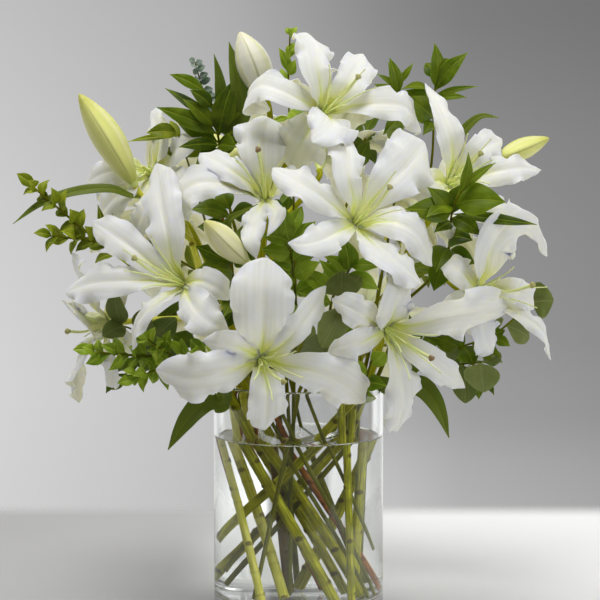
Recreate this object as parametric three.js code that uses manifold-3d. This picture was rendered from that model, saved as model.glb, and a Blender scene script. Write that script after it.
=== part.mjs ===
// White oriental lilies with mixed greens, standing in a clear glass cylinder vase of water.
// Millimetres, +Z up. Origin: centre of the vase's underside. -Y is the front of the bouquet.
import * as THREE from "three";
import { mergeVertices } from "three/addons/utils/BufferGeometryUtils.js";
import Module from "manifold-3d";

const wasm = await Module();
wasm.setup();

// ---- driving dimensions
const VASE_R = 76;          // outer radius of the cylinder
const VASE_H = 203;         // height of the cylinder
const WALL = 4;             // glass wall
const FLOOR = 12;           // thick glass floor
const WATER_TOP = 155;      // water level
const CLEAR = 0.45;         // air left between neighbouring pieces
const PETAL_T = 1.7;        // petal sheet thickness
const LEAF_T = 1.0;         // leaf sheet thickness
const VASE_SIDES = 36;

// ---- colours read off the flowers, greens and glass
const MAT = {
  glass: { color: 0xe9eef0, roughness: 0.05, metalness: 0, transparent: true, opacity: 0.35 },
  water: { color: 0xdfe8e6, roughness: 0.05, metalness: 0, transparent: true, opacity: 0.35 },
  petal: { color: 0xf2f1ec, roughness: 0.55, metalness: 0 },
  bud: { color: 0xc6cc6a, roughness: 0.5, metalness: 0 },
  lily: { color: 0x6f8f3a, roughness: 0.5, metalness: 0 },
  myrtle: { color: 0x4d7a1f, roughness: 0.45, metalness: 0 },
  ruscus: { color: 0x3f6d1c, roughness: 0.4, metalness: 0 },
  euca: { color: 0x6b7f62, roughness: 0.6, metalness: 0 },
  blue: { color: 0x6d8487, roughness: 0.65, metalness: 0 },
};

// Open blooms: throat point, axis, and for each of the six tepals its midrib points from the throat
// to the tip, the half width and whether it is one of the three broad inner ones.
const BLOOMS = {
  lily_top: { throat: [23,-35,443], axis: [0.38,-0.83,0.4], tepals: [
    { rib: [[23,-35,443],[18.4,-57.9,459.8],[15.8,-65,477.4],[14.2,-53,494],[7.4,-26.2,511.5]], half: 19, inner: 1 },
    { rib: [[23,-35,443],[34,-53.2,454.7],[43.3,-55.2,466.6],[51.4,-40.3,479.9],[56.8,-7.1,494.2]], half: 16, inner: 0 },
    { rib: [[23,-35,443],[44.4,-49.7,447.1],[66.6,-52.7,449.6],[91.6,-35.2,447.3],[108.9,6.5,427.6]], half: 18, inner: 1 },
    { rib: [[23,-35,443],[26.1,-66.6,436.6],[27.3,-96.5,430.5],[21.2,-114.5,423.8],[11.3,-119.8,417.2]], half: 22, inner: 0 },
    { rib: [[23,-35,443],[5.6,-65.9,450.2],[-13,-82.1,459.2],[-31.7,-76.2,464.4],[-43.1,-62.1,454.6],[-24.6,-39.2,444.7]], half: 16, inner: 0 },
    { rib: [[23,-35,443],[12.4,-61.7,432.4],[3.9,-64.9,418.8],[-2.1,-49.8,405.9],[-5.6,-40.9,392.8]], half: 23, inner: 1 },
  ] },
  lily_upper_left: { throat: [-28.8,-55,370.7], axis: [-0.07,-0.82,0.57], tepals: [
    { rib: [[-28.8,-55,370.7],[-30.2,-69.6,388.2],[-31.1,-69.4,406],[-31.4,-52.7,423.1],[-30.1,-24.2,439.6]], half: 23, inner: 1 },
    { rib: [[-28.8,-55,370.7],[-41.2,-73.3,381.4],[-56.4,-79,392.6],[-70.3,-69.5,400.9],[-84.9,-49,407.6]], half: 14, inner: 0 },
    { rib: [[-28.8,-55,370.7],[-44.6,-74.7,375.5],[-64.7,-83.4,381.7],[-86.6,-86.3,381.7],[-101,-85.4,370.7],[-100.8,-76.1,356],[-90.3,-66.1,347.1]], half: 17, inner: 1 },
    { rib: [[-28.8,-55,370.7],[-16.5,-77.2,379],[-6.3,-82.4,386.7],[0.5,-79.4,388.4],[4.7,-73.5,376.3]], half: 13, inner: 0 },
    { rib: [[-28.8,-55,370.7],[-33.2,-95.5,360.9],[-37.6,-121.4,347.7],[-38.2,-132.6,335],[-35,-132.3,321.8]], half: 10, inner: 1 },
    { rib: [[-28.8,-55,370.7],[-23.1,-94.1,364.2],[-17.8,-114.5,356.6],[-21,-125.1,347.9],[-25.9,-127.9,339.7]], half: 11, inner: 0 },
  ] },
  lily_centre: { throat: [49.2,-100,350.2], axis: [0.35,-0.83,0.43], tepals: [
    { rib: [[49.2,-100,350.2],[45.3,-120.7,369.2],[40.9,-128.3,385.9],[39.5,-117.3,403.9],[39.2,-89.9,424.7]], half: 16, inner: 0 },
    { rib: [[49.2,-100,350.2],[61.3,-111.6,369],[74.5,-113.2,383.1],[89.4,-97.7,396.2],[107.7,-57.6,417.1]], half: 26, inner: 1 },
    { rib: [[49.2,-100,350.2],[32.7,-127.7,361.2],[16.1,-142.6,374],[-0.3,-144,384.6],[-21,-125.3,395.8]], half: 16, inner: 1 },
    { rib: [[49.2,-100,350.2],[32.5,-139.3,343.6],[18.3,-164.8,338.3],[5.3,-174.1,335.5],[-8.3,-170,336.1]], half: 14, inner: 0 },
    { rib: [[49.2,-100,350.2],[57.4,-132.3,336.6],[70.7,-151.4,326.2],[84.5,-153.3,315.7],[100.7,-141.6,301.8]], half: 19, inner: 1 },
    { rib: [[49.2,-100,350.2],[66,-121.7,350.2],[82.9,-131.6,349.8],[98,-127.6,340.5],[111.5,-114,314]], half: 18, inner: 0 },
  ] },
  lily_left: { throat: [-98.6,-90,298.1], axis: [-0.5,-0.79,0.34], tepals: [
    { rib: [[-98.6,-90,298.1],[-104.3,-106,316.9],[-107.9,-112.4,337.3],[-113.8,-98.2,361.9],[-122.2,-59.5,398.3]], half: 18.5, inner: 1 },
    { rib: [[-98.6,-90,298.1],[-116.2,-104,310],[-134.6,-103.5,325.1],[-155.5,-84.5,338.5],[-178.4,-50.5,349]], half: 15, inner: 0 },
    { rib: [[-98.6,-90,298.1],[-119.5,-105.8,300.9],[-148.2,-102.9,300.7],[-173.5,-85.8,297.8],[-201.5,-50,287.4]], half: 17, inner: 1 },
    { rib: [[-98.6,-90,298.1],[-108.5,-120.6,288.6],[-122.8,-130.7,279.4],[-133.1,-127.2,266.6],[-139.4,-113.1,243.5]], half: 13, inner: 0 },
    { rib: [[-98.6,-90,298.1],[-89.5,-133.2,287.1],[-79.8,-162.9,278.9],[-69.7,-172.4,271.6],[-57,-168,265.5]], half: 17, inner: 1 },
    { rib: [[-98.6,-90,298.1],[-84.2,-122.5,302.1],[-73.4,-142.3,301],[-64.2,-145.1,296.3],[-57.2,-135.8,287.3]], half: 13, inner: 0 },
  ] },
  lily_front: { throat: [-30.1,-135,237.5], axis: [0.26,-0.95,-0.14], tepals: [
    { rib: [[-30.1,-135,237.5],[-28.8,-160.6,256.6],[-28.4,-178.1,276.1],[-27.5,-181.3,299],[-26.1,-168.1,324.7]], half: 28, inner: 1 },
    { rib: [[-30.1,-135,237.5],[-16.6,-156.2,249.6],[-5.2,-165.3,261.2],[7.8,-157.9,276.8],[22.8,-134.1,298.8]], half: 11, inner: 0 },
    { rib: [[-30.1,-135,237.5],[-10.9,-154.6,235.5],[11.1,-162.8,232.3],[34.1,-150.9,222.7],[55.8,-116.4,200.1]], half: 20, inner: 1 },
    { rib: [[-30.1,-135,237.5],[-28.1,-158.1,227.7],[-25.4,-168,214.9],[-25.6,-161.5,199.4],[-27.6,-140.2,179.8]], half: 15, inner: 0 },
    { rib: [[-30.1,-135,237.5],[-47.4,-164.5,235],[-66.1,-183.8,232.3],[-87.8,-185.1,229.2],[-115.3,-170.1,233.2]], half: 20, inner: 1 },
    { rib: [[-30.1,-135,237.5],[-43.4,-163.4,248.7],[-53.4,-179.4,253.6],[-64.5,-182.7,255.6],[-76.9,-175.9,257.3]], half: 13, inner: 0 },
  ] },
  lily_lower_right: { throat: [75.1,-110,260], axis: [0.46,-0.85,-0.24], tepals: [
    { rib: [[75.1,-110,260],[76.3,-138.8,272.7],[79.8,-149.8,285.1],[85.1,-142.8,295.3],[93.5,-122.1,304.6]], half: 20, inner: 0 },
    { rib: [[75.1,-110,260],[92.4,-130.5,266.1],[116.9,-135.5,272.4],[144.7,-118.9,275.1],[179,-76.4,273.2]], half: 23, inner: 1 },
    { rib: [[75.1,-110,260],[60.5,-144.2,269.8],[48.4,-162.8,279.7],[37.8,-163.2,285.4],[27.4,-153.5,289.5]], half: 13, inner: 1 },
    { rib: [[75.1,-110,260],[58,-144,256.6],[44.4,-161.7,251.8],[34.7,-161.3,248.5],[24.2,-151.9,245.1]], half: 13, inner: 0 },
    { rib: [[75.1,-110,260],[78.3,-132.2,245.5],[82.9,-141.2,228.2],[87,-127.2,203.1],[83.9,-91.6,171.1]], half: 19, inner: 1 },
    { rib: [[75.1,-110,260],[89.2,-129.8,249.4],[105.5,-134.4,239.1],[121.5,-119.9,226.6],[142.2,-82.2,207.7]], half: 13, inner: 0 },
  ] },
  lily_right: { throat: [156.4,-60,289.9], axis: [0.55,-0.83,0.12], tepals: [
    { rib: [[156.4,-60,289.9],[158.6,-82.6,308.6],[161.8,-92.3,327.9],[173.4,-84.9,342.8],[191,-62.7,347.8],[207.9,-35.7,338.8],[219.5,-14.2,316.6]], half: 16, inner: 1 },
    { rib: [[156.4,-60,289.9],[143.4,-91.4,300.7],[134.7,-105.6,310.1],[127.3,-102.6,315],[120.4,-93.2,311]], half: 13, inner: 0 },
    { rib: [[156.4,-60,289.9],[170,-79.7,292.2],[181.6,-91.3,292.3],[193.4,-84.2,286.6],[202.8,-62.8,273.7]], half: 11, inner: 0 },
    { rib: [[156.4,-60,289.9],[172,-77.7,279.3],[188.4,-85,270.5],[208.6,-66.3,255.9],[221.6,-32.7,226.3]], half: 10.5, inner: 1 },
    { rib: [[156.4,-60,289.9],[155.9,-86.1,279.1],[155.6,-100.3,265.9],[158.7,-95.3,251.8],[166.8,-72.6,236.7]], half: 16, inner: 0 },
    { rib: [[156.4,-60,289.9],[143.8,-88.5,285.2],[134.6,-98,278.4],[128.4,-91.2,270.2],[122.8,-74.6,259.3]], half: 14, inner: 1 },
  ] },
  lily_upper_right: { throat: [133,-20,381.1], axis: [0.3,-0.88,0.37], tepals: [
    { rib: [[133,-20,381.1],[133.4,-36.3,401.4],[131,-44.3,422.2],[123.7,-34.6,445.6],[111.2,-10.9,468.7]], half: 14, inner: 1 },
    { rib: [[133,-20,381.1],[144.9,-34.6,396.2],[156.6,-39.1,408.4],[167.1,-28,415.3],[180,-3.5,419.6]], half: 14, inner: 0 },
    { rib: [[133,-20,381.1],[153.6,-35.3,387.5],[174.6,-42.1,392],[193,-32.5,394.4],[214.2,-7.9,392.3]], half: 14, inner: 1 },
    { rib: [[133,-20,381.1],[121,-41,384.2],[111.8,-50.1,380.9],[103.4,-46.1,375.6],[97.2,-33.1,368.4]], half: 14, inner: 0 },
    { rib: [[133,-20,381.1],[148.4,-46.2,371.3],[163,-57.3,365.6],[175.5,-52.9,360.3],[187.2,-40.7,352.9]], half: 12, inner: 0 },
    { rib: [[133,-20,381.1],[130.6,-54.1,367.2],[130.8,-74.7,355.9],[133.1,-78.9,344.2],[135.3,-73.8,332.9]], half: 16, inner: 1 },
  ] },
  lily_back_left: { throat: [-134.6,38,389.8], axis: [-0.41,-0.84,0.37], tepals: [
    { rib: [[-134.6,38,389.8],[-125.6,14.2,405.4],[-123,4.2,417.9],[-125.3,13.2,430.3],[-133.5,40,444]], half: 15, inner: 1 },
    { rib: [[-134.6,38,389.8],[-116.2,8.1,401.9],[-106.4,-6.2,412.6],[-98.7,-1.7,420.5],[-93.5,18.1,427.6]], half: 14, inner: 0 },
    { rib: [[-134.6,38,389.8],[-116,3.7,386.8],[-104.2,-16.9,380.2],[-95.3,-19.6,373.2],[-88.9,-6.8,365.8]], half: 14, inner: 1 },
    { rib: [[-134.6,38,389.8],[-131.9,1.2,374.4],[-134.1,-17.8,361.8],[-139.6,-16.2,348.5],[-146.5,2,333.5]], half: 14, inner: 0 },
    { rib: [[-134.6,38,389.8],[-146.9,10.7,379.6],[-160.2,-1.4,370.1],[-171.4,3.6,358.4],[-184.3,24.7,343.3]], half: 18, inner: 1 },
    { rib: [[-134.6,38,389.8],[-147.5,19.7,393.7],[-161.1,11.2,392],[-176.5,21.8,388.3],[-193.3,44.9,378.8]], half: 14, inner: 0 },
  ] },
  lily_far_left: { throat: [-170.9,-10,255.1], axis: [-0.72,-0.69,-0.07], tepals: [
    { rib: [[-170.9,-10,255.1],[-174.9,-39.4,272.6],[-182.7,-47.3,289],[-190.9,-34.1,302],[-201.2,-3.8,310.7]], half: 16, inner: 1 },
    { rib: [[-170.9,-10,255.1],[-180.4,-38.3,260.3],[-186.9,-58.2,267.3],[-192.9,-58.2,272.5],[-198.8,-43.8,277.4]], half: 16, inner: 0 },
    { rib: [[-170.9,-10,255.1],[-179.1,-35.2,244.2],[-187.1,-43.1,232.7],[-196.4,-23.1,216.4],[-197.7,19.3,182.4]], half: 16, inner: 1 },
    { rib: [[-170.9,-10,255.1],[-166.1,-42.6,240.5],[-162.5,-53.9,228.6],[-163.9,-39.7,216.5],[-170.9,-4.7,199.9]], half: 12, inner: 0 },
    { rib: [[-170.9,-10,255.1],[-157.5,-40.8,249.1],[-150.2,-45,243.4],[-145.9,-34.4,237.1],[-142.1,-17.3,228.2]], half: 13, inner: 1 },
    { rib: [[-170.9,-10,255.1],[-160.3,-46,273.2],[-155.7,-58.1,288.1],[-156.7,-46.4,297.6],[-162.7,-17.6,306.2]], half: 13, inner: 0 },
  ] },
  lily_back_top: { throat: [20,92,400], axis: [0.05,0.78,0.62], tepals: [
    { rib: [[20,92,400],[-1.4,109.4,418.5],[-26.4,117.3,431.5],[-52.1,109.5,433.7],[-69.9,82.2,418.2]], half: 22.0, inner: 1 },
    { rib: [[20,92,400],[12,99,430.5],[2.1,95.8,456.2],[-9,77.8,470.1],[-16.9,56.2,470.8]], half: 14.5, inner: 0 },
    { rib: [[20,92,400],[34,100.3,427.1],[49.2,98.5,449],[63.5,82,459],[72,60,456.3]], half: 22.0, inner: 1 },
    { rib: [[20,92,400],[43.6,111.2,412.6],[69.8,121.7,418.2],[95,117.3,412],[109.9,95.3,392.9]], half: 14.5, inner: 0 },
    { rib: [[20,92,400],[31.3,122.2,399.7],[43.9,145.2,390.7],[56.1,153.1,370.1],[62.8,137.2,340.4]], half: 22.0, inner: 1 },
    { rib: [[20,92,400],[6.9,121.1,403.1],[-9.5,142.5,398.4],[-27.7,148.7,382.4],[-40.8,136.4,359.8]], half: 14.5, inner: 0 },
  ] },
  lily_back_upper_left: { throat: [-118,82,352], axis: [-0.55,0.8,0.25], tepals: [
    { rib: [[-118,82,352],[-144.5,88.2,366.3],[-167.6,84.2,378.4],[-181.1,65.5,385.2],[-183,43.4,385.9]], half: 21.12, inner: 1 },
    { rib: [[-118,82,352],[-127.5,96,378.6],[-131.7,100.4,405.4],[-126.7,89.7,427.6],[-109.8,61.8,435.4]], half: 13.92, inner: 0 },
    { rib: [[-118,82,352],[-114.4,107.9,369.3],[-103.1,126.1,386.2],[-82,129.3,399.2],[-58.8,116.7,403.4]], half: 21.12, inner: 1 },
    { rib: [[-118,82,352],[-116.8,113.1,347.6],[-108.1,137.4,338.9],[-89.5,147.2,325.4],[-66.2,136.7,311.4]], half: 13.92, inner: 0 },
    { rib: [[-118,82,352],[-135.4,103.5,337.1],[-147.1,117.5,316.8],[-148.2,117.4,291.8],[-136.7,100.2,270.3]], half: 21.12, inner: 1 },
    { rib: [[-118,82,352],[-146.9,92.5,347.2],[-172.4,93.2,338.7],[-188.1,79.1,326.3],[-192.2,61,315.9]], half: 13.92, inner: 0 },
  ] },
  lily_back_upper_right: { throat: [112,84,352], axis: [0.6,0.77,0.22], tepals: [
    { rib: [[112,84,352],[110,114.8,357],[99.3,139.2,359.8],[77.3,149.2,358.6],[55.2,145.4,355]], half: 21.56, inner: 1 },
    { rib: [[112,84,352],[115,105.7,374.8],[109.6,120.2,397.2],[92.4,120.9,415.2],[68.9,106.2,421.9]], half: 14.21, inner: 0 },
    { rib: [[112,84,352],[133.9,91.4,372.8],[150.4,89.1,393.3],[155.7,72.5,409.6],[145.7,45,415.1]], half: 21.56, inner: 1 },
    { rib: [[112,84,352],[143.3,89,355.3],[170.6,84.3,354.9],[186.7,65.5,349.3],[188.2,42.4,341.9]], half: 14.21, inner: 0 },
    { rib: [[112,84,352],[137,98.9,338.6],[157.2,104.8,320.5],[166.6,96.1,298.5],[163.3,78.5,281.1]], half: 21.56, inner: 1 },
    { rib: [[112,84,352],[120.8,112,337.7],[122.7,132.8,318.1],[113.7,139.1,294.2],[93.5,124.6,273.4]], half: 14.21, inner: 0 },
  ] },
  lily_back_low_left: { throat: [-62,118,265], axis: [-0.35,0.93,-0.12], tepals: [
    { rib: [[-62,118,265],[-84.3,135.7,276.9],[-105.4,142.9,291.3],[-120.9,133,307.3],[-127.9,118,318.3]], half: 20.9, inner: 1 },
    { rib: [[-62,118,265],[-67.3,142.8,282.1],[-69.2,158.1,303.4],[-65.4,156.4,326.9],[-58.8,143.3,343.6]], half: 13.77, inner: 0 },
    { rib: [[-62,118,265],[-51.4,146.9,267.6],[-34.6,167.1,272.1],[-11.5,170.5,278.9],[7,162.7,284.6]], half: 20.9, inner: 1 },
    { rib: [[-62,118,265],[-53.8,143.6,249],[-39.5,160.1,232.6],[-18.7,160,218.7],[-2.2,151.6,211]], half: 13.77, inner: 0 },
    { rib: [[-62,118,265],[-75,134.6,241.6],[-85.3,140.8,216.7],[-89.5,130.2,194],[-83.2,99.3,182.6]], half: 20.9, inner: 1 },
    { rib: [[-62,118,265],[-89.1,131.1,255.6],[-114.8,133.4,245.6],[-134,119,236.9],[-140.6,95.1,232.8]], half: 13.77, inner: 0 },
  ] },
  lily_back_low_right: { throat: [66,116,262], axis: [0.38,0.92,-0.12], tepals: [
    { rib: [[66,116,262],[56.2,145.4,266.1],[39.7,166.5,271.9],[16.2,170.9,279.4],[-6.1,156.5,286.2]], half: 20.9, inner: 1 },
    { rib: [[66,116,262],[68.3,142,278],[65,159.3,297.5],[54,160.5,318.7],[38.5,142,334.7]], half: 13.77, inner: 0 },
    { rib: [[66,116,262],[87.9,133.7,276.4],[107.2,141.6,294.9],[119.2,133.1,315.9],[120.6,113.2,331.5]], half: 20.9, inner: 1 },
    { rib: [[66,116,262],[93.9,128.2,253.7],[120.3,129.7,245],[139.6,114.5,237.7],[147.7,94.9,233.8]], half: 13.77, inner: 0 },
    { rib: [[66,116,262],[79.5,132.4,239.7],[90.6,138.2,216.2],[95.7,127.1,195.2],[93.6,105.7,183.8]], half: 20.9, inner: 1 },
    { rib: [[66,116,262],[60.9,140.8,245.1],[50.5,156.1,226.8],[33.8,154.6,210.1],[19.2,143.2,200.4]], half: 13.77, inner: 0 },
  ] },
};
// Buds: base, tip, largest radius.
const BUDS = {
  bud_left: { base: [-145.8,-2,379.9], tip: [-192.6,-14,459], r: 13.8 },
  bud_top: { base: [-29.4,-14,455.5], tip: [-51.3,-10,513.2], r: 15.2 },
  bud_centre: { base: [-42.8,-118,317.6], tip: [-76,-152,353.1], r: 11.0 },
  bud_right: { base: [174,-12,401.2], tip: [221.5,-4,420.5], r: 9.4 },
  bud_back_left: { base: [-52,108,392], tip: [-92,172,424], r: 12.5 },
  bud_back_right: { base: [88,122,330], tip: [128,196,352], r: 12.5 },
};
// Lily stems: tubes [points, radius], the first one the main stem and the rest the flower stalks;
// leaves: midrib points, full width, face normal.
const LILY_STEMS = {
  lily_stem_1: { tubes: [
    [[[-29.1,-43.6,14.5],[-64,17,200],[-65.3,10.9,212.1],[-78,-14,262]],3.4],
    [[[-78,-14,262],[-110.3,-0.3,259.8],[-129.7,5.6,258.4],[-155.1,6.4,256.5],[-159.6,0.8,256.1]],2.6],
    [[[-78,-14,262],[-82.1,-52.9,281.3],[-86.7,-72,290.4],[-90.8,-77.6,292.7]],2.6],
  ], leaves: [
  ] },
  lily_stem_2: { tubes: [
    [[[-10.3,-21.9,14.5],[-54.1,26.5,200],[-84.8,4.3,293.6],[-96,8,330]],3.6],
    [[[-96,8,330],[-108.4,38.9,354],[-115.2,51.1,366.1],[-120.3,56,374.3],[-125.7,57.5,382],[-128.2,51,384]],2.6],
    [[[-96,8,330],[-127.8,1.9,357.8],[-142.2,-1,373],[-145.6,-1.9,379.3]],2.6],
  ], leaves: [
    { rib: [[-136.5,0.2,366.9],[-150.4,-12,370.4],[-163.9,-18,375.8],[-192.1,-18,374.1],[-224.6,-26,363.8],[-249.6,-30,345.6]], width: 9.5, normal: [0.0,-0.82,0.57] },
  ] },
  lily_stem_3: { tubes: [
    [[[28.7,-41.4,14.5],[-64.8,-9,200],[-57.7,-29.4,217.7],[-46.4,-56.3,236.3],[-40,-72,250]],4.2],
    [[[-40,-72,250],[-37.1,-106.5,242.1],[-34.1,-120.1,239.7]],2.6],
    [[[-40,-72,250],[-35.5,-90.5,279.8],[-35,-101.9,297.1],[-37.9,-113.7,313.4],[-42.4,-117.7,317.2]],2.6],
  ], leaves: [
    { rib: [[-60.7,-20.7,210.1],[-67,-40,190.1],[-79.9,-62,193],[-91.3,-76,184.4],[-101.2,-84,171.8],[-111.3,-88,155.1]], width: 20, normal: [0.0,-0.93,0.38] },
  ] },
  lily_stem_4: { tubes: [
    [[[47.6,-18.7,14.5],[-49,12,200],[-45,13.5,242.7],[-33.5,13.7,313.2],[-28,10,370]],3.9],
    [[[-28,10,370],[-27.1,-23.1,358.2],[-27.1,-36.4,356.8],[-27.7,-42.2,361.9]],2.6],
    [[[-28,10,370],[-24.2,-9.1,422.1],[-26.3,-14.9,448.6],[-29.2,-14,454.9]],2.6],
    [[[-28,10,370],[1.1,-3.5,415.2],[14.7,-15.7,434.6],[17.1,-22,436.8]],2.6],
  ], leaves: [
    { rib: [[-24.8,-10.9,430.2],[-64.3,2,429.3],[-67.6,-2,454],[-70,-6,474.9],[-74.2,-10,494]], width: 13, normal: [0.0,-0.93,0.38] },
    { rib: [[-24.5,-10,426.2],[-55.4,0,425.8],[-49.9,-4,445.1],[-53.2,-8,471.4],[-61.1,-6,504.7]], width: 18, normal: [0.0,-0.93,0.38] },
    { rib: [[-27.7,-42.2,361.9],[-56,-96,334.8],[-58.7,-112,350.6],[-46.7,-122,359.4],[-33.4,-126,366.1]], width: 9, normal: [0.0,-0.93,0.38] },
  ] },
  lily_stem_5: { tubes: [
    [[[-62.5,-7.4,62],[56.8,-28.1,200],[75.8,1.9,247.6],[81.2,13,273],[89.9,18.4,298.5],[104,16,330]],3.8],
    [[[104,16,330],[120.1,7.1,361.9],[126.2,1,373.1],[128.3,-6.3,375.3]],2.6],
    [[[104,16,330],[129.9,-20.9,297.1],[144,-41.3,286.5],[147.8,-47.1,288.1]],2.6],
    [[[104,16,330],[128.5,0.1,361.4],[146.2,-8.7,381.3],[166.8,-13.7,398.8],[173.4,-12.1,401]],2.6],
  ], leaves: [
    { rib: [[154.1,-10.6,388.1],[135.6,-6,409.9],[149.1,-12,431],[161.2,-14,439.8],[175.9,-16,438]], width: 9, normal: [0.0,-0.93,0.38] },
  ] },
  lily_stem_6: { tubes: [
    [[[37.7,-6,14.5],[48.9,-8.1,200],[64,-32,268]],3.9],
    [[[64,-32,268],[62.4,-76.2,267.1],[63.9,-90.6,265.9],[67.9,-96.7,263.8]],2.6],
  ], leaves: [
    { rib: [[51,-11.4,209.4],[91.6,-20,198.2],[106.1,-44,203.8],[116.4,-60,195.3],[123.9,-66,180.5],[129.7,-70,162.8]], width: 20, normal: [0.0,-0.93,0.38] },
  ] },
  lily_stem_7: { tubes: [
    [[[43.6,-45.4,14.5],[36.3,-37.8,200],[38,-44,280]],3.4],
    [[[38,-44,280],[38.4,-67.8,324.5],[40.8,-80.7,341],[43.7,-87,343.5]],2.6],
  ], leaves: [
  ] },
  lily_stem_8: { tubes: [
    [[[-0.4,34.9,14.5],[63.2,10,200],[78,40.9,262.8],[90,60,300]],3.6],
    [[[90,60,300],[92.1,60.4,325.9],[94.5,62.5,337.6],[98.1,66.3,347.8],[102.6,72.1,348.5]],2.6],
    [[[90,60,300],[83.2,96.8,319.7],[83.8,115.5,328.3],[87.7,121.5,329.9]],2.6],
  ], leaves: [
    { rib: [[88.9,58.2,296.4],[120,84,300],[150,96,284],[172,98,256]], width: 12, normal: [0.0,0.9,0.44] },
  ] },
  lily_stem_9: { tubes: [
    [[[31.9,0.4,14.5],[-48.6,35.5,200],[-45.2,37.7,214.5],[-27.7,58.7,290.4],[-20,68,340]],3.2],
    [[[-20,68,340],[8.6,68.5,370.7],[19.6,73.6,386.1],[19.2,79.8,390.3]],2.6],
    [[[-20,68,340],[-38.3,88.8,374.5],[-48,101.4,389.4],[-51.7,107.5,391.8]],2.6],
  ], leaves: [
  ] },
  lily_stem_10: { tubes: [
    [[[-44.5,46.5,14.5],[-45.2,48.4,200],[-70,62,270]],3.4],
    [[[-70,62,270],[-84.9,57.3,308.7],[-93.2,57.4,326.8],[-105.7,63.5,347.2],[-109.4,69.5,348.1]],2.6],
    [[[-70,62,270],[-63.1,74.1,267.8],[-55,91.1,267.9],[-53.3,97,267.8],[-56.5,103.5,266.9]],2.6],
  ], leaves: [
    { rib: [[-69,63.7,269.7],[-110,92,262],[-140,104,236],[-150,108,204]], width: 13, normal: [0.0,0.9,0.44] },
  ] },
  lily_stem_11: { tubes: [
    [[[-54.4,21.3,20],[59,28.2,200],[61.3,34.6,204.8],[61,41.2,207.5],[44,82,232]],3.2],
    [[[44,82,232],[50.2,86.4,250.7],[54.9,91.2,261.3],[57.3,94.3,265.8],[60.1,101.7,263.9]],2.6],
  ], leaves: [
    { rib: [[44,82,232],[50,118,226],[54,150,206],[52,168,172]], width: 13, normal: [0.0,0.9,0.44] },
  ] },
};
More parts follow.
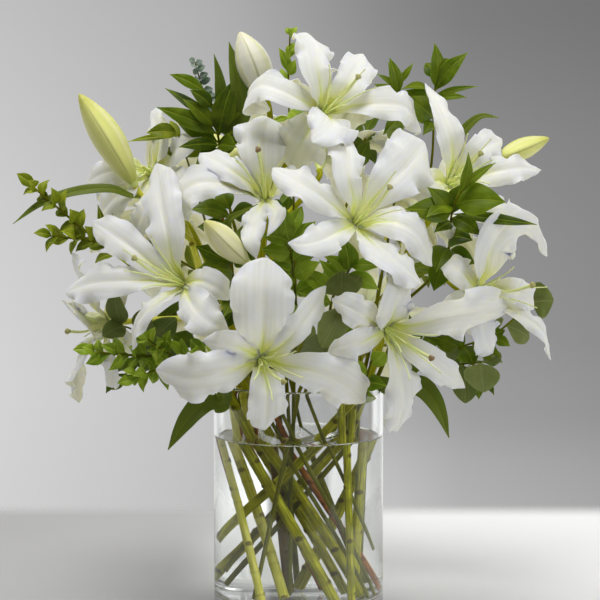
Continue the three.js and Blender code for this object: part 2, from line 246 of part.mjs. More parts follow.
// Greens: tubes as above; leaves as [base xyz, tip xyz, width, arch, normal xyz].
const GREENS = {
  myrtle_branch_left: { kind: "myrtle", tubes: [
    [[[58.4,4.3,14.5],[-33.9,-9.4,200],[-40.7,-5.8,239.6],[-46.4,-3,259.1],[-55.2,0.5,277.3],[-70,6,300]],2.5],
    [[[-70,6,300],[-82.4,9.6,297.9],[-108.5,8.8,292.2],[-120.7,7.6,292.1],[-132,5.5,295.1],[-141.9,2.3,301.2],[-191.6,-17.4,342.3],[-232.6,-30,378.7]],1.6],
    [[[-176.2,-11.6,329.5],[-217.3,-30,335.1]],1.1],
    [[[-70,6,300],[-92.2,9.3,377.2],[-100.1,4.8,404.5],[-106.6,-2,424]],1.2],
  ], leaves: [
    [-155.5,-3,312.4,-159.3,3.2,336.9,12.5,3,-0.52,-0.84,0.16],
    [-164.5,-6.6,319.9,-165.7,-21.7,341.6,12.2,3,0.84,-0.48,-0.26],
    [-172.1,-9.6,326.1,-173.5,-13.1,346,11.8,3,-0.69,-0.71,-0.12],
    [-181.1,-13.2,333.6,-183.6,-36.3,342.3,11.5,3,0.83,-0.28,-0.48],
    [-190.1,-16.8,341.1,-190.1,-14.2,358.3,11.2,3,-0.6,-0.8,0.12],
    [-197.5,-19.2,347.5,-198.2,-33.6,357.7,10.9,3,0.73,-0.44,-0.52],
    [-206.3,-21.9,355.3,-204.5,-26.8,375.3,10.5,3,-0.73,-0.68,-0.07],
    [-213.6,-24.2,361.8,-213.8,-39.9,376.8,10.2,3,0.71,-0.52,-0.47],
    [-222.4,-26.9,369.6,-219.2,-20.9,384.5,9.9,3,-0.58,-0.69,0.43],
    [-231.2,-29.6,377.4,-233.3,-43,383.2,9.5,3,0.76,-0.4,-0.51],
    [-187.4,-16.6,331,-197.4,-10.7,345.1,11,3,-0.5,-0.87,0.02],
    [-196.8,-20.8,332.3,-204,-38.6,340,10.2,3,0.94,-0.3,0.17],
    [-206.1,-25,333.5,-216.9,-21.4,344.2,9.4,3,-0.38,-0.92,-0.07],
    [-215.5,-29.2,334.8,-220,-39,345.2,8.6,3,0.93,-0.34,0.11],
    [-161.5,-5.4,317.4,-150.7,-24,311,6,2,0.0,-0.95,0.33],
    [-163,-6,318.7,-164.4,-14,353.7,6,2,0.0,-0.95,0.33],
    [-106,-1.3,422.1,-150.6,-6,417.9,5,3,0.0,-0.95,0.33],
    [-104.7,0.1,418.2,-114.4,10,436.5,8,2,0.0,-0.95,0.33],
    [-100.7,4.2,406.5,-119.8,8,409.9,10,3,0.0,-0.95,0.33],
    [-99.5,5.2,402.6,-82.6,14,411.6,10,3,0.0,-0.95,0.33],
  ] },
  ruscus_branch_top_left: { kind: "ruscus", tubes: [
    [[[-6,8.6,14.5],[-20.4,14.1,200],[-46,30,300]],3.4],
    [[[-46,30,300],[-62.3,17,360.8],[-72,-4.1,427.5],[-78,-8.1,454.6],[-81.4,-8,460.9]],1.6],
  ], leaves: [
    [-71.5,-2.9,423.7,-124.1,-16,447.6,13,5,0.0,-0.95,0.33],
    [-72.5,-4.4,429.4,-101.5,-12,454.7,12,4,0.0,-0.95,0.33],
    [-76.3,-7,446.8,-95.2,-14,462.5,11,3,0.0,-0.95,0.33],
    [-74.2,-5.5,437.2,-118,0,466.3,8,4,0.0,-0.95,0.33],
    [-70.4,-0.5,416.1,-112.3,6,443.5,13,4,0.0,-0.95,0.33],
    [-70.1,0.1,414.2,-103.5,-26,413.5,10,3,0.0,-0.95,0.33],
    [-69.3,1.9,408.4,-77.9,-34,385.8,8,3,0.0,-0.95,0.33],
    [-71.2,-2.3,421.8,-57.5,-12,471.3,17,4,0.0,-0.95,0.33],
    [-70.1,0.1,414.2,-54.6,-26,413.5,17,3,0.0,-0.95,0.33],
    [-74.2,-5.5,437.2,-48.2,0,447,13,4,0.0,-0.95,0.33],
    [-81.4,-8,460.9,-113.2,-6,477.6,9,4,0.0,-0.95,0.33],
    [-69.5,1.3,410.4,-89.7,-24,396.1,12,4,0.0,-0.95,0.33],
    [-68.7,3.1,404.6,-51.5,-12,429.3,12,3,0.0,-0.95,0.33],
  ] },
  myrtle_branch_lower_left: { kind: "myrtle", tubes: [
    [[[57.6,-32,14.5],[-38.9,-23.5,200],[-44,-52,246]],1.7],
    [[[-44,-52,246],[-62.9,-63.7,236.7],[-86.5,-73.9,234.3],[-126.4,-85,235.2],[-175.1,-92,239.6]],1.6],
    [[[-99.5,-78.1,234.2],[-125,-90.2,222.5],[-139.4,-94,217.6]],1.1],
    [[[-106.1,-80.1,234.3],[-123.4,-94.4,247.6],[-128.9,-96,251.9]],1.1],
  ], leaves: [
    [-66.9,-65.4,236.3,-78.2,-85.1,217.1,12.4,3,-0.42,-0.35,0.84],
    [-74.7,-68.8,235.5,-94.6,-59.9,228.3,12.2,3,-0.48,-0.83,0.28],
    [-82.6,-72.2,234.7,-89.5,-84.6,218.5,11.9,3,-0.54,-0.51,0.67],
    [-90.5,-75,234.4,-102.6,-62.4,223.9,11.7,3,-0.8,-0.59,0.14],
    [-99.5,-78.1,234.2,-103.9,-86.1,217.2,11.5,3,-0.6,-0.65,0.46],
    [-107.4,-81.2,235.4,-119.1,-74,224.2,11.2,3,-0.67,-0.71,0.23],
    [-116.4,-82.2,234.9,-125.9,-84.8,217.8,11,3,-0.62,-0.66,0.41],
    [-124.4,-84.4,235.1,-136.4,-73.5,224.3,10.8,3,-0.79,-0.59,0.2],
    [-132.5,-85.8,235.7,-143.7,-89.3,222,10.5,3,-0.56,-0.64,0.53],
    [-142.6,-87.3,236.7,-152.2,-81.2,228.4,10.3,3,-0.7,-0.66,0.27],
    [-150.7,-88.5,237.4,-158.3,-103.5,225.5,10.1,3,0.8,-0.58,0.15],
    [-158.8,-89.7,238.1,-171.6,-85.3,226.9,9.8,3,-0.66,-0.63,0.41],
    [-169,-91.1,239,-178.7,-102.6,230.7,9.6,3,0.73,-0.69,0.02],
    [-173,-91.7,239.4,-191,-93.2,241.7,9.4,2,0.11,-0.93,0.36],
    [-111.4,-83.8,228.8,-112,-90.8,207.4,11.2,3,-0.58,-0.78,0.24],
    [-118.2,-87,225.7,-124.7,-83.2,211.5,10.5,3,-0.59,-0.81,-0.07],
    [-125,-90.2,222.5,-132.1,-98,206.9,9.9,3,-0.66,-0.53,0.54],
    [-133.2,-92.4,219.7,-141.9,-82.8,212.5,9.3,3,-0.76,-0.66,-0.01],
    [-137.4,-93.5,218.3,-153.3,-96.5,213.6,8.6,2,0.06,-0.92,0.39],
    [-115.4,-87.8,241.5,-120.5,-103.5,234.3,10.5,3,-0.24,-0.3,0.92],
    [-120.7,-92.2,245.6,-132.5,-80.3,250,9.6,3,-0.48,-0.67,0.57],
    [-123.4,-94.4,247.6,-121.6,-92.4,260.8,9.2,3,-0.6,-0.77,0.21],
    [-127,-95.5,250.5,-139.7,-97,247.2,8.7,3,-0.12,-0.64,0.76],
    [-127,-95.5,250.5,-139.6,-99.7,260.2,8.2,2,0.4,-0.91,0.11],
  ] },
  ruscus_branch_top_right: { kind: "ruscus", tubes: [
    [[[-52.6,-4.3,34],[55.9,18.1,200],[76,34,300]],2],
    [[[76,34,300],[106.3,37.9,354.9],[118.3,37.6,386.7],[121,35.1,406.7],[122,23.7,460.7],[124.6,20,481.1]],1.5],
    [[[76,34,300],[87.5,29.6,368.9],[91.5,26.6,403.4],[91.8,22.7,430.9],[88.7,16,472.1]],1.3],
  ], leaves: [
    [122.6,22.9,464.8,124.1,14,503.9,15,4,0.51,-0.86,0.07],
    [122.3,23.3,462.7,148.7,10,495.8,13,4,0.0,-0.95,0.33],
    [121.7,27.5,442.7,95.1,18,463.2,16,4,0.0,-0.95,0.33],
    [122,23.7,460.7,92.8,8,466.5,11,3,0.0,-0.65,0.76],
    [122,24.1,458.7,158.2,14,467.6,5,2,0.0,-0.95,0.33],
    [121.9,25,454.7,149.2,12,456.9,6,2,0.0,-0.95,0.33],
    [121.6,28.4,438.7,97.2,6,456.8,20,4,0.21,-0.97,-0.14],
    [121.6,29.2,434.7,111.9,12,424.9,10,3,0.0,-0.95,0.33],
    [124.4,20.4,479,135.7,26,492,9,3,0.0,-0.95,0.33],
    [123.6,21.5,472.9,114.5,30,488.6,12,3,0.0,-0.95,0.33],
    [89.6,18,459.7,81.3,10,491.3,10,3,0.0,-0.95,0.33],
    [90.1,19,453.6,68.8,6,469.1,12,3,0.0,-0.82,0.57],
    [89.3,17.4,463.9,70.1,20,477.5,5,2,0.0,-0.95,0.33],
    [89,16.7,468,101.8,12,487,5,2,0.0,-0.95,0.33],
    [88.7,16,472.1,80.1,24,488.3,7,2,0.0,-0.95,0.33],
    [91.2,21.4,439.2,75.8,2,424.9,11,3,0.0,-0.95,0.33],
    [91.3,21.7,437.1,82.5,-8,411.7,12,3,0.0,-0.95,0.33],
    [90.7,20.4,445.3,107.1,24,461.6,10,3,0.0,-0.95,0.33],
  ] },
  ruscus_branch_right: { kind: "ruscus", tubes: [
    [[[36.9,18.5,14.5],[46,6.5,200],[69.2,-1.2,250.7],[78,-2,262]],2],
    [[[78,-2,262],[109.9,-23.6,291.1],[123.7,-38.8,307.9],[129.1,-58.1,324.4],[129,-99.7,358.2],[132.7,-113.8,372.1],[136.8,-116,377.4]],1.5],
    [[[78,-2,262],[90.4,-12.9,235],[96.3,-18.1,227.4],[103.1,-24.5,223.9],[114.7,-35,227.2],[133.8,-48.9,237],[156.9,-61.2,246],[170,-66,249]],1.4],
  ], leaves: [
    [134,-114.5,373.9,142.7,-122,407.3,9,3,0.51,-0.86,0.07],
    [135.4,-115.3,375.6,163,-118,400.6,6,3,0.0,-0.95,0.33],
    [130.8,-106.8,365.2,169.9,-126,368.6,23,5,0.0,-0.95,0.33],
    [129.4,-101.1,359.6,89.9,-124,362.7,18,4,0.0,-0.95,0.33],
    [130.1,-103.9,362.4,106.2,-128,356.3,12,3,0.0,-0.75,0.66],
    [129,-98.1,356.9,109.2,-118,379.1,15,4,0.0,-0.95,0.33],
    [129,-98.1,356.9,137.2,-100,382,14,3,0.0,-0.95,0.33],
    [129,-93.3,353.1,151.5,-112,340.6,14,4,0.0,-0.95,0.33],
    [129,-98.1,356.9,201.3,-92,348.1,8,9,0.0,-0.95,0.33],
    [129,-88.5,349.1,114.5,-116,344.2,10,3,0.0,-0.95,0.33],
    [129,-70.9,334.8,146.5,-92,334.6,18,4,0.0,-0.95,0.33],
    [129.1,-59.7,325.7,117.4,-88,309,19,4,0.0,-0.95,0.33],
    [126.3,-48.5,316.2,116.9,-58,289.8,17,4,0.0,-0.95,0.33],
    [126.8,-50.1,317.6,150.8,-64,314.3,17,4,0.0,-0.95,0.33],
    [139.1,-51.8,239.1,112.8,-72,251.3,15,4,0.0,-0.95,0.33],
    [149.8,-57.4,243.2,174.7,-72,228.9,13,4,0.0,-0.95,0.33],
    [155.1,-60.2,245.3,178.1,-62,255.5,13,4,0.0,-0.95,0.33],
    [125.8,-43.1,232.9,111.8,-62,219.1,15,4,0.0,-0.95,0.33],
    [106,-27.1,224.7,86.5,-52,210.9,15,4,0.0,-0.95,0.33],
    [142.7,-53.6,240.4,151.4,-64,224.5,15,4,0.0,-0.95,0.33],
    [130.6,-46.6,235.4,144.2,-44,252.1,14,4,0.0,-0.95,0.33],
    [168.1,-65.3,248.5,181.6,-70,242.4,8,2,0.0,-0.95,0.33],
  ] },
  eucalyptus_branch_right: { kind: "euca", tubes: [
    [[[-49.9,4,20],[67.3,2.4,200],[84,2,240]],2.2],
    [[[84,2,240],[123.7,0.4,231.2],[148.8,-3.3,231.9],[160.1,-6.7,236.3],[170.2,-10.8,243.1],[207.6,-28,278.7]],1.4],
    [[[84,2,240],[100.5,-14.2,227.1],[113.4,-27.9,222.4],[131.7,-47.3,223.8],[157.7,-70,228.6]],1.4],
  ], leaves: [
    [204.8,-26.7,276.1,221.4,-44,280,31,3,0.15,-0.97,0.18],
    [196.5,-22.9,268.2,189.2,-10,288,24,3,0.0,-0.95,0.33],
    [182.6,-16.6,255,206,-6,243.1,24,3,0.21,-0.79,0.58],
    [175.7,-13.4,248.3,169.3,2,260.2,22,3,0.0,-0.95,0.33],
    [156.2,-68.7,228.4,158.3,-84,204.4,30,3,0.1,-0.98,0.18],
    [142.4,-56.7,225.8,143.7,-66,192.6,24,3,-0.2,-0.97,0.17],
    [157.7,-70,228.6,173.5,-66,236.8,16,3,0.0,-0.95,0.33],
    [133.2,-48.7,224.1,124.2,-56,241,22,3,0.0,-0.95,0.33],
  ] },
  eucalyptus_branch_left: { kind: "euca", tubes: [
    [[[-26.9,-17.8,14.5],[-61.1,28.3,200],[-72.2,13.3,215.2],[-80,-4,228]],2.2],
    [[[-80,-4,228],[-101.4,-11.5,223.8],[-110.3,-17.3,224.9],[-117.2,-24.7,229.4],[-137.6,-49.2,249.9],[-146.1,-57,256.7],[-152.3,-60,258.8]],1.4],
  ], leaves: [
    [-152.3,-60,258.8,-157.5,-76,288.6,19,3,-0.31,-0.93,0.18],
    [-148.2,-58,257.4,-167.4,-74,251.5,18,3,0.0,-0.82,0.57],
    [-131.9,-42.4,244.2,-105.5,-62,265.9,22,3,0.2,-0.94,0.28],
    [-137.6,-49.2,249.9,-131,-66,274.9,20,3,0.0,-0.95,0.33],
    [-121.7,-30.1,233.9,-141.3,-48,231.5,20,3,0.0,-0.95,0.33],
  ] },
  eucalyptus_branch_centre: { kind: "euca", tubes: [
    [[[-33.9,-29.5,14.5],[0.9,-37.4,200],[26,-38,236]],1.8],
    [[[26,-38,236],[35.1,-49.3,238.6],[39,-61.2,247.6],[37.5,-84.1,277.9],[37.5,-91.2,289.4],[39.4,-94,295.8]],1.4],
  ], leaves: [
    [37.5,-88.8,285.6,36.5,-110,308.8,27,3,0.0,-0.97,0.23],
    [37.5,-85.3,279.8,19.8,-112,245.9,27,3,-0.32,-0.95,0.08],
    [38.1,-92.1,291.5,52.1,-90,304,16,2,0.0,-0.95,0.33],
    [38.8,-65,252.7,58.5,-82,240.2,20,3,0.0,-0.65,0.76],
    [39,-61.2,247.6,23.7,-70,233.8,18,3,0.0,-0.65,0.76],
  ] },
  myrtle_branch_centre: { kind: "myrtle", tubes: [
    [[[-6.5,-4.7,14.5],[-4.2,-13.7,200],[-2,-16,250]],1.8],
    [[[-2,-16,250],[-1.2,-32.1,260.9],[-2,-45.8,275.5],[-5.9,-73.6,315.8],[-8,-84.3,334.2],[-8.8,-86,341.1]],1.4],
    [[[-2,-16,250],[-4.7,-12.6,377.8],[-8.8,-14.8,462.7],[-7.4,-14,512.1]],1.3],
  ], leaves: [
    [-7.8,-83.2,332.3,-12.1,-96,362.6,15,3,0.0,-0.95,0.33],
    [-7.8,-83.2,332.3,-30.6,-98,338.3,13,3,0.0,-0.95,0.33],
    [-6.7,-77.9,323.2,-30.8,-92,327,15,3,0.0,-0.95,0.33],
    [-7,-78.9,325,13.2,-88,349.7,13,3,0.0,-0.95,0.33],
    [-5.6,-71.3,312.4,-22.4,-88,315.8,15,3,0.0,-0.95,0.33],
    [-4.6,-64.3,302.4,16.6,-86,315.7,15,3,0.0,-0.95,0.33],
    [-5.9,-73.6,315.8,15,-70,326.7,15,3,0.0,-0.95,0.33],
    [-3.6,-57.4,292.3,-17.4,-76,303.1,14,3,0.0,-0.95,0.33],
    [-3,-52.8,285.6,18.4,-72,296,14,3,0.0,-0.95,0.33],
    [-2,-45.8,275.5,-12.4,-72,270.2,12,3,0.0,-0.95,0.33],
    [-8.3,-84.8,336.5,-20.8,-78,352.7,13,3,0.0,-0.95,0.33],
    [-8.6,-85.4,338.8,3,-80,362.9,12,3,0.0,-0.95,0.33],
    [-7.9,-14.3,495.6,0.5,-20,501.4,6,2,0.0,-0.95,0.33],
    [-8.4,-14.6,477.1,-17,-22,498.8,8,3,0.0,-0.95,0.33],
    [-8.7,-14.7,466.8,-15.4,-10,481.8,7,2,0.0,-0.95,0.33],
    [-8.1,-14.4,489.5,-3.9,-12,504.4,8,2,0.0,-0.95,0.33],
    [-8.4,-14.6,475,-3,-22,488.4,8,2,0.0,-0.95,0.33],
    [-7.5,-14.1,508,-1.3,-16,517.2,6,2,0.0,-0.95,0.33],
    [-7.5,-14,510.1,-10.9,-12,516.6,5,2,0.0,-0.95,0.33],
    [-7.9,-14.3,444.5,1.3,-22,431.8,13,3,0.0,-0.95,0.33],
    [-7.2,-13.9,428.3,-4.8,-30,410.1,13,3,0.0,-0.95,0.33],
    [-7.6,-14.2,438.4,-24.9,-24,433.6,5,2,0.0,-0.95,0.33],
    [-8.6,-14.7,458.6,-16.3,-4,465.4,7,2,0.0,-0.95,0.33],
  ] },
  ruscus_branch_centre: { kind: "ruscus", tubes: [
    [[[60,-20.4,56],[6,-54.1,200],[22,-44,226]],1.7],
    [[[22,-44,226],[25.2,-50.5,250.1],[28.2,-65.9,278.7],[31.7,-72.4,289.7],[43.4,-85.3,309.5],[45.4,-88,315.8]],1.5],
    [[[22,-44,226],[40,-24.6,199.1],[47.1,-20.6,192.9],[54.5,-22.4,189.1],[57.4,-26.3,189.9],[58.1,-31,193.1],[59.4,-46.7,212.6],[63.6,-58,229.1]],1.4],
  ], leaves: [
    [42.5,-84.3,308,37.5,-100,336.7,15,4,0.0,-0.95,0.33],
    [41.6,-83.3,306.4,21.5,-102,321.7,9,3,0.0,-0.95,0.33],
    [37.1,-78.3,298.8,18.2,-96,318,10,3,0.0,-0.95,0.33],
    [44.1,-86.2,311.6,69.5,-98,313,10,3,0.0,-0.95,0.33],
    [40.7,-82.3,304.9,68.3,-88,292.9,13,4,0.0,-0.95,0.33],
    [31.1,-71.3,287.9,1.3,-80,310.2,13,4,0.0,-0.95,0.33],
    [28.2,-65.9,278.7,1.3,-76,289.4,12,4,0.0,-0.95,0.33],
    [44.1,-86.2,311.6,48.9,-84,326.6,8,2,0.0,-0.95,0.33],
    [27.5,-62,271.6,45.6,-84,264.4,15,4,0.0,-0.95,0.33],
    [38,-79.3,300.4,15.1,-62,297,14,3,0.0,-0.95,0.33],
    [25.6,-52.4,253.6,56.3,-70,245.9,15,4,0.0,-0.95,0.33],
    [59,-42.8,207.7,73.7,-66,209.1,13,3,0.0,-0.95,0.33],
    [60.2,-49,215.9,37.6,-62,224.3,14,3,0.0,-0.95,0.33],
    [62.3,-54.6,224.1,76,-50,235.2,13,3,0.0,-0.95,0.33],
    [58.1,-31,193.1,36.2,-46,199.7,10,3,0.0,-0.95,0.33],
    [50.8,-21.5,191,66.3,-34,192.9,10,3,0.0,-0.95,0.33],
  ] },
  ruscus_branch_centre_left: { kind: "ruscus", tubes: [
    [[[62.6,-22.6,14.5],[-23.2,-45.5,200],[-44.4,-43,242.2]],1.8],
    [[[-44.4,-43,242.2],[-52.4,-53.8,272.7],[-56.4,-56.5,299],[-57.9,-51.8,325.6],[-59.5,-40,358.1]],1.5],
  ], leaves: [
    [-59.2,-42.1,352.4,-91.9,-52,360.3,17,3,0.1,-0.75,0.66],
    [-59.3,-41.4,354.3,-31.6,-44,356.5,16,3,0.0,-0.82,0.57],
    [-58.6,-46.9,339,-86.4,-58,345,17,3,0.0,-0.88,0.48],
    [-59.5,-40,358.1,-70.3,-30,377,14,3,0.0,-0.95,0.33],
    [-58,-51.1,327.5,-31.5,-50,336,15,3,0.0,-0.88,0.48],
    [-57.2,-54,313.3,-84.6,-80,328.9,19,4,0.0,-0.95,0.33],
    [-56.7,-55.4,305.1,-83.5,-86,310.6,22,4,0.0,-0.95,0.33],
    [-56.1,-56.3,296.9,-73.3,-88,290.3,22,4,0.0,-0.92,0.39],
    [-57.5,-53.2,317.4,-36.4,-66,314.5,16,3,0.0,-0.95,0.33],
    [-55.2,-55.7,290.9,-63.2,-88,269.9,14,3,0.0,-0.95,0.33],
    [-52.4,-53.8,272.7,-70.2,-84,254.2,14,3,0.0,-0.95,0.33],
  ] },
  eucalyptus_small_branch: { kind: "blue", tubes: [
    [[[14.4,22.4,14.5],[-46.9,42,200],[-50.3,42.7,213.3],[-59.8,37,283.4],[-70,24,360]],1.7],
    [[[-70,24,360],[-77.8,11.3,431.5],[-91.6,4,487.6]],1.1],
  ], leaves: [
    [-81.6,9.3,447,-70.4,1.4,448.1,7.5,1,0.3,-0.88,0.37],
    [-83,8.5,452.8,-71.8,-1.3,454.4,7.3,1,0.3,-0.88,0.37],
    [-84.5,7.8,458.6,-73.8,0.1,458.2,7.1,1,0.3,-0.88,0.37],
    [-85.4,7.3,462.4,-75.9,2.5,463.6,6.9,1,0.3,-0.88,0.37],
    [-86.8,6.5,468.2,-78,2.3,473.2,6.7,1,0.3,-0.88,0.37],
    [-88.3,5.8,474,-80.1,-0.9,477.5,6.5,1,0.3,-0.88,0.37],
    [-89.7,5,479.8,-82.5,-0.2,483.9,6.3,1,0.3,-0.88,0.37],
    [-90.7,4.5,483.7,-94.9,-1.2,484,6.2,1,-0.3,-0.88,0.37],
    [-91.2,4.2,485.6,-84.9,1.1,488.6,6.1,1,0.3,-0.88,0.37],
    [-91.6,4,487.6,-96.8,0.9,489.5,6,1,-0.3,-0.88,0.37],
  ] },
  myrtle_branch_back_left: { kind: "myrtle", tubes: [
    [[[-39.5,53.5,14.5],[-39.9,53.2,200],[-40,56,232]],2.2],
    [[[-40,56,232],[-52.5,63.5,256.7],[-63.9,71.5,273.6],[-92.6,92.5,295],[-109.4,101.5,304.3],[-134,111.1,314.8],[-160.4,117.8,323.3],[-188,122,330]],1.6],
  ], leaves: [
    [-79.7,83.1,285.4,-97.6,100,281.5,11,3,0.09,0.3,0.95],
    [-91.2,91.4,294,-104.3,113.6,290.4,10.7,3,-0.12,0.09,0.99],
    [-102.7,97.9,300.6,-117.7,110.8,294,10.3,3,-0.23,0.34,0.91],
    [-116.4,104.2,307.3,-125.3,124.5,299.1,10,3,-0.54,0.11,0.83],
    [-130.5,109.7,313.3,-142.2,120,300.6,9.6,3,-0.45,0.48,0.75],
    [-145.3,114,318.4,-147.6,132.8,324.3,9.3,3,-0.93,-0.25,0.27],
    [-160.4,117.8,323.3,-171.8,127.3,313,8.9,3,-0.52,0.32,0.79],
    [-176.2,120.2,327.1,-189.1,134.3,327.9,8.6,3,0.72,0.7,-0.03],
    [-184.1,121.4,329,-191.4,108.9,338.7,8.4,3,-0.75,0.62,0.24],
    [-186,121.7,329.5,-204.3,123.7,333.4,8.2,2,0.15,0.96,0.23],
  ] },
  myrtle_branch_back_right: { kind: "myrtle", tubes: [
    [[[42,51,14.5],[44,48,200],[52,58,232]],2.2],
    [[[52,58,232],[58.9,65.2,249.5],[65,71,259.9],[76.9,81.3,272.6],[91.4,92.2,282.3],[108,102.5,289.7],[132.8,113.5,296.8],[159.2,121.3,303.4],[186,126,312]],1.6],
  ], leaves: [
    [85.6,87.9,278.4,85.9,92.6,305.4,11,3,0.62,0.76,-0.19],
    [96.4,95.3,284.5,92.9,116.5,290.4,10.7,3,0.93,-0.01,0.36],
    [108,102.5,289.7,118.1,100.2,305,10.3,3,0.44,0.88,-0.15],
    [120.4,108,293.2,125.3,125.6,305.4,10,3,0.91,-0.07,-0.42],
    [132.8,113.5,296.8,141.2,120.3,312.1,9.6,3,0.6,0.6,-0.53],
    [147.9,117.9,300.6,149.7,136.4,305.1,9.3,3,0.99,-0.14,-0.05],
    [161.1,121.6,304.1,164.6,124,322,8.9,3,0.79,0.59,-0.17],
    [174.5,124,308.3,177.6,135,321.4,8.6,3,0.95,0.15,-0.27],
    [182.2,125.3,310.8,194.8,113.9,308.6,8.4,3,0.67,0.63,0.39],
    [184.1,125.7,311.4,201.8,127.8,317.6,8.2,2,-0.17,0.97,0.16],
  ] },
  eucalyptus_branch_back: { kind: "euca", tubes: [
    [[[34,50.3,14.5],[-8.1,58.7,200]],1.8],
    [[[-8.1,58.7,200],[-3.6,71.1,213.6],[-1,80.8,220.9],[0.9,92.1,225.2],[2.5,111,226.6],[2.8,131,224],[1.8,157.7,216.8],[-0.9,183.5,206],[-4,202,196]],1.6],
  ], leaves: [
    [2.5,113,226.3,24.1,124.2,218.2,26,3,-0.22,0.87,0.44],
    [2.7,125,224.8,-17.8,144.7,222.5,25.2,3,0.51,0.73,0.45],
    [2.5,137.2,222.3,3.3,157,242.5,24.4,3,0.05,-0.69,0.72],
    [2.1,149.5,219,4,155.4,195.6,23.6,3,-0.03,0.98,0.18],
    [1.4,161.4,215.2,19,182.4,215.1,22.8,3,-0.73,0.64,0.22],
    [0.1,174.3,209.8,-15.2,176.4,202.5,21.9,3,0.02,0.99,0.12],
    [-1.2,185.3,205,5.8,201.1,212.7,21.1,3,0.08,-0.43,0.9],
    [-3.1,196.4,199,-14.2,197.6,182.5,20.3,3,-0.06,0.99,0.1],
    [-3.7,200.2,197,-7.3,218.6,186.1,19.5,2,0.04,0.52,0.85],
  ] },
  ruscus_branch_back: { kind: "ruscus", tubes: [
    [[[-0.5,41.8,14.5],[-11.1,40.4,200],[4,70,232]],1.9],
    [[[4,70,232],[-2,88.8,252],[-6.2,109.2,270.6],[-12.3,176.7,320.3],[-12,206,350]],1.6],
    [[[4,70,232],[31.1,59.8,318.8],[39.4,60.5,344.9],[45.5,64.8,363.6],[51.1,73.7,380.4],[57.4,91.9,399.2],[63.5,124.3,424.6],[64,152,446]],1.6],
  ], leaves: [
    [-7.7,125.3,282.5,-13.4,157.4,272.6,15,3,0.06,0.31,0.95],
    [-8.8,138.2,291.9,19.1,151.5,313.7,14.4,3,-0.58,0.74,0.34],
    [-10.2,152.6,302.6,9.4,175.8,296.7,13.8,3,-0.4,0.54,0.74],
    [-11.5,167.1,313.2,8,187.8,323.3,13.3,3,-0.76,0.51,0.41],
    [-12.3,179.7,323.3,5.3,198.3,318.8,12.7,3,-0.46,0.59,0.67],
    [-12.2,191.4,335.2,-24.5,212.4,335.6,12.1,3,0.48,0.17,0.86],
    [-12,203.1,347,-28.3,216.8,355.9,11.5,3,0.69,0.41,0.6],
    [54.5,83.5,390.5,65.4,78.8,417.4,13,3,-0.04,0.98,0.17],
    [58.3,96.7,403,48.3,110.1,424.1,12.3,3,0.83,0.54,0.11],
    [61.1,111.3,414.4,85,128.5,423.3,11.7,3,-0.62,0.49,0.61],
    [63.5,125.9,425.8,79.4,130.8,446.3,11.1,3,-0.41,0.91,0.08],
    [63.8,140.6,437.2,74.1,160.7,440.7,10.4,3,-0.53,0.09,0.85],
    [63.9,148.7,443.5,62.4,145.3,462.1,10.1,3,0.07,0.98,0.17],
    [64,150.4,444.7,62.3,169.4,459.9,9.8,2,0.85,-0.28,0.45],
  ] },
  ruscus_branch_back_left: { kind: "ruscus", tubes: [
    [[[-54,38,14.5],[-55.1,33.5,200]],1.9],
    [[[-55.1,33.5,200],[-61.3,51.1,217.6],[-66.8,59.7,224.2],[-75,68,228.2],[-90.3,79.2,229.8],[-107.7,88.7,227.3],[-125.8,96.3,221.2],[-149.4,103.9,208.5],[-166,108,196]],1.6],
  ], leaves: [
    [-86.9,76.7,229.5,-96.8,105.2,207.5,14,3,-0.62,0.37,0.7],
    [-100,84.5,228.4,-98.3,120.1,242.8,13.4,3,-1.0,0.04,0.03],
    [-114.9,91.8,224.9,-121.3,115.4,216.7,12.8,3,0.58,0.54,0.61],
    [-127.6,96.9,220.2,-146.5,122.6,221.6,12.2,3,0.55,0.41,0.72],
    [-142.1,101.6,212.4,-152.3,126.5,198.4,11.7,3,0.59,0.6,0.54],
    [-156,105.5,203.5,-173.9,124.8,199.3,11.1,3,0.31,0.5,0.81],
    [-162.7,107.2,198.5,-176.8,93.8,184.2,10.8,3,-0.63,0.77,-0.11],
    [-164.3,107.6,197.2,-183.5,111.5,180.2,10.5,2,-0.3,0.81,0.51],
  ] },
  ruscus_branch_back_right: { kind: "ruscus", tubes: [
    [[[54,38,14.5],[55.9,34.5,200]],1.9],
    [[[55.9,34.5,200],[55.1,41.6,211.4],[56.6,45.5,216.3],[61.9,54,222.9],[69.5,62.4,227.1],[84.6,73.5,229.1],[102.1,82.8,227.3],[126.9,91.8,220.4],[151.3,97.5,208.5],[168,100,196]],1.6],
  ], leaves: [
    [84.6,73.5,229.1,119.3,65.9,243.2,14,3,0.24,0.97,0.03],
    [100.2,81.8,227.5,106.2,101.5,253,13.4,3,0.75,0.39,-0.54],
    [113.6,87,224.1,135.7,81.8,242.4,12.8,3,0.49,0.84,-0.23],
    [128.8,92.3,219.5,152,106.1,240.9,12.2,3,-0.72,0.33,0.61],
    [143.8,95.8,212.2,169.1,92,224.1,11.7,3,0.32,0.91,-0.25],
    [158,98.5,203.5,177.6,110.1,209.4,11.1,3,-0.43,0.4,0.81],
    [164.7,99.5,198.5,171.1,90.2,175.8,10.8,3,0.78,0.63,-0.05],
    [166.3,99.8,197.2,185.6,101.6,180,10.5,2,0.35,0.81,0.46],
  ] },
};

// ---- helpers
const V = (a) => new THREE.Vector3(a[0], a[1], a[2]);

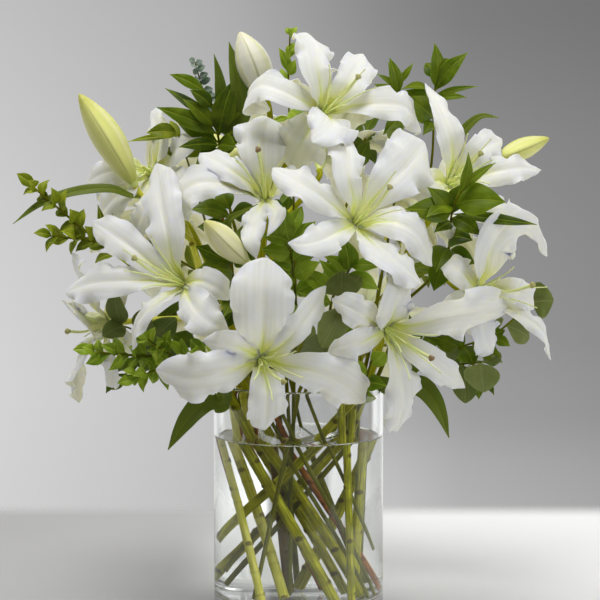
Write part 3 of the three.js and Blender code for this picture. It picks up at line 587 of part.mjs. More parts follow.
function solid(geo, tol = 1e-3) {
  geo.deleteAttribute("normal");
  geo.deleteAttribute("uv");
  const g = mergeVertices(geo, tol);
  let tri = g.index.array;
  const keep = [];
  for (let i = 0; i < tri.length; i += 3) {
    if (tri[i] !== tri[i + 1] && tri[i + 1] !== tri[i + 2] && tri[i] !== tri[i + 2]) keep.push(tri[i], tri[i + 1], tri[i + 2]);
  }
  const make = (t) => new wasm.Manifold(new wasm.Mesh({
    numProp: 3,
    vertProperties: new Float32Array(g.attributes.position.array),
    triVerts: new Uint32Array(t),
  }));
  let m = make(keep);
  if (m.volume() < 0) {
    const flip = [];
    for (let i = 0; i < keep.length; i += 3) flip.push(keep[i], keep[i + 2], keep[i + 1]);
    m = make(flip);
  }
  return m;
}

function fromArrays(pos, idx) {
  const g = new THREE.BufferGeometry();
  g.setAttribute("position", new THREE.Float32BufferAttribute(pos, 3));
  g.setIndex(idx);
  return g;
}

function join(list) {
  let m = list[0];
  for (let i = 1; i < list.length; i++) m = m.add(list[i]);
  return m;
}

function largest(m) {
  const parts = m.decompose();
  let best = parts[0];
  for (const p of parts) if (p.volume() > best.volume()) best = p;
  return best;
}

// path that has a ring of the tube exactly at each of its points
class Polyline extends THREE.Curve {
  constructor(points) { super(); this.p = points.map(V); }
  getPointAt(u, target = new THREE.Vector3()) {
    return target.copy(this.p[Math.round(u * (this.p.length - 1))]);
  }
  getPoint(u, target) { return this.getPointAt(u, target); }
  getTangentAt(u, target = new THREE.Vector3()) {
    const i = Math.round(u * (this.p.length - 1)), n = this.p.length - 1;
    const a = this.p[Math.max(0, i - 1)], b = this.p[Math.min(n, i + 1)];
    if (i === 0 || i === n) return target.subVectors(b, a).normalize();
    const c = this.p[i];
    return target.copy(c).sub(a).normalize().add(b.clone().sub(c).normalize()).normalize();
  }
}

// round tube through the points
function tube(points, r, sides) {
  const curve = new Polyline(points);
  const shape = new THREE.Shape();
  for (let i = 0; i < sides; i++) {
    const a = (2 * Math.PI * i) / sides;
    if (i === 0) shape.moveTo(r * Math.cos(a), r * Math.sin(a));
    else shape.lineTo(r * Math.cos(a), r * Math.sin(a));
  }
  return solid(new THREE.ExtrudeGeometry(shape, { steps: points.length - 1, bevelEnabled: false, extrudePath: curve }));
}

// thin sheet of quads: rows of points across, with a normal each
function sheet(rows, t) {
  const pos = [], idx = [], n = rows.length, m = rows[0].pts.length;
  for (const side of [0.5, -0.5]) {
    for (const row of rows) {
      for (const p of row.pts) {
        pos.push(p.x + row.n.x * t * side, p.y + row.n.y * t * side, p.z + row.n.z * t * side);
      }
    }
  }
  const id = (s, i, j) => s * n * m + i * m + j;
  const quad = (a, b, c, d) => idx.push(a, b, c, a, c, d);
  for (let i = 0; i + 1 < n; i++) {
    for (let j = 0; j + 1 < m; j++) {
      quad(id(0, i, j), id(0, i, j + 1), id(0, i + 1, j + 1), id(0, i + 1, j));
      quad(id(1, i, j), id(1, i + 1, j), id(1, i + 1, j + 1), id(1, i, j + 1));
    }
    quad(id(0, i, 0), id(0, i + 1, 0), id(1, i + 1, 0), id(1, i, 0));
    quad(id(0, i, m - 1), id(1, i, m - 1), id(1, i + 1, m - 1), id(0, i + 1, m - 1));
  }
  for (let j = 0; j + 1 < m; j++) {
    quad(id(0, 0, j), id(1, 0, j), id(1, 0, j + 1), id(0, 0, j + 1));
    quad(id(0, n - 1, j), id(0, n - 1, j + 1), id(1, n - 1, j + 1), id(1, n - 1, j));
  }
  return solid(fromArrays(pos, idx));
}

// one tepal: a sheet along its arching midrib
const ROWS = [[0.05, 0.14], [0.38, 0.74], [0.7, 0.84], [1.0, 0.07]];
function tepal(t, axis, grow) {
  const curve = new THREE.CatmullRomCurve3(t.rib.map(V), false, "centripetal");
  const a = V(axis);
  const out = V(t.rib[2]).sub(V(t.rib[0]));
  const L0 = new THREE.Vector3().crossVectors(a, out).normalize();
  const rows = ROWS.map(([s, w]) => {
    const p = curve.getPointAt(s), T = curve.getTangentAt(s);
    if (s === 1) p.addScaledVector(T, grow * 0.6);
    const L = L0.clone().addScaledVector(T, -L0.dot(T)).normalize();
    const n = new THREE.Vector3().crossVectors(T, L).normalize();
    const h = t.half * w + grow * 0.5;
    return { n, pts: [p.clone().addScaledVector(L, h), p.clone().addScaledVector(L, -h)] };
  });
  return sheet(rows, PETAL_T + grow);
}

// solid of revolution standing on a point, its axis along a
function turnedOn(pts, at, a, sides) {
  const g = new THREE.LatheGeometry(pts.map(([r, h]) => new THREE.Vector2(r, h)), sides);
  g.applyQuaternion(new THREE.Quaternion().setFromUnitVectors(new THREE.Vector3(0, 1, 0), a));
  g.translate(at.x, at.y, at.z);
  return solid(g);
}

function bloom(b, grow) {
  const a = V(b.axis), T = V(b.throat);
  const at = (h, side = 0, up = 0) => {
    const u = new THREE.Vector3(0, 0, 1).cross(a).normalize(), v = a.clone().cross(u);
    return T.clone().addScaledVector(a, h).addScaledVector(u, side).addScaledVector(v, up).toArray();
  };
  const parts = b.tepals.map((t) => tepal(t, b.axis, grow));
  parts.push(turnedOn([[0, -15 - grow], [4.6 + grow, -15 - grow], [8.6 + grow, 10], [0, 10]], T, a, 6)); // fused base
  parts.push(tube([at(4), at(66)], 1.5 + grow * 0.5, 4));                // style
  parts.push(tube([at(65 - grow * 0.5), at(72 + grow * 0.5, 0, 1)], 3 + grow * 0.5, 5)); // stigma
  return join(parts);
}

function bud(b, grow) {
  const base = V(b.base), d = V(b.tip).sub(base), len = d.length();
  const prof = [[0, 0.34], [0.22, 0.8], [0.45, 1], [0.7, 0.84], [0.93, 0.3]];
  const pts = [[0, -grow * 0.5]];
  for (const [s, r] of prof) pts.push([r * b.r + grow * 0.5, s * len - (s === 0 ? grow * 0.5 : 0)]);
  pts.push([0, len + grow * 0.5]);
  return turnedOn(pts, base, d.normalize(), 8);
}

// narrow lily leaf along a midrib
function stripLeaf(l, grow) {
  const curve = new THREE.CatmullRomCurve3(l.rib.map(V), false, "centripetal");
  const n0 = V(l.normal);
  const rows = [[0, 0.35], [0.33, 0.95], [0.7, 0.85], [1, 0.06]].map(([s, w]) => {
    const p = curve.getPointAt(s), T = curve.getTangentAt(s);
    if (s === 1) p.addScaledVector(T, grow * 0.6);
    const n = n0.clone().addScaledVector(T, -n0.dot(T)).normalize();
    const L = new THREE.Vector3().crossVectors(n, T).normalize();
    const h = (l.width / 2) * w + grow * 0.5;
    return { n, pts: [p.clone().addScaledVector(L, h), p.clone().addScaledVector(L, -h)] };
  });
  return sheet(rows, LEAF_T + grow);
}

// leaf blade as a folded kite, or a six-sided round blade for the eucalyptus
function leaf(l, kind, grow) {
  const B = V(l.slice(0, 3)), E = V(l.slice(3, 6)), w = l[6], arch = l[7], n0 = V(l.slice(8, 11));
  const T = E.clone().sub(B).normalize();
  const n = n0.addScaledVector(T, -n0.dot(T)).normalize();
  const L = new THREE.Vector3().crossVectors(n, T).normalize();
  const g = grow * 0.5, len = E.distanceTo(B);
  const q = (s, h, up) => B.clone().addScaledVector(T, s * len).addScaledVector(L, h).addScaledVector(n, up);
  const round = kind === "euca";
  const out = round
    ? [q(0, 0, 0), q(0.28, w * 0.44 + g, arch), q(0.75, w * 0.42 + g, arch), q(1, 0, 0), q(0.75, -w * 0.42 - g, arch), q(0.28, -w * 0.44 - g, arch)]
    : [q(-g / len, 0, 0), q(0.45, w * 0.5 + g, arch), q(1 + g / len, 0, 0), q(0.45, -w * 0.5 - g, arch)];
  // thin in the middle, sharp at the rim: one fan above, one below
  const N = out.length, pos = [], idx = [], t = LEAF_T * 0.7 + grow * 0.75;
  for (const p of [...out, q(0.45, 0, arch + t), q(0.45, 0, arch - t)]) pos.push(p.x, p.y, p.z);
  for (let i = 0; i < N; i++) {
    const j = (i + 1) % N;
    idx.push(i, j, N, j, i, N + 1);
  }
  return solid(fromArrays(pos, idx));
}

// ---- vase and water
const profile = (pts) => pts.map(([r, z]) => new THREE.Vector2(r, z));
function turned(pts, sides) {
  const g = new THREE.LatheGeometry(profile(pts), sides);
  g.rotateX(Math.PI / 2);
  return solid(g);
}
const Ri = VASE_R - WALL;
const vasePts = (g) => [
  [0, -g], [VASE_R - 1.5, -g], [VASE_R + g, 1.5], [VASE_R + g, VASE_H - 1.2], [VASE_R - 1.2, VASE_H + g], [Ri + 1.2, VASE_H + g],
  [Ri - g, VASE_H - 1.2], [Ri - g, FLOOR + 2 + g], [Ri - 2 - g, FLOOR + g], [0, FLOOR + g],
];
const vase = turned(vasePts(0), VASE_SIDES);
const vaseFat = turned(vasePts(CLEAR), VASE_SIDES);

// ---- tubes first: every stem keeps its way clear of the ones before it
const BIG = 2 * CLEAR;
const owners = [];
for (const [name, s] of Object.entries(LILY_STEMS)) owners.push({ name, kind: "lily", tubes: s.tubes, strips: s.leaves, leaves: [] });
for (const [name, s] of Object.entries(GREENS)) owners.push({ name, kind: s.kind, tubes: s.tubes, strips: [], leaves: s.leaves });

// the same points, with both ends moved out by d
function longer(pts, d) {
  const p = pts.map(V), n = p.length;
  const a = p[0].clone().sub(p[1]).setLength(d), b = p[n - 1].clone().sub(p[n - 2]).setLength(d);
  p[0].add(a);
  p[n - 1].add(b);
  return p.map((q) => q.toArray());
}
function tubes(o, grow) {
  return join([
    ...o.tubes.map(([pts, r], i) => tube(grow ? longer(pts, grow * 0.5) : pts, r + grow * 0.5, i > 0 ? 4 : 5)),
    ...o.strips.map((l) => stripLeaf(l, grow)),
  ]);
}
let fatTubes = null;
let channels = null;
for (const o of owners) {
  let m = tubes(o, 0);
  m = m.subtract(vaseFat);
  if (fatTubes) m = m.subtract(fatTubes);
  o.stem = largest(m);
  o.fatStem = tubes(o, BIG);
  fatTubes = fatTubes ? fatTubes.add(o.fatStem) : o.fatStem;
  // its straight channel through the water
  const [p0, p1] = o.tubes[0][0].map(V), d = p1.clone().sub(p0).normalize();
  const ch = tube([p0.clone().addScaledVector(d, -1).toArray(), p1.toArray()], o.tubes[0][1] + CLEAR, 5);
  channels = channels ? channels.add(ch) : ch;
}

// ---- water: a plain disc with a channel for every stem
let water = turned([[0, FLOOR + 0.4], [Ri - 2.4, FLOOR + 0.4], [Ri - 0.4, FLOOR + 2.4], [Ri - 0.4, WATER_TOP], [0, WATER_TOP]], VASE_SIDES);
water = largest(water.subtract(channels));

// ---- buds, then blooms
const solids = [];
let taken = vaseFat;
for (const [name, b] of Object.entries(BUDS)) {
  const m = largest(bud(b, 0).subtract(fatTubes).subtract(taken));
  solids.push([name, "bud", m]);
  taken = taken.add(bud(b, BIG));
}
for (const [name, b] of Object.entries(BLOOMS)) {
  const m = largest(bloom(b, 0).subtract(fatTubes).subtract(taken));
  solids.push([name, "petal", m]);
  taken = taken.add(bloom(b, BIG));
}

// ---- leaves on their stems
for (const o of owners) {
  const make = (grow) => o.leaves.map((l) => leaf(l, o.kind, grow));
  const own = make(0);
  let m = o.stem;
  if (own.length) {
    let others = null;
    for (const p of owners) if (p !== o) others = others ? others.add(p.fatStem) : p.fatStem;
    const blades = join(own).subtract(others).subtract(taken);
    m = largest(m.add(blades));
    taken = taken.add(join(make(BIG)));
  }
  solids.push([o.name, o.kind, m]);
}

// ---- scene graph
const group = new THREE.Group();
function geometry(m) {
  const mesh = m.getMesh();
  return fromArrays(Array.from(mesh.vertProperties), Array.from(mesh.triVerts));
}
// one body, with hair-thin necks and edges closed up
function tidy(m) {
  for (const tol of [0.02, 0.004, 0.001]) {
    try {
      const s = largest(solid(geometry(m), tol));
      return largest(solid(geometry(s)));
    } catch (e) {
      continue;
    }
  }
  return m;
}
function put(name, matKey, m) {
  const g = geometry(tidy(m));
  const obj = new THREE.Mesh(g, new THREE.MeshStandardMaterial(MAT[matKey]));
  obj.name = name;
  group.add(obj);
}
put("vase", "glass", vase);
put("water", "water", water);
for (const [name, key, m] of solids) put(name, key, m);

export default group;
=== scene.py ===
# White oriental lilies with mixed greens in a clear glass cylinder of water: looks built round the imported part.
import bpy, math
import numpy as np
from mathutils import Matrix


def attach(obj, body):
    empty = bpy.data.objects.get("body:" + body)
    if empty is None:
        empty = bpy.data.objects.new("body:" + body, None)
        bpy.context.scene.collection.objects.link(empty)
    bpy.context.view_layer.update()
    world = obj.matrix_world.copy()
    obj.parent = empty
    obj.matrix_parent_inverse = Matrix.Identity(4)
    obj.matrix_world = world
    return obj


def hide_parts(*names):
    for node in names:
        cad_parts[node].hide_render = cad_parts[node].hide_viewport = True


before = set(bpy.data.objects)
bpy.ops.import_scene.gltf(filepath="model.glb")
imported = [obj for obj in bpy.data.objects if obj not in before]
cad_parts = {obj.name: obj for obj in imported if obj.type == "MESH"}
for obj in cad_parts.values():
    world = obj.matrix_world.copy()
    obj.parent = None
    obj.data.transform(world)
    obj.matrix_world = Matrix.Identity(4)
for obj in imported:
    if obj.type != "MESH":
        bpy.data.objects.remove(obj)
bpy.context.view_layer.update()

# ------------------------------------------------------------------ tables, in millimetres, in the part's frame
# Open blooms: t throat, a axis, p tepals (c midrib points from the throat, w half width, k 1 for the broad inner ones), s style length
BLOOMS = {
 'lily_top': {'t':[23,-35,443],'a':[0.38,-0.83,0.4],'s':72,'p':[
  {'c':[[23,-35,443],[18.4,-57.9,459.8],[15.8,-65,477.4],[14.2,-53,494],[7.4,-26.2,511.5]],'w':19,'k':1,'r':0,'q':1.0,'m':[1.7,1.55,1.35,1.15,1.05,1,1]},
  {'c':[[23,-35,443],[34,-53.2,454.7],[43.3,-55.2,466.6],[51.4,-40.3,479.9],[56.8,-7.1,494.2]],'w':16,'k':0,'r':0},
  {'c':[[23,-35,443],[44.4,-49.7,447.1],[66.6,-52.7,449.6],[91.6,-35.2,447.3],[108.9,6.5,427.6]],'w':18,'k':1,'r':0},
  {'c':[[23,-35,443],[26.1,-66.6,436.6],[27.3,-96.5,430.5],[21.2,-114.5,423.8],[11.3,-119.8,417.2]],'w':22,'k':0,'r':0},
  {'c':[[23,-35,443],[5.6,-65.9,450.2],[-13,-82.1,459.2],[-31.7,-76.2,464.4],[-43.1,-62.1,454.6],[-24.6,-39.2,444.7]],'w':16,'k':0,'r':0},
  {'c':[[23,-35,443],[12.4,-61.7,432.4],[3.9,-64.9,418.8],[-2.1,-49.8,405.9],[-5.6,-40.9,392.8]],'w':23,'k':1,'r':0},
 ]},
 'lily_upper_left': {'t':[-28.8,-55,370.7],'a':[-0.07,-0.82,0.57],'s':72,'p':[
  {'c':[[-28.8,-55,370.7],[-30.2,-69.6,388.2],[-31.1,-69.4,406],[-31.4,-56.7,423.1],[-30.1,-33.2,439.6]],'w':23,'k':1,'r':0,'q':0.8},
  {'c':[[-28.8,-55,370.7],[-41.2,-73.3,381.4],[-56.4,-79,392.6],[-70.3,-69.5,400.9],[-84.9,-49,407.6]],'w':14,'k':0,'r':0},
  {'c':[[-28.8,-55,370.7],[-44.6,-74.7,375.5],[-64.7,-83.4,381.7],[-86.6,-86.3,381.7],[-101,-85.4,370.7],[-100.8,-76.1,356],[-90.3,-66.1,347.1]],'w':17,'k':1,'r':0},
  {'c':[[-28.8,-55,370.7],[-16.5,-77.2,379],[-6.3,-82.4,386.7],[0.5,-79.4,388.4],[4.7,-73.5,376.3]],'w':13,'k':0,'r':0},
  {'c':[[-28.8,-55,370.7],[-33.2,-95.5,360.9],[-37.6,-121.4,347.7],[-38.2,-132.6,335],[-35,-132.3,321.8]],'w':10,'k':1,'r':0},
  {'c':[[-28.8,-55,370.7],[-23.1,-94.1,364.2],[-17.8,-114.5,356.6],[-21,-125.1,347.9],[-25.9,-127.9,339.7]],'w':7.5,'k':0,'r':0},
 ]},
 'lily_centre': {'t':[49.2,-100,350.2],'a':[0.35,-0.83,0.43],'s':72,'p':[
  {'c':[[49.2,-100,350.2],[45.3,-120.7,369.2],[40.9,-128.3,385.9],[39.5,-117.3,403.9],[39.2,-89.9,424.7]],'w':16,'k':0,'r':0,'q':0.7},
  {'c':[[49.2,-100,350.2],[61.3,-111.6,369],[74.5,-113.2,383.1],[89.4,-97.7,396.2],[107.7,-57.6,417.1]],'w':26,'k':1,'r':0,'f':0.8,'q':0.9},
  {'c':[[49.2,-100,350.2],[32.7,-127.7,361.2],[16.1,-142.6,374],[-0.3,-144,384.6],[-21,-125.3,395.8]],'w':16,'k':1,'r':0},
  {'c':[[49.2,-100,350.2],[32.5,-139.3,343.6],[18.3,-164.8,338.3],[5.3,-174.1,335.5],[-8.3,-170,336.1]],'w':14,'k':0,'r':0},
  {'c':[[49.2,-100,350.2],[57.4,-132.3,336.6],[70.7,-151.4,326.2],[84.5,-153.3,315.7],[100.7,-141.6,301.8]],'w':19,'k':1,'r':0},
  {'c':[[49.2,-100,350.2],[66,-121.7,350.2],[82.9,-131.6,349.8],[98,-127.6,340.5],[111.5,-114,314]],'w':18,'k':0,'r':0},
 ]},
 'lily_left': {'t':[-98.6,-90,298.1],'a':[-0.5,-0.79,0.34],'s':72,'p':[
  {'c':[[-98.6,-90,298.1],[-104.3,-106,316.9],[-107.9,-112.4,337.3],[-113.8,-98.2,361.9],[-122.2,-59.5,398.3]],'w':18.5,'k':1,'r':0,'f':0.7,'q':0.5,'m':[1.4,1.35,1.25,1.1,1.0,1,1]},
  {'c':[[-98.6,-90,298.1],[-116.2,-104,310],[-134.6,-103.5,325.1],[-155.5,-84.5,338.5],[-178.4,-50.5,349]],'w':15,'k':0,'r':0},
  {'c':[[-98.6,-90,298.1],[-119.5,-105.8,300.9],[-148.2,-102.9,300.7],[-173.5,-85.8,297.8],[-201.5,-50,287.4]],'w':17,'k':1,'r':0},
  {'c':[[-98.6,-90,298.1],[-108.5,-120.6,288.6],[-122.8,-130.7,279.4],[-133.1,-127.2,266.6],[-139.4,-113.1,243.5]],'w':13,'k':0,'r':0},
  {'c':[[-98.6,-90,298.1],[-89.5,-133.2,287.1],[-79.8,-162.9,278.9],[-69.7,-172.4,271.6],[-57,-168,265.5]],'w':17,'k':1,'r':0},
  {'c':[[-98.6,-90,298.1],[-84.2,-122.5,302.1],[-73.4,-142.3,301],[-64.2,-145.1,296.3],[-57.2,-135.8,287.3]],'w':13,'k':0,'r':0},
 ]},
 'lily_front': {'t':[-30.1,-135,237.5],'a':[0.26,-0.95,-0.14],'s':72,'p':[
  {'c':[[-30.1,-135,237.5],[-28.8,-160.6,256.6],[-28.4,-180.1,276.1],[-27.5,-189.3,299],[-26.1,-182.1,324.7]],'w':26,'k':1,'r':0,'f':0.4,'q':1.0},
  {'c':[[-30.1,-135,237.5],[-16.6,-156.2,249.6],[-5.2,-165.3,261.2],[7.8,-157.9,276.8],[22.8,-134.1,298.8]],'w':11,'k':0,'r':0},
  {'c':[[-30.1,-135,237.5],[-10.9,-154.6,235.5],[11.1,-162.8,232.3],[34.1,-150.9,222.7],[55.8,-116.4,200.1]],'w':20,'k':1,'r':0},
  {'c':[[-30.1,-135,237.5],[-28.1,-158.1,227.7],[-25.4,-168,214.9],[-25.6,-161.5,199.4],[-27.6,-140.2,179.8]],'w':17,'k':0,'r':0},
  {'c':[[-30.1,-135,237.5],[-47.4,-164.5,235],[-66.1,-183.8,232.3],[-87.8,-185.1,229.2],[-115.3,-170.1,233.2]],'w':20,'k':1,'r':0},
  {'c':[[-30.1,-135,237.5],[-43.4,-163.4,248.7],[-53.4,-179.4,253.6],[-64.5,-182.7,255.6],[-76.9,-175.9,257.3]],'w':13,'k':0,'r':0},
 ]},
 'lily_lower_right': {'t':[75.1,-110,260],'a':[0.46,-0.85,-0.24],'s':72,'p':[
  {'c':[[75.1,-110,260],[76.3,-138.8,272.7],[79.8,-149.8,285.1],[85.1,-142.8,295.3],[93.5,-122.1,304.6]],'w':20,'k':0,'r':0},
  {'c':[[75.1,-110,260],[92.4,-130.5,266.1],[116.9,-135.5,272.4],[144.7,-118.9,275.1],[179,-76.4,273.2]],'w':23,'k':1,'r':0},
  {'c':[[75.1,-110,260],[60.5,-144.2,269.8],[48.4,-162.8,279.7],[37.8,-163.2,285.4],[27.4,-153.5,289.5]],'w':13,'k':1,'r':0},
  {'c':[[75.1,-110,260],[58,-144,256.6],[44.4,-161.7,251.8],[34.7,-161.3,248.5],[24.2,-151.9,245.1]],'w':13,'k':0,'r':0},
  {'c':[[75.1,-110,260],[78.3,-132.2,245.5],[82.9,-141.2,228.2],[87,-127.2,203.1],[83.9,-91.6,171.1]],'w':19,'k':1,'r':0},
  {'c':[[75.1,-110,260],[89.2,-129.8,249.4],[105.5,-134.4,239.1],[121.5,-119.9,226.6],[142.2,-82.2,207.7]],'w':13,'k':0,'r':0,'m':[1.2,1.2,1.1,1,0.85,0.7,0.7]},
 ]},
 'lily_right': {'t':[156.4,-60,289.9],'a':[0.55,-0.83,0.12],'s':72,'p':[
  {'c':[[156.4,-60,289.9],[158.6,-82.6,308.6],[161.8,-92.3,327.9],[173.4,-84.9,342.8],[191,-62.7,347.8],[207.9,-35.7,338.8],[219.5,-14.2,316.6]],'w':16,'k':1,'r':0,'q':0.0,'m':[1.3,2.0,2.6,2.6,2.1,1.3,0.72,0.58,0.56,0.7,1.2]},
  {'c':[[156.4,-60,289.9],[143.4,-91.4,300.7],[134.7,-105.6,310.1],[127.3,-102.6,315],[120.4,-93.2,311]],'w':13,'k':0,'r':0},
  {'c':[[156.4,-60,289.9],[170,-79.7,292.2],[181.6,-91.3,292.3],[193.4,-84.2,286.6],[202.8,-62.8,273.7]],'w':11,'k':0,'r':0},
  {'c':[[156.4,-60,289.9],[172,-77.7,279.3],[188.4,-85,270.5],[208.6,-66.3,255.9],[221.6,-32.7,226.3]],'w':10.5,'k':1,'r':0,'m':[1.2,1.2,1.1,0.9,0.75,0.65,0.6]},
  {'c':[[156.4,-60,289.9],[155.9,-86.1,279.1],[155.6,-100.3,265.9],[158.7,-95.3,251.8],[166.8,-72.6,236.7]],'w':16,'k':0,'r':0},
  {'c':[[156.4,-60,289.9],[143.8,-88.5,285.2],[134.6,-98,278.4],[128.4,-91.2,270.2],[122.8,-74.6,259.3]],'w':14,'k':1,'r':0},
 ]},
 'lily_upper_right': {'t':[133,-20,381.1],'a':[0.3,-0.88,0.37],'s':72,'p':[
  {'c':[[133,-20,381.1],[133.4,-36.3,401.4],[131,-44.3,422.2],[123.7,-34.6,445.6],[111.2,-10.9,468.7]],'w':14,'k':1,'r':0,'q':0.0,'m':[1.3,1.3,1.35,1.3,1.05,0.85,0.66,0.55,0.5,0.5,0.5]},
  {'c':[[133,-20,381.1],[144.9,-34.6,396.2],[156.6,-39.1,408.4],[167.1,-28,415.3],[180,-3.5,419.6]],'w':14,'k':0,'r':0},
  {'c':[[133,-20,381.1],[153.6,-35.3,387.5],[174.6,-42.1,392],[193,-32.5,394.4],[214.2,-7.9,392.3]],'w':14,'k':1,'r':0,'q':0.0,'m':[1.2,1.2,1.2,1.0,0.85,0.7,0.6]},
  {'c':[[133,-20,381.1],[121,-41,384.2],[111.8,-50.1,380.9],[103.4,-46.1,375.6],[97.2,-33.1,368.4]],'w':14,'k':0,'r':0},
  {'c':[[133,-20,381.1],[148.4,-46.2,371.3],[163,-57.3,365.6],[175.5,-52.9,360.3],[187.2,-40.7,352.9]],'w':12,'k':0,'r':0},
  {'c':[[133,-20,381.1],[130.6,-54.1,367.2],[130.8,-74.7,355.9],[133.1,-78.9,344.2],[135.3,-73.8,332.9]],'w':16,'k':1,'r':0},
 ]},
 'lily_back_left': {'t':[-134.6,38,389.8],'a':[-0.41,-0.84,0.37],'s':40,'p':[
  {'c':[[-134.6,38,389.8],[-125.6,14.2,405.4],[-123,4.2,417.9],[-125.3,13.2,430.3],[-133.5,40,444]],'w':15,'k':1,'r':0},
  {'c':[[-134.6,38,389.8],[-116.2,8.1,401.9],[-106.4,-6.2,412.6],[-98.7,-1.7,420.5],[-93.5,18.1,427.6]],'w':14,'k':0,'r':0},
  {'c':[[-134.6,38,389.8],[-116,3.7,386.8],[-104.2,-16.9,380.2],[-95.3,-19.6,373.2],[-88.9,-6.8,365.8]],'w':14,'k':1,'r':0},
  {'c':[[-134.6,38,389.8],[-131.9,1.2,374.4],[-134.1,-17.8,361.8],[-139.6,-16.2,348.5],[-146.5,2,333.5]],'w':14,'k':0,'r':0},
  {'c':[[-134.6,38,389.8],[-146.9,10.7,379.6],[-160.2,-1.4,370.1],[-171.4,3.6,358.4],[-184.3,24.7,343.3]],'w':18,'k':1,'r':0},
  {'c':[[-134.6,38,389.8],[-147.5,19.7,393.7],[-161.1,11.2,392],[-176.5,21.8,388.3],[-193.3,44.9,378.8]],'w':14,'k':0,'r':0},
 ]},
 'lily_far_left': {'t':[-170.9,-10,255.1],'a':[-0.72,-0.69,-0.07],'s':44,'p':[
  {'c':[[-170.9,-10,255.1],[-174.9,-39.4,272.6],[-182.7,-47.3,289],[-190.9,-34.1,302],[-201.2,-3.8,310.7]],'w':16,'k':1,'r':0},
  {'c':[[-170.9,-10,255.1],[-180.4,-38.3,260.3],[-186.9,-58.2,267.3],[-192.9,-58.2,272.5],[-198.8,-43.8,277.4]],'w':16,'k':0,'r':0,'m':[1.6,1.5,1.3,1.1,1]},
  {'c':[[-170.9,-10,255.1],[-179.1,-35.2,244.2],[-187.1,-43.1,232.7],[-196.4,-23.1,216.4],[-197.7,19.3,182.4]],'w':20,'k':1,'r':30,'m':[1.2,1.3,1.3,1.0,0.7,0.55,0.6]},
  {'c':[[-170.9,-10,255.1],[-166.1,-42.6,240.5],[-162.5,-53.9,228.6],[-163.9,-39.7,216.5],[-170.9,-4.7,199.9]],'w':12,'k':0,'r':0},
  {'c':[[-170.9,-10,255.1],[-157.5,-40.8,249.1],[-150.2,-45,243.4],[-145.9,-34.4,237.1],[-142.1,-17.3,228.2]],'w':13,'k':1,'r':0},
  {'c':[[-170.9,-10,255.1],[-160.3,-46,273.2],[-155.7,-58.1,288.1],[-156.7,-46.4,297.6],[-162.7,-17.6,306.2]],'w':13,'k':0,'r':0},
 ]},
 'lily_back_top': {'t':[20,92,400],'a':[0.05,0.78,0.62],'s':72,'p':[
  {'c':[[20,92,400],[-1.4,109.4,418.5],[-26.4,117.3,431.5],[-52.1,109.5,433.7],[-69.9,82.2,418.2]],'w':22.0,'k':1,'r':0},
  {'c':[[20,92,400],[12,99,430.5],[2.1,95.8,456.2],[-9,77.8,470.1],[-16.9,56.2,470.8]],'w':14.5,'k':0,'r':0},
  {'c':[[20,92,400],[34,100.3,427.1],[49.2,98.5,449],[63.5,82,459],[72,60,456.3]],'w':22.0,'k':1,'r':0},
  {'c':[[20,92,400],[43.6,111.2,412.6],[69.8,121.7,418.2],[95,117.3,412],[109.9,95.3,392.9]],'w':14.5,'k':0,'r':0},
  {'c':[[20,92,400],[31.3,122.2,399.7],[43.9,145.2,390.7],[56.1,153.1,370.1],[62.8,137.2,340.4]],'w':22.0,'k':1,'r':0},
  {'c':[[20,92,400],[6.9,121.1,403.1],[-9.5,142.5,398.4],[-27.7,148.7,382.4],[-40.8,136.4,359.8]],'w':14.5,'k':0,'r':0},
 ]},
 'lily_back_upper_left': {'t':[-118,82,352],'a':[-0.55,0.8,0.25],'s':69.1,'p':[
  {'c':[[-118,82,352],[-144.5,88.2,366.3],[-167.6,84.2,378.4],[-181.1,65.5,385.2],[-183,43.4,385.9]],'w':21.12,'k':1,'r':0},
  {'c':[[-118,82,352],[-127.5,96,378.6],[-131.7,100.4,405.4],[-126.7,89.7,427.6],[-109.8,61.8,435.4]],'w':13.92,'k':0,'r':0},
  {'c':[[-118,82,352],[-114.4,107.9,369.3],[-103.1,126.1,386.2],[-82,129.3,399.2],[-58.8,116.7,403.4]],'w':21.12,'k':1,'r':0},
  {'c':[[-118,82,352],[-116.8,113.1,347.6],[-108.1,137.4,338.9],[-89.5,147.2,325.4],[-66.2,136.7,311.4]],'w':13.92,'k':0,'r':0},
  {'c':[[-118,82,352],[-135.4,103.5,337.1],[-147.1,117.5,316.8],[-148.2,117.4,291.8],[-136.7,100.2,270.3]],'w':21.12,'k':1,'r':0},
  {'c':[[-118,82,352],[-146.9,92.5,347.2],[-172.4,93.2,338.7],[-188.1,79.1,326.3],[-192.2,61,315.9]],'w':13.92,'k':0,'r':0},
 ]},
 'lily_back_upper_right': {'t':[112,84,352],'a':[0.6,0.77,0.22],'s':70.6,'p':[
  {'c':[[112,84,352],[110,114.8,357],[99.3,139.2,359.8],[77.3,149.2,358.6],[55.2,145.4,355]],'w':21.56,'k':1,'r':0},
  {'c':[[112,84,352],[115,105.7,374.8],[109.6,120.2,397.2],[92.4,120.9,415.2],[68.9,106.2,421.9]],'w':14.21,'k':0,'r':0},
  {'c':[[112,84,352],[133.9,91.4,372.8],[150.4,89.1,393.3],[155.7,72.5,409.6],[145.7,45,415.1]],'w':21.56,'k':1,'r':0},
  {'c':[[112,84,352],[143.3,89,355.3],[170.6,84.3,354.9],[186.7,65.5,349.3],[188.2,42.4,341.9]],'w':14.21,'k':0,'r':0},
  {'c':[[112,84,352],[137,98.9,338.6],[157.2,104.8,320.5],[166.6,96.1,298.5],[163.3,78.5,281.1]],'w':21.56,'k':1,'r':0},
  {'c':[[112,84,352],[120.8,112,337.7],[122.7,132.8,318.1],[113.7,139.1,294.2],[93.5,124.6,273.4]],'w':14.21,'k':0,'r':0},
 ]},
 'lily_back_low_left': {'t':[-62,118,265],'a':[-0.35,0.93,-0.12],'s':68.4,'p':[
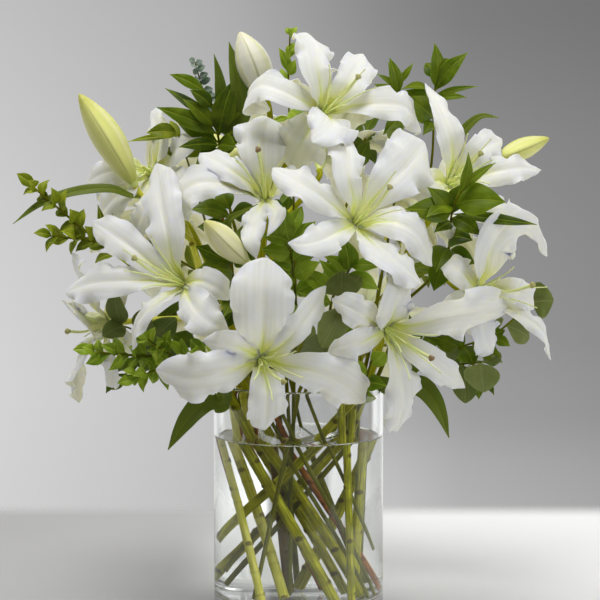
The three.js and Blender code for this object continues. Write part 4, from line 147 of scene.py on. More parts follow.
  {'c':[[-62,118,265],[-84.3,135.7,276.9],[-105.4,142.9,291.3],[-120.9,133,307.3],[-127.9,118,318.3]],'w':20.9,'k':1,'r':0},
  {'c':[[-62,118,265],[-67.3,142.8,282.1],[-69.2,158.1,303.4],[-65.4,156.4,326.9],[-58.8,143.3,343.6]],'w':13.77,'k':0,'r':0},
  {'c':[[-62,118,265],[-51.4,146.9,267.6],[-34.6,167.1,272.1],[-11.5,170.5,278.9],[7,162.7,284.6]],'w':20.9,'k':1,'r':0},
  {'c':[[-62,118,265],[-53.8,143.6,249],[-39.5,160.1,232.6],[-18.7,160,218.7],[-2.2,151.6,211]],'w':13.77,'k':0,'r':0},
  {'c':[[-62,118,265],[-75,134.6,241.6],[-85.3,140.8,216.7],[-89.5,130.2,194],[-83.2,99.3,182.6]],'w':20.9,'k':1,'r':0},
  {'c':[[-62,118,265],[-89.1,131.1,255.6],[-114.8,133.4,245.6],[-134,119,236.9],[-140.6,95.1,232.8]],'w':13.77,'k':0,'r':0},
 ]},
 'lily_back_low_right': {'t':[66,116,262],'a':[0.38,0.92,-0.12],'s':68.4,'p':[
  {'c':[[66,116,262],[56.2,145.4,266.1],[39.7,166.5,271.9],[16.2,170.9,279.4],[-6.1,156.5,286.2]],'w':20.9,'k':1,'r':0},
  {'c':[[66,116,262],[68.3,142,278],[65,159.3,297.5],[54,160.5,318.7],[38.5,142,334.7]],'w':13.77,'k':0,'r':0},
  {'c':[[66,116,262],[87.9,133.7,276.4],[107.2,141.6,294.9],[119.2,133.1,315.9],[120.6,113.2,331.5]],'w':20.9,'k':1,'r':0},
  {'c':[[66,116,262],[93.9,128.2,253.7],[120.3,129.7,245],[139.6,114.5,237.7],[147.7,94.9,233.8]],'w':13.77,'k':0,'r':0},
  {'c':[[66,116,262],[79.5,132.4,239.7],[90.6,138.2,216.2],[95.7,127.1,195.2],[93.6,105.7,183.8]],'w':20.9,'k':1,'r':0},
  {'c':[[66,116,262],[60.9,140.8,245.1],[50.5,156.1,226.8],[33.8,154.6,210.1],[19.2,143.2,200.4]],'w':13.77,'k':0,'r':0},
 ]},
}
# Buds: b base, t tip, r largest radius, c colouring
BUDS = {
 'bud_left': {'b':[-145.8,-2,379.9],'t':[-192.6,-14,459],'r':13.8,'c':0},
 'bud_top': {'b':[-29.4,-14,455.5],'t':[-51.3,-10,513.2],'r':15.2,'c':1},
 'bud_centre': {'b':[-42.8,-118,317.6],'t':[-76,-152,353.1],'r':11.3,'c':2},
 'bud_right': {'b':[174,-12,401.2],'t':[221.5,-4,420.5],'r':9.4,'c':0},
 'bud_back_left': {'b':[-52,108,392],'t':[-92,172,424],'r':12.5,'c':0},
 'bud_back_right': {'b':[88,122,330],'t':[128,196,352],'r':12.5,'c':2},
}
# Lily stems: tubes [points, radius], the first from the vase floor, then the flower stalks; ll long leaves
STEMS = {
 'lily_stem_1': {'tubes':[
  [[[-29.1,-43.6,14.5],[-64,17,200],[-65.3,10.9,212.1],[-78,-14,262]],3.4],
  [[[-78,-14,262],[-110.3,-0.3,259.8],[-129.7,5.6,258.4],[-155.1,6.4,256.5],[-159.6,0.8,256.1]],2.6],
  [[[-78,-14,262],[-82.1,-52.9,281.3],[-86.7,-72,290.4],[-90.8,-77.6,292.7]],2.6],
 ],'ll':[
 ]},
 'lily_stem_2': {'tubes':[
  [[[-10.3,-21.9,14.5],[-54.1,26.5,200],[-84.8,4.3,293.6],[-96,8,330]],3.6],
  [[[-96,8,330],[-108.4,38.9,354],[-115.2,51.1,366.1],[-120.3,56,374.3],[-125.7,57.5,382],[-128.2,51,384]],2.6],
  [[[-96,8,330],[-127.8,1.9,357.8],[-142.2,-1,373],[-145.6,-1.9,379.3]],2.6],
 ],'ll':[
  {'c':[[-136.5,0.2,366.9],[-150.4,-12,370.4],[-163.9,-18,375.8],[-192.1,-18,374.1],[-224.6,-26,363.8],[-249.6,-30,345.6]],'w':9.5,'n':[0.0,-0.82,0.57]},
 ]},
 'lily_stem_3': {'tubes':[
  [[[28.7,-41.4,14.5],[-64.8,-9,200],[-57.7,-29.4,217.7],[-46.4,-56.3,236.3],[-40,-72,250]],4.2],
  [[[-40,-72,250],[-37.1,-106.5,242.1],[-34.1,-120.1,239.7]],2.6],
  [[[-40,-72,250],[-35.5,-90.5,279.8],[-35,-101.9,297.1],[-37.9,-113.7,313.4],[-42.4,-117.7,317.2]],2.6],
 ],'ll':[
  {'c':[[-60.7,-20.7,210.1],[-67,-40,190.1],[-79.9,-62,193],[-91.3,-76,184.4],[-101.2,-84,171.8],[-111.3,-88,155.1]],'w':20,'n':[0.0,-0.93,0.38]},
 ]},
 'lily_stem_4': {'tubes':[
  [[[47.6,-18.7,14.5],[-49,12,200],[-45,13.5,242.7],[-33.5,13.7,313.2],[-28,10,370]],3.9],
  [[[-28,10,370],[-27.1,-23.1,358.2],[-27.1,-36.4,356.8],[-27.7,-42.2,361.9]],2.6],
  [[[-28,10,370],[-24.2,-9.1,422.1],[-26.3,-14.9,448.6],[-29.2,-14,454.9]],2.6],
  [[[-28,10,370],[1.1,-3.5,415.2],[14.7,-15.7,434.6],[17.1,-22,436.8]],2.6],
 ],'ll':[
  {'c':[[-24.8,-10.9,430.2],[-64.3,2,429.3],[-67.6,-2,454],[-70,-6,474.9],[-74.2,-10,494]],'w':13,'n':[0.0,-0.93,0.38]},
  {'c':[[-24.5,-10,426.2],[-55.4,0,425.8],[-49.9,-4,445.1],[-53.2,-8,471.4],[-61.1,-6,504.7]],'w':18,'n':[0.0,-0.93,0.38]},
  {'c':[[-27.7,-42.2,361.9],[-56,-96,334.8],[-58.7,-112,350.6],[-46.7,-122,359.4],[-33.4,-126,366.1]],'w':9,'n':[0.0,-0.93,0.38]},
 ]},
 'lily_stem_5': {'tubes':[
  [[[-62.5,-7.4,62],[56.8,-28.1,200],[75.8,1.9,247.6],[81.2,13,273],[89.9,18.4,298.5],[104,16,330]],3.8],
  [[[104,16,330],[120.1,7.1,361.9],[126.2,1,373.1],[128.3,-6.3,375.3]],2.6],
  [[[104,16,330],[129.9,-20.9,297.1],[144,-41.3,286.5],[147.8,-47.1,288.1]],2.6],
  [[[104,16,330],[128.5,0.1,361.4],[146.2,-8.7,381.3],[166.8,-13.7,398.8],[173.4,-12.1,401]],2.6],
 ],'ll':[
  {'c':[[154.1,-10.6,388.1],[135.6,-6,409.9],[149.1,-12,431],[161.2,-14,439.8],[175.9,-16,438]],'w':9,'n':[0.0,-0.93,0.38]},
 ]},
 'lily_stem_6': {'tubes':[
  [[[37.7,-6,14.5],[48.9,-8.1,200],[64,-32,268]],3.9],
  [[[64,-32,268],[62.4,-76.2,267.1],[63.9,-90.6,265.9],[67.9,-96.7,263.8]],2.6],
 ],'ll':[
  {'c':[[51,-11.4,209.4],[91.6,-20,198.2],[106.1,-44,203.8],[116.4,-60,195.3],[123.9,-66,180.5],[129.7,-70,162.8]],'w':20,'n':[0.0,-0.93,0.38]},
 ]},
 'lily_stem_7': {'tubes':[
  [[[43.6,-45.4,14.5],[36.3,-37.8,200],[38,-44,280]],3.4],
  [[[38,-44,280],[38.4,-67.8,324.5],[40.8,-80.7,341],[43.7,-87,343.5]],2.6],
 ],'ll':[
 ]},
 'lily_stem_8': {'tubes':[
  [[[-0.4,34.9,14.5],[63.2,10,200],[78,40.9,262.8],[90,60,300]],3.6],
  [[[90,60,300],[92.1,60.4,325.9],[94.5,62.5,337.6],[98.1,66.3,347.8],[102.6,72.1,348.5]],2.6],
  [[[90,60,300],[83.2,96.8,319.7],[83.8,115.5,328.3],[87.7,121.5,329.9]],2.6],
 ],'ll':[
  {'c':[[88.9,58.2,296.4],[120,84,300],[150,96,284],[172,98,256]],'w':12,'n':[0.0,0.9,0.44]},
 ]},
 'lily_stem_9': {'tubes':[
  [[[31.9,0.4,14.5],[-48.6,35.5,200],[-45.2,37.7,214.5],[-27.7,58.7,290.4],[-20,68,340]],3.2],
  [[[-20,68,340],[8.6,68.5,370.7],[19.6,73.6,386.1],[19.2,79.8,390.3]],2.6],
  [[[-20,68,340],[-38.3,88.8,374.5],[-48,101.4,389.4],[-51.7,107.5,391.8]],2.6],
 ],'ll':[
 ]},
 'lily_stem_10': {'tubes':[
  [[[-44.5,46.5,14.5],[-45.2,48.4,200],[-70,62,270]],3.4],
  [[[-70,62,270],[-84.9,57.3,308.7],[-93.2,57.4,326.8],[-105.7,63.5,347.2],[-109.4,69.5,348.1]],2.6],
  [[[-70,62,270],[-63.1,74.1,267.8],[-55,91.1,267.9],[-53.3,97,267.8],[-56.5,103.5,266.9]],2.6],
 ],'ll':[
  {'c':[[-69,63.7,269.7],[-110,92,262],[-140,104,236],[-150,108,204]],'w':13,'n':[0.0,0.9,0.44]},
 ]},
 'lily_stem_11': {'tubes':[
  [[[-54.4,21.3,20],[59,28.2,200],[61.3,34.6,204.8],[61,41.2,207.5],[44,82,232]],3.2],
  [[[44,82,232],[50.2,86.4,250.7],[54.9,91.2,261.3],[57.3,94.3,265.8],[60.1,101.7,263.9]],2.6],
 ],'ll':[
  {'c':[[44,82,232],[50,118,226],[54,150,206],[52,168,172]],'w':13,'n':[0.0,0.9,0.44]},
 ]},
}
# Greens: tubes as above; leaves [base xyz, tip xyz, width, arch, normal xyz]
GREENS = {
 'myrtle_branch_left': {'kind':'myrtle','wood':'wood','tubes':[
  [[[58.4,4.3,14.5],[-33.9,-9.4,200],[-40.7,-5.8,239.6],[-46.4,-3,259.1],[-55.2,0.5,277.3],[-70,6,300]],2.5],
  [[[-70,6,300],[-82.4,9.6,297.9],[-108.5,8.8,292.2],[-120.7,7.6,292.1],[-132,5.5,295.1],[-141.9,2.3,301.2],[-191.6,-17.4,342.3],[-232.6,-30,378.7]],1.6],
  [[[-176.2,-11.6,329.5],[-217.3,-30,335.1]],1.1],
  [[[-70,6,300],[-92.2,9.3,377.2],[-100.1,4.8,404.5],[-106.6,-2,424]],1.2],
 ],'leaves':[
  [-155.5,-3,312.4,-159.3,3.2,336.9,12.5,3,-0.52,-0.84,0.16],
  [-160,-4.8,316.2,-179.2,-23.1,313.1,12.3,3,-0.01,-0.19,0.98],
  [-164.5,-6.6,319.9,-165.7,-21.7,341.6,12.2,3,0.84,-0.48,-0.26],
  [-169,-8.4,323.7,-188.1,1.7,327.2,12,3,-0.33,-0.8,0.5],
  [-172.1,-9.6,326.1,-173.5,-13.1,346,11.8,3,-0.69,-0.71,-0.12],
  [-176.6,-11.4,329.9,-197.2,-14.6,321.6,11.7,3,-0.21,-0.66,0.72],
  [-181.1,-13.2,333.6,-183.6,-36.3,342.3,11.5,3,0.83,-0.28,-0.48],
  [-185.6,-15,337.4,-205.1,-8.6,334.1,11.3,3,-0.33,-0.74,0.58],
  [-190.1,-16.8,341.1,-190.1,-14.2,358.3,11.2,3,-0.6,-0.8,0.12],
  [-193.1,-17.9,343.6,-210.8,-19.3,337.4,11,3,-0.22,-0.67,0.71],
  [-197.5,-19.2,347.5,-198.2,-33.6,357.7,10.9,3,0.73,-0.44,-0.52],
  [-201.9,-20.6,351.4,-213.2,-11.6,358.6,10.7,3,-0.35,-0.78,0.51],
  [-206.3,-21.9,355.3,-204.5,-26.8,375.3,10.5,3,-0.73,-0.68,-0.07],
  [-210.7,-23.3,359.2,-223.9,-33.4,358.2,10.4,3,0.18,-0.33,0.93],
  [-213.6,-24.2,361.8,-213.8,-39.9,376.8,10.2,3,0.71,-0.52,-0.47],
  [-218,-25.5,365.7,-228.8,-17.8,369.7,10,3,-0.41,-0.72,0.57],
  [-222.4,-26.9,369.6,-219.2,-20.9,384.5,9.9,3,-0.58,-0.69,0.43],
  [-226.8,-28.2,373.5,-240.3,-30.4,372.3,9.7,3,0.01,-0.58,0.82],
  [-231.2,-29.6,377.4,-233.3,-43,383.2,9.5,3,0.76,-0.4,-0.51],
  [-231.2,-29.6,377.4,-245.2,-32.5,389.6,9.4,2,0.24,-0.97,0.06],
  [-187.4,-16.6,331,-197.4,-10.7,345.1,11,3,-0.5,-0.87,0.02],
  [-191.2,-18.3,331.5,-199.8,-32,320.2,10.6,3,-0.5,-0.33,0.8],
  [-196.8,-20.8,332.3,-204,-38.6,340,10.2,3,0.94,-0.3,0.17],
  [-200.5,-22.5,332.8,-218.6,-17.6,330.7,9.8,3,-0.3,-0.9,0.33],
  [-206.1,-25,333.5,-216.9,-21.4,344.2,9.4,3,-0.38,-0.92,-0.07],
  [-209.8,-26.6,334,-220.4,-36.3,322.2,9,3,-0.4,-0.51,0.76],
  [-215.5,-29.2,334.8,-220,-39,345.2,8.6,3,0.93,-0.34,0.11],
  [-215.5,-29.2,334.8,-230.6,-35.8,337.9,8.2,2,0.43,-0.86,0.27],
  [-161.5,-5.4,317.4,-150.7,-24,311,6,2,0.0,-0.95,0.33],
  [-167.5,-7.8,322.4,-176.3,-18,360.9,8,3,0.0,-0.95,0.33],
  [-163,-6,318.7,-164.4,-14,353.7,6,2,0.0,-0.95,0.33],
  [-106.6,-2,424,-132.3,-14,425.8,13,3,0.0,-0.95,0.33],
  [-106,-1.3,422.1,-150.6,-6,417.9,5,3,0.0,-0.95,0.33],
  [-104.7,0.1,418.2,-114.4,10,436.5,8,2,0.0,-0.95,0.33],
  [-100.7,4.2,406.5,-119.8,8,409.9,10,3,0.0,-0.95,0.33],
  [-99.5,5.2,402.6,-82.6,14,411.6,10,3,0.0,-0.95,0.33],
 ]},
 'ruscus_branch_top_left': {'kind':'ruscus','wood':'wood','tubes':[
  [[[-6,8.6,14.5],[-20.4,14.1,200],[-46,30,300]],3.4],
  [[[-46,30,300],[-62.3,17,360.8],[-72,-4.1,427.5],[-78,-8.1,454.6],[-81.4,-8,460.9]],1.6],
 ],'leaves':[
  [-71.5,-2.9,423.7,-124.1,-16,447.6,13,5,0.0,-0.95,0.33],
  [-72.5,-4.4,429.4,-101.5,-12,454.7,12,4,0.0,-0.95,0.33],
  [-76.3,-7,446.8,-95.2,-14,462.5,11,3,0.0,-0.95,0.33],
  [-74.2,-5.5,437.2,-118,0,466.3,8,4,0.0,-0.95,0.33],
  [-70.4,-0.5,416.1,-112.3,6,443.5,13,4,0.0,-0.95,0.33],
  [-70.1,0.1,414.2,-103.5,-26,413.5,10,3,0.0,-0.95,0.33],
  [-69.3,1.9,408.4,-77.9,-34,385.8,8,3,0.0,-0.95,0.33],
  [-71.2,-2.3,421.8,-57.5,-12,471.3,17,4,0.0,-0.95,0.33],
  [-70.1,0.1,414.2,-54.6,-26,413.5,17,3,0.0,-0.95,0.33],
  [-74.2,-5.5,437.2,-48.2,0,447,13,4,0.0,-0.95,0.33],
  [-81.4,-8,460.9,-113.2,-6,477.6,9,4,0.0,-0.95,0.33],
  [-69.5,1.3,410.4,-89.7,-24,396.1,12,4,0.0,-0.95,0.33],
  [-68.7,3.1,404.6,-51.5,-12,429.3,12,3,0.0,-0.95,0.33],
 ]},
 'myrtle_branch_lower_left': {'kind':'myrtle','wood':'green','tubes':[
  [[[57.6,-32,14.5],[-38.9,-23.5,200],[-44,-52,246]],1.7],
  [[[-44,-52,246],[-62.9,-63.7,236.7],[-86.5,-73.9,234.3],[-126.4,-85,235.2],[-175.1,-92,239.6]],1.6],
  [[[-99.5,-78.1,234.2],[-125,-90.2,222.5],[-139.4,-94,217.6]],1.1],
  [[[-106.1,-80.1,234.3],[-123.4,-94.4,247.6],[-128.9,-96,251.9]],1.1],
 ],'leaves':[
  [-62.9,-63.7,236.7,-68.3,-68.8,254.4,12.5,3,-0.53,-0.81,-0.25],
  [-66.9,-65.4,236.3,-78.2,-85.1,217.1,12.4,3,-0.42,-0.35,0.84],
  [-70.8,-67.1,235.9,-78.6,-89.3,243.7,12.3,3,0.93,-0.31,0.2],
  [-74.7,-68.8,235.5,-94.6,-59.9,228.3,12.2,3,-0.48,-0.83,0.28],
  [-78.7,-70.5,235.1,-93.9,-64.5,247.5,12,3,-0.42,-0.91,0.05],
  [-82.6,-72.2,234.7,-89.5,-84.6,218.5,11.9,3,-0.54,-0.51,0.67],
  [-86.5,-73.9,234.3,-91.4,-93,240.2,11.8,3,0.96,-0.23,0.17],
  [-90.5,-75,234.4,-102.6,-62.4,223.9,11.7,3,-0.8,-0.59,0.14],
  [-94.5,-76.1,234.5,-100.5,-77.5,249.6,11.6,3,-0.56,-0.81,-0.17],
  [-99.5,-78.1,234.2,-103.9,-86.1,217.2,11.5,3,-0.6,-0.65,0.46],
  [-102.9,-79.8,232.7,-110.3,-92.8,249.4,11.3,3,0.92,-0.35,0.16],
  [-107.4,-81.2,235.4,-119.1,-74,224.2,11.2,3,-0.67,-0.71,0.23],
  [-112.4,-81.1,234.9,-121.3,-84.2,247.3,11.1,3,-0.43,-0.83,-0.35],
  [-116.4,-82.2,234.9,-125.9,-84.8,217.8,11,3,-0.62,-0.66,0.41],
  [-120.4,-83.3,235,-126.4,-98.7,241.6,10.9,3,0.93,-0.35,0.12],
  [-124.4,-84.4,235.1,-136.4,-73.5,224.3,10.8,3,-0.79,-0.59,0.2],
  [-128.4,-85.3,235.4,-136.3,-81.8,253.4,10.7,3,-0.61,-0.79,-0.03],
  [-132.5,-85.8,235.7,-143.7,-89.3,222,10.5,3,-0.56,-0.64,0.53],
  [-138.6,-86.7,236.3,-142.6,-99.9,244.9,10.4,3,0.94,-0.34,0.07],
  [-142.6,-87.3,236.7,-152.2,-81.2,228.4,10.3,3,-0.7,-0.66,0.27],
  [-146.7,-87.9,237,-157.5,-84.7,251,10.2,3,-0.53,-0.84,-0.1],
  [-150.7,-88.5,237.4,-158.3,-103.5,225.5,10.1,3,0.8,-0.58,0.15],
  [-154.8,-89.1,237.8,-164.6,-102.3,246.7,9.9,3,0.83,-0.54,0.15],
  [-158.8,-89.7,238.1,-171.6,-85.3,226.9,9.8,3,-0.66,-0.63,0.41],
  [-164.9,-90.5,238.7,-171,-86.3,250.4,9.7,3,-0.61,-0.79,-0.03],
  [-169,-91.1,239,-178.7,-102.6,230.7,9.6,3,0.73,-0.69,0.02],
  [-173,-91.7,239.4,-181.8,-103,245.2,9.5,3,0.81,-0.57,0.15],
  [-173,-91.7,239.4,-191,-93.2,241.7,9.4,2,0.11,-0.93,0.36],
  [-108,-82.2,230.3,-125.2,-89.7,239.7,11.5,3,-0.06,-0.84,-0.53],
  [-111.4,-83.8,228.8,-112,-90.8,207.4,11.2,3,-0.58,-0.78,0.24],
  [-114.8,-85.4,227.2,-118.6,-105.4,231.8,10.9,3,0.84,-0.05,0.54],
  [-118.2,-87,225.7,-124.7,-83.2,211.5,10.5,3,-0.59,-0.81,-0.07],
  [-121.6,-88.6,224.1,-133.8,-88.9,234.5,10.2,3,0.57,-0.44,0.69],
  [-125,-90.2,222.5,-132.1,-98,206.9,9.9,3,-0.66,-0.53,0.54],
  [-129.1,-91.3,221.1,-137.9,-105.5,221.4,9.6,3,0.76,-0.46,0.46],
  [-133.2,-92.4,219.7,-141.9,-82.8,212.5,9.3,3,-0.76,-0.66,-0.01],
  [-137.4,-93.5,218.3,-149,-93.5,224,8.9,3,0.4,-0.42,0.82],
  [-137.4,-93.5,218.3,-153.3,-96.5,213.6,8.6,2,0.06,-0.92,0.39],
  [-111.4,-84.5,238.4,-109.5,-88.3,257.5,11,3,-0.53,-0.85,-0.03],
  [-115.4,-87.8,241.5,-120.5,-103.5,234.3,10.5,3,-0.24,-0.3,0.92],
  [-118.1,-90,243.5,-115.5,-107.1,250.7,10.1,3,-0.99,-0.02,0.15],
  [-120.7,-92.2,245.6,-132.5,-80.3,250,9.6,3,-0.48,-0.67,0.57],
  [-123.4,-94.4,247.6,-121.6,-92.4,260.8,9.2,3,-0.6,-0.77,0.21],
  [-127,-95.5,250.5,-139.7,-97,247.2,8.7,3,-0.12,-0.64,0.76],
  [-127,-95.5,250.5,-139.6,-99.7,260.2,8.2,2,0.4,-0.91,0.11],
 ]},
 'ruscus_branch_top_right': {'kind':'ruscus','wood':'green','tubes':[
  [[[-52.6,-4.3,34],[55.9,18.1,200],[76,34,300]],2],
  [[[76,34,300],[106.3,37.9,354.9],[118.3,37.6,386.7],[121,35.1,406.7],[122,23.7,460.7],[124.6,20,481.1]],1.5],
  [[[76,34,300],[87.5,29.6,368.9],[91.5,26.6,403.4],[91.8,22.7,430.9],[88.7,16,472.1]],1.3],
 ],'leaves':[
  [122.6,22.9,464.8,124.1,14,503.9,15,4,0.51,-0.86,0.07],
  [122.3,23.3,462.7,148.7,10,495.8,13,4,0.0,-0.95,0.33],
  [121.7,27.5,442.7,95.1,18,463.2,16,4,0.0,-0.95,0.33],
  [122,23.7,460.7,92.8,8,466.5,11,3,0.0,-0.65,0.76],
  [122,24.1,458.7,158.2,14,467.6,5,2,0.0,-0.95,0.33],
  [121.9,25,454.7,149.2,12,456.9,6,2,0.0,-0.95,0.33],
  [121.6,28.4,438.7,97.2,6,456.8,20,4,0.21,-0.97,-0.14],
  [121.6,29.2,434.7,111.9,12,424.9,10,3,0.0,-0.95,0.33],
  [124.4,20.4,479,135.7,26,492,9,3,0.0,-0.95,0.33],
  [123.6,21.5,472.9,114.5,30,488.6,12,3,0.0,-0.95,0.33],
  [89.6,18,459.7,81.3,10,491.3,10,3,0.0,-0.95,0.33],
  [90.1,19,453.6,68.8,6,469.1,12,3,0.0,-0.82,0.57],
  [89.3,17.4,463.9,70.1,20,477.5,5,2,0.0,-0.95,0.33],
  [89,16.7,468,101.8,12,487,5,2,0.0,-0.95,0.33],
  [88.7,16,472.1,80.1,24,488.3,7,2,0.0,-0.95,0.33],
  [91.2,21.4,439.2,75.8,2,424.9,11,3,0.0,-0.95,0.33],
  [91.3,21.7,437.1,82.5,-8,411.7,12,3,0.0,-0.95,0.33],
  [90.7,20.4,445.3,107.1,24,461.6,10,3,0.0,-0.95,0.33],
 ]},
 'ruscus_branch_right': {'kind':'ruscus','wood':'green','tubes':[
  [[[36.9,18.5,14.5],[46,6.5,200],[69.2,-1.2,250.7],[78,-2,262]],2],
  [[[78,-2,262],[109.9,-23.6,291.1],[123.7,-38.8,307.9],[129.1,-58.1,324.4],[129,-99.7,358.2],[132.7,-113.8,372.1],[136.8,-116,377.4]],1.5],
  [[[78,-2,262],[90.4,-12.9,235],[96.3,-18.1,227.4],[103.1,-24.5,223.9],[114.7,-35,227.2],[133.8,-48.9,237],[156.9,-61.2,246],[170,-66,249]],1.4],
 ],'leaves':[
  [134,-114.5,373.9,142.7,-122,407.3,9,3,0.51,-0.86,0.07],
  [135.4,-115.3,375.6,163,-118,400.6,6,3,0.0,-0.95,0.33],
  [130.8,-106.8,365.2,169.9,-126,368.6,23,5,0.0,-0.95,0.33],
  [129.4,-101.1,359.6,89.9,-124,362.7,18,4,0.0,-0.95,0.33],
  [130.1,-103.9,362.4,106.2,-128,356.3,12,3,0.0,-0.75,0.66],
  [129,-98.1,356.9,109.2,-118,379.1,15,4,0.0,-0.95,0.33],
  [129,-98.1,356.9,137.2,-100,382,14,3,0.0,-0.95,0.33],
  [129,-93.3,353.1,151.5,-112,340.6,14,4,0.0,-0.95,0.33],
  [129,-98.1,356.9,201.3,-92,348.1,8,9,0.0,-0.95,0.33],
  [129,-88.5,349.1,114.5,-116,344.2,10,3,0.0,-0.95,0.33],
  [129,-70.9,334.8,146.5,-92,334.6,18,4,0.0,-0.95,0.33],
  [129.1,-59.7,325.7,117.4,-88,309,19,4,0.0,-0.95,0.33],
  [126.3,-48.5,316.2,116.9,-58,289.8,17,4,0.0,-0.95,0.33],
  [126.8,-50.1,317.6,150.8,-64,314.3,17,4,0.0,-0.95,0.33],
  [139.1,-51.8,239.1,112.8,-72,251.3,15,4,0.0,-0.95,0.33],
  [149.8,-57.4,243.2,174.7,-72,228.9,13,4,0.0,-0.95,0.33],
  [155.1,-60.2,245.3,178.1,-62,255.5,13,4,0.0,-0.95,0.33],
  [125.8,-43.1,232.9,111.8,-62,219.1,15,4,0.0,-0.95,0.33],
  [106,-27.1,224.7,86.5,-52,210.9,15,4,0.0,-0.95,0.33],
  [142.7,-53.6,240.4,151.4,-64,224.5,15,4,0.0,-0.95,0.33],
  [130.6,-46.6,235.4,144.2,-44,252.1,14,4,0.0,-0.95,0.33],
  [168.1,-65.3,248.5,181.6,-70,242.4,8,2,0.0,-0.95,0.33],
 ]},
 'eucalyptus_branch_right': {'kind':'euca','wood':'green','tubes':[
  [[[-49.9,4,20],[67.3,2.4,200],[84,2,240]],2.2],
  [[[84,2,240],[123.7,0.4,231.2],[148.8,-3.3,231.9],[160.1,-6.7,236.3],[170.2,-10.8,243.1],[207.6,-28,278.7]],1.4],
  [[[84,2,240],[100.5,-14.2,227.1],[113.4,-27.9,222.4],[131.7,-47.3,223.8],[157.7,-70,228.6]],1.4],
 ],'leaves':[
  [204.8,-26.7,276.1,221.4,-44,280,31,3,0.15,-0.97,0.18],
  [196.5,-22.9,268.2,189.2,-10,288,24,3,0.0,-0.95,0.33],
  [182.6,-16.6,255,206,-6,243.1,24,3,0.21,-0.79,0.58],
  [175.7,-13.4,248.3,169.3,2,260.2,22,3,0.0,-0.95,0.33],
  [156.2,-68.7,228.4,158.3,-84,204.4,30,3,0.1,-0.98,0.18],
  [142.4,-56.7,225.8,143.7,-66,192.6,24,3,-0.2,-0.97,0.17],
  [157.7,-70,228.6,173.5,-66,236.8,16,3,0.0,-0.95,0.33],
  [133.2,-48.7,224.1,124.2,-56,241,22,3,0.0,-0.95,0.33],
 ]},
 'eucalyptus_branch_left': {'kind':'euca','wood':'wood','tubes':[
  [[[-26.9,-17.8,14.5],[-61.1,28.3,200],[-72.2,13.3,215.2],[-80,-4,228]],2.2],
  [[[-80,-4,228],[-101.4,-11.5,223.8],[-110.3,-17.3,224.9],[-117.2,-24.7,229.4],[-137.6,-49.2,249.9],[-146.1,-57,256.7],[-152.3,-60,258.8]],1.4],
 ],'leaves':[
  [-152.3,-60,258.8,-157.5,-76,288.6,19,3,-0.31,-0.93,0.18],
  [-148.2,-58,257.4,-167.4,-74,251.5,18,3,0.0,-0.82,0.57],
  [-131.9,-42.4,244.2,-105.5,-62,265.9,22,3,0.2,-0.94,0.28],
  [-137.6,-49.2,249.9,-131,-66,274.9,20,3,0.0,-0.95,0.33],
  [-121.7,-30.1,233.9,-141.3,-48,231.5,20,3,0.0,-0.95,0.33],
 ]},
 'eucalyptus_branch_centre': {'kind':'euca','wood':'green','tubes':[
  [[[-33.9,-29.5,14.5],[0.9,-37.4,200],[26,-38,236]],1.8],
  [[[26,-38,236],[35.1,-49.3,238.6],[39,-61.2,247.6],[37.5,-84.1,277.9],[37.5,-91.2,289.4],[39.4,-94,295.8]],1.4],
 ],'leaves':[
  [37.5,-88.8,285.6,36.5,-110,308.8,27,3,0.0,-0.97,0.23],
  [37.5,-85.3,279.8,19.8,-112,245.9,27,3,-0.32,-0.95,0.08],
  [38.1,-92.1,291.5,52.1,-90,304,16,2,0.0,-0.95,0.33],
  [38.8,-65,252.7,58.5,-82,240.2,20,3,0.0,-0.65,0.76],
  [39,-61.2,247.6,23.7,-70,233.8,18,3,0.0,-0.65,0.76],
 ]},
 'myrtle_branch_centre': {'kind':'myrtle','wood':'green','tubes':[
  [[[-6.5,-4.7,14.5],[-4.2,-13.7,200],[-2,-16,250]],1.8],
  [[[-2,-16,250],[-1.2,-32.1,260.9],[-2,-45.8,275.5],[-5.9,-73.6,315.8],[-8,-84.3,334.2],[-8.8,-86,341.1]],1.4],
  [[[-2,-16,250],[-4.7,-12.6,377.8],[-8.8,-14.8,462.7],[-7.4,-14,512.1]],1.3],
 ],'leaves':[
  [-7.8,-83.2,332.3,-12.1,-96,362.6,15,3,0.0,-0.95,0.33],
  [-7.8,-83.2,332.3,-30.6,-98,338.3,13,3,0.0,-0.95,0.33],
  [-6.7,-77.9,323.2,-30.8,-92,327,15,3,0.0,-0.95,0.33],
  [-7,-78.9,325,13.2,-88,349.7,13,3,0.0,-0.95,0.33],
  [-5.6,-71.3,312.4,-22.4,-88,315.8,15,3,0.0,-0.95,0.33],
  [-4.6,-64.3,302.4,16.6,-86,315.7,15,3,0.0,-0.95,0.33],
  [-5.9,-73.6,315.8,15,-70,326.7,15,3,0.0,-0.95,0.33],
  [-3.6,-57.4,292.3,-17.4,-76,303.1,14,3,0.0,-0.95,0.33],
  [-3,-52.8,285.6,18.4,-72,296,14,3,0.0,-0.95,0.33],
  [-2,-45.8,275.5,-12.4,-72,270.2,12,3,0.0,-0.95,0.33],
  [-8.3,-84.8,336.5,-20.8,-78,352.7,13,3,0.0,-0.95,0.33],
  [-8.6,-85.4,338.8,3,-80,362.9,12,3,0.0,-0.95,0.33],
  [-7.9,-14.3,495.6,0.5,-20,501.4,6,2,0.0,-0.95,0.33],
  [-8.4,-14.6,477.1,-17,-22,498.8,8,3,0.0,-0.95,0.33],
  [-8.7,-14.7,466.8,-15.4,-10,481.8,7,2,0.0,-0.95,0.33],
  [-8.1,-14.4,489.5,-3.9,-12,504.4,8,2,0.0,-0.95,0.33],
  [-8.4,-14.6,475,-3,-22,488.4,8,2,0.0,-0.95,0.33],
  [-7.5,-14.1,508,-1.3,-16,517.2,6,2,0.0,-0.95,0.33],
  [-7.5,-14,510.1,-10.9,-12,516.6,5,2,0.0,-0.95,0.33],
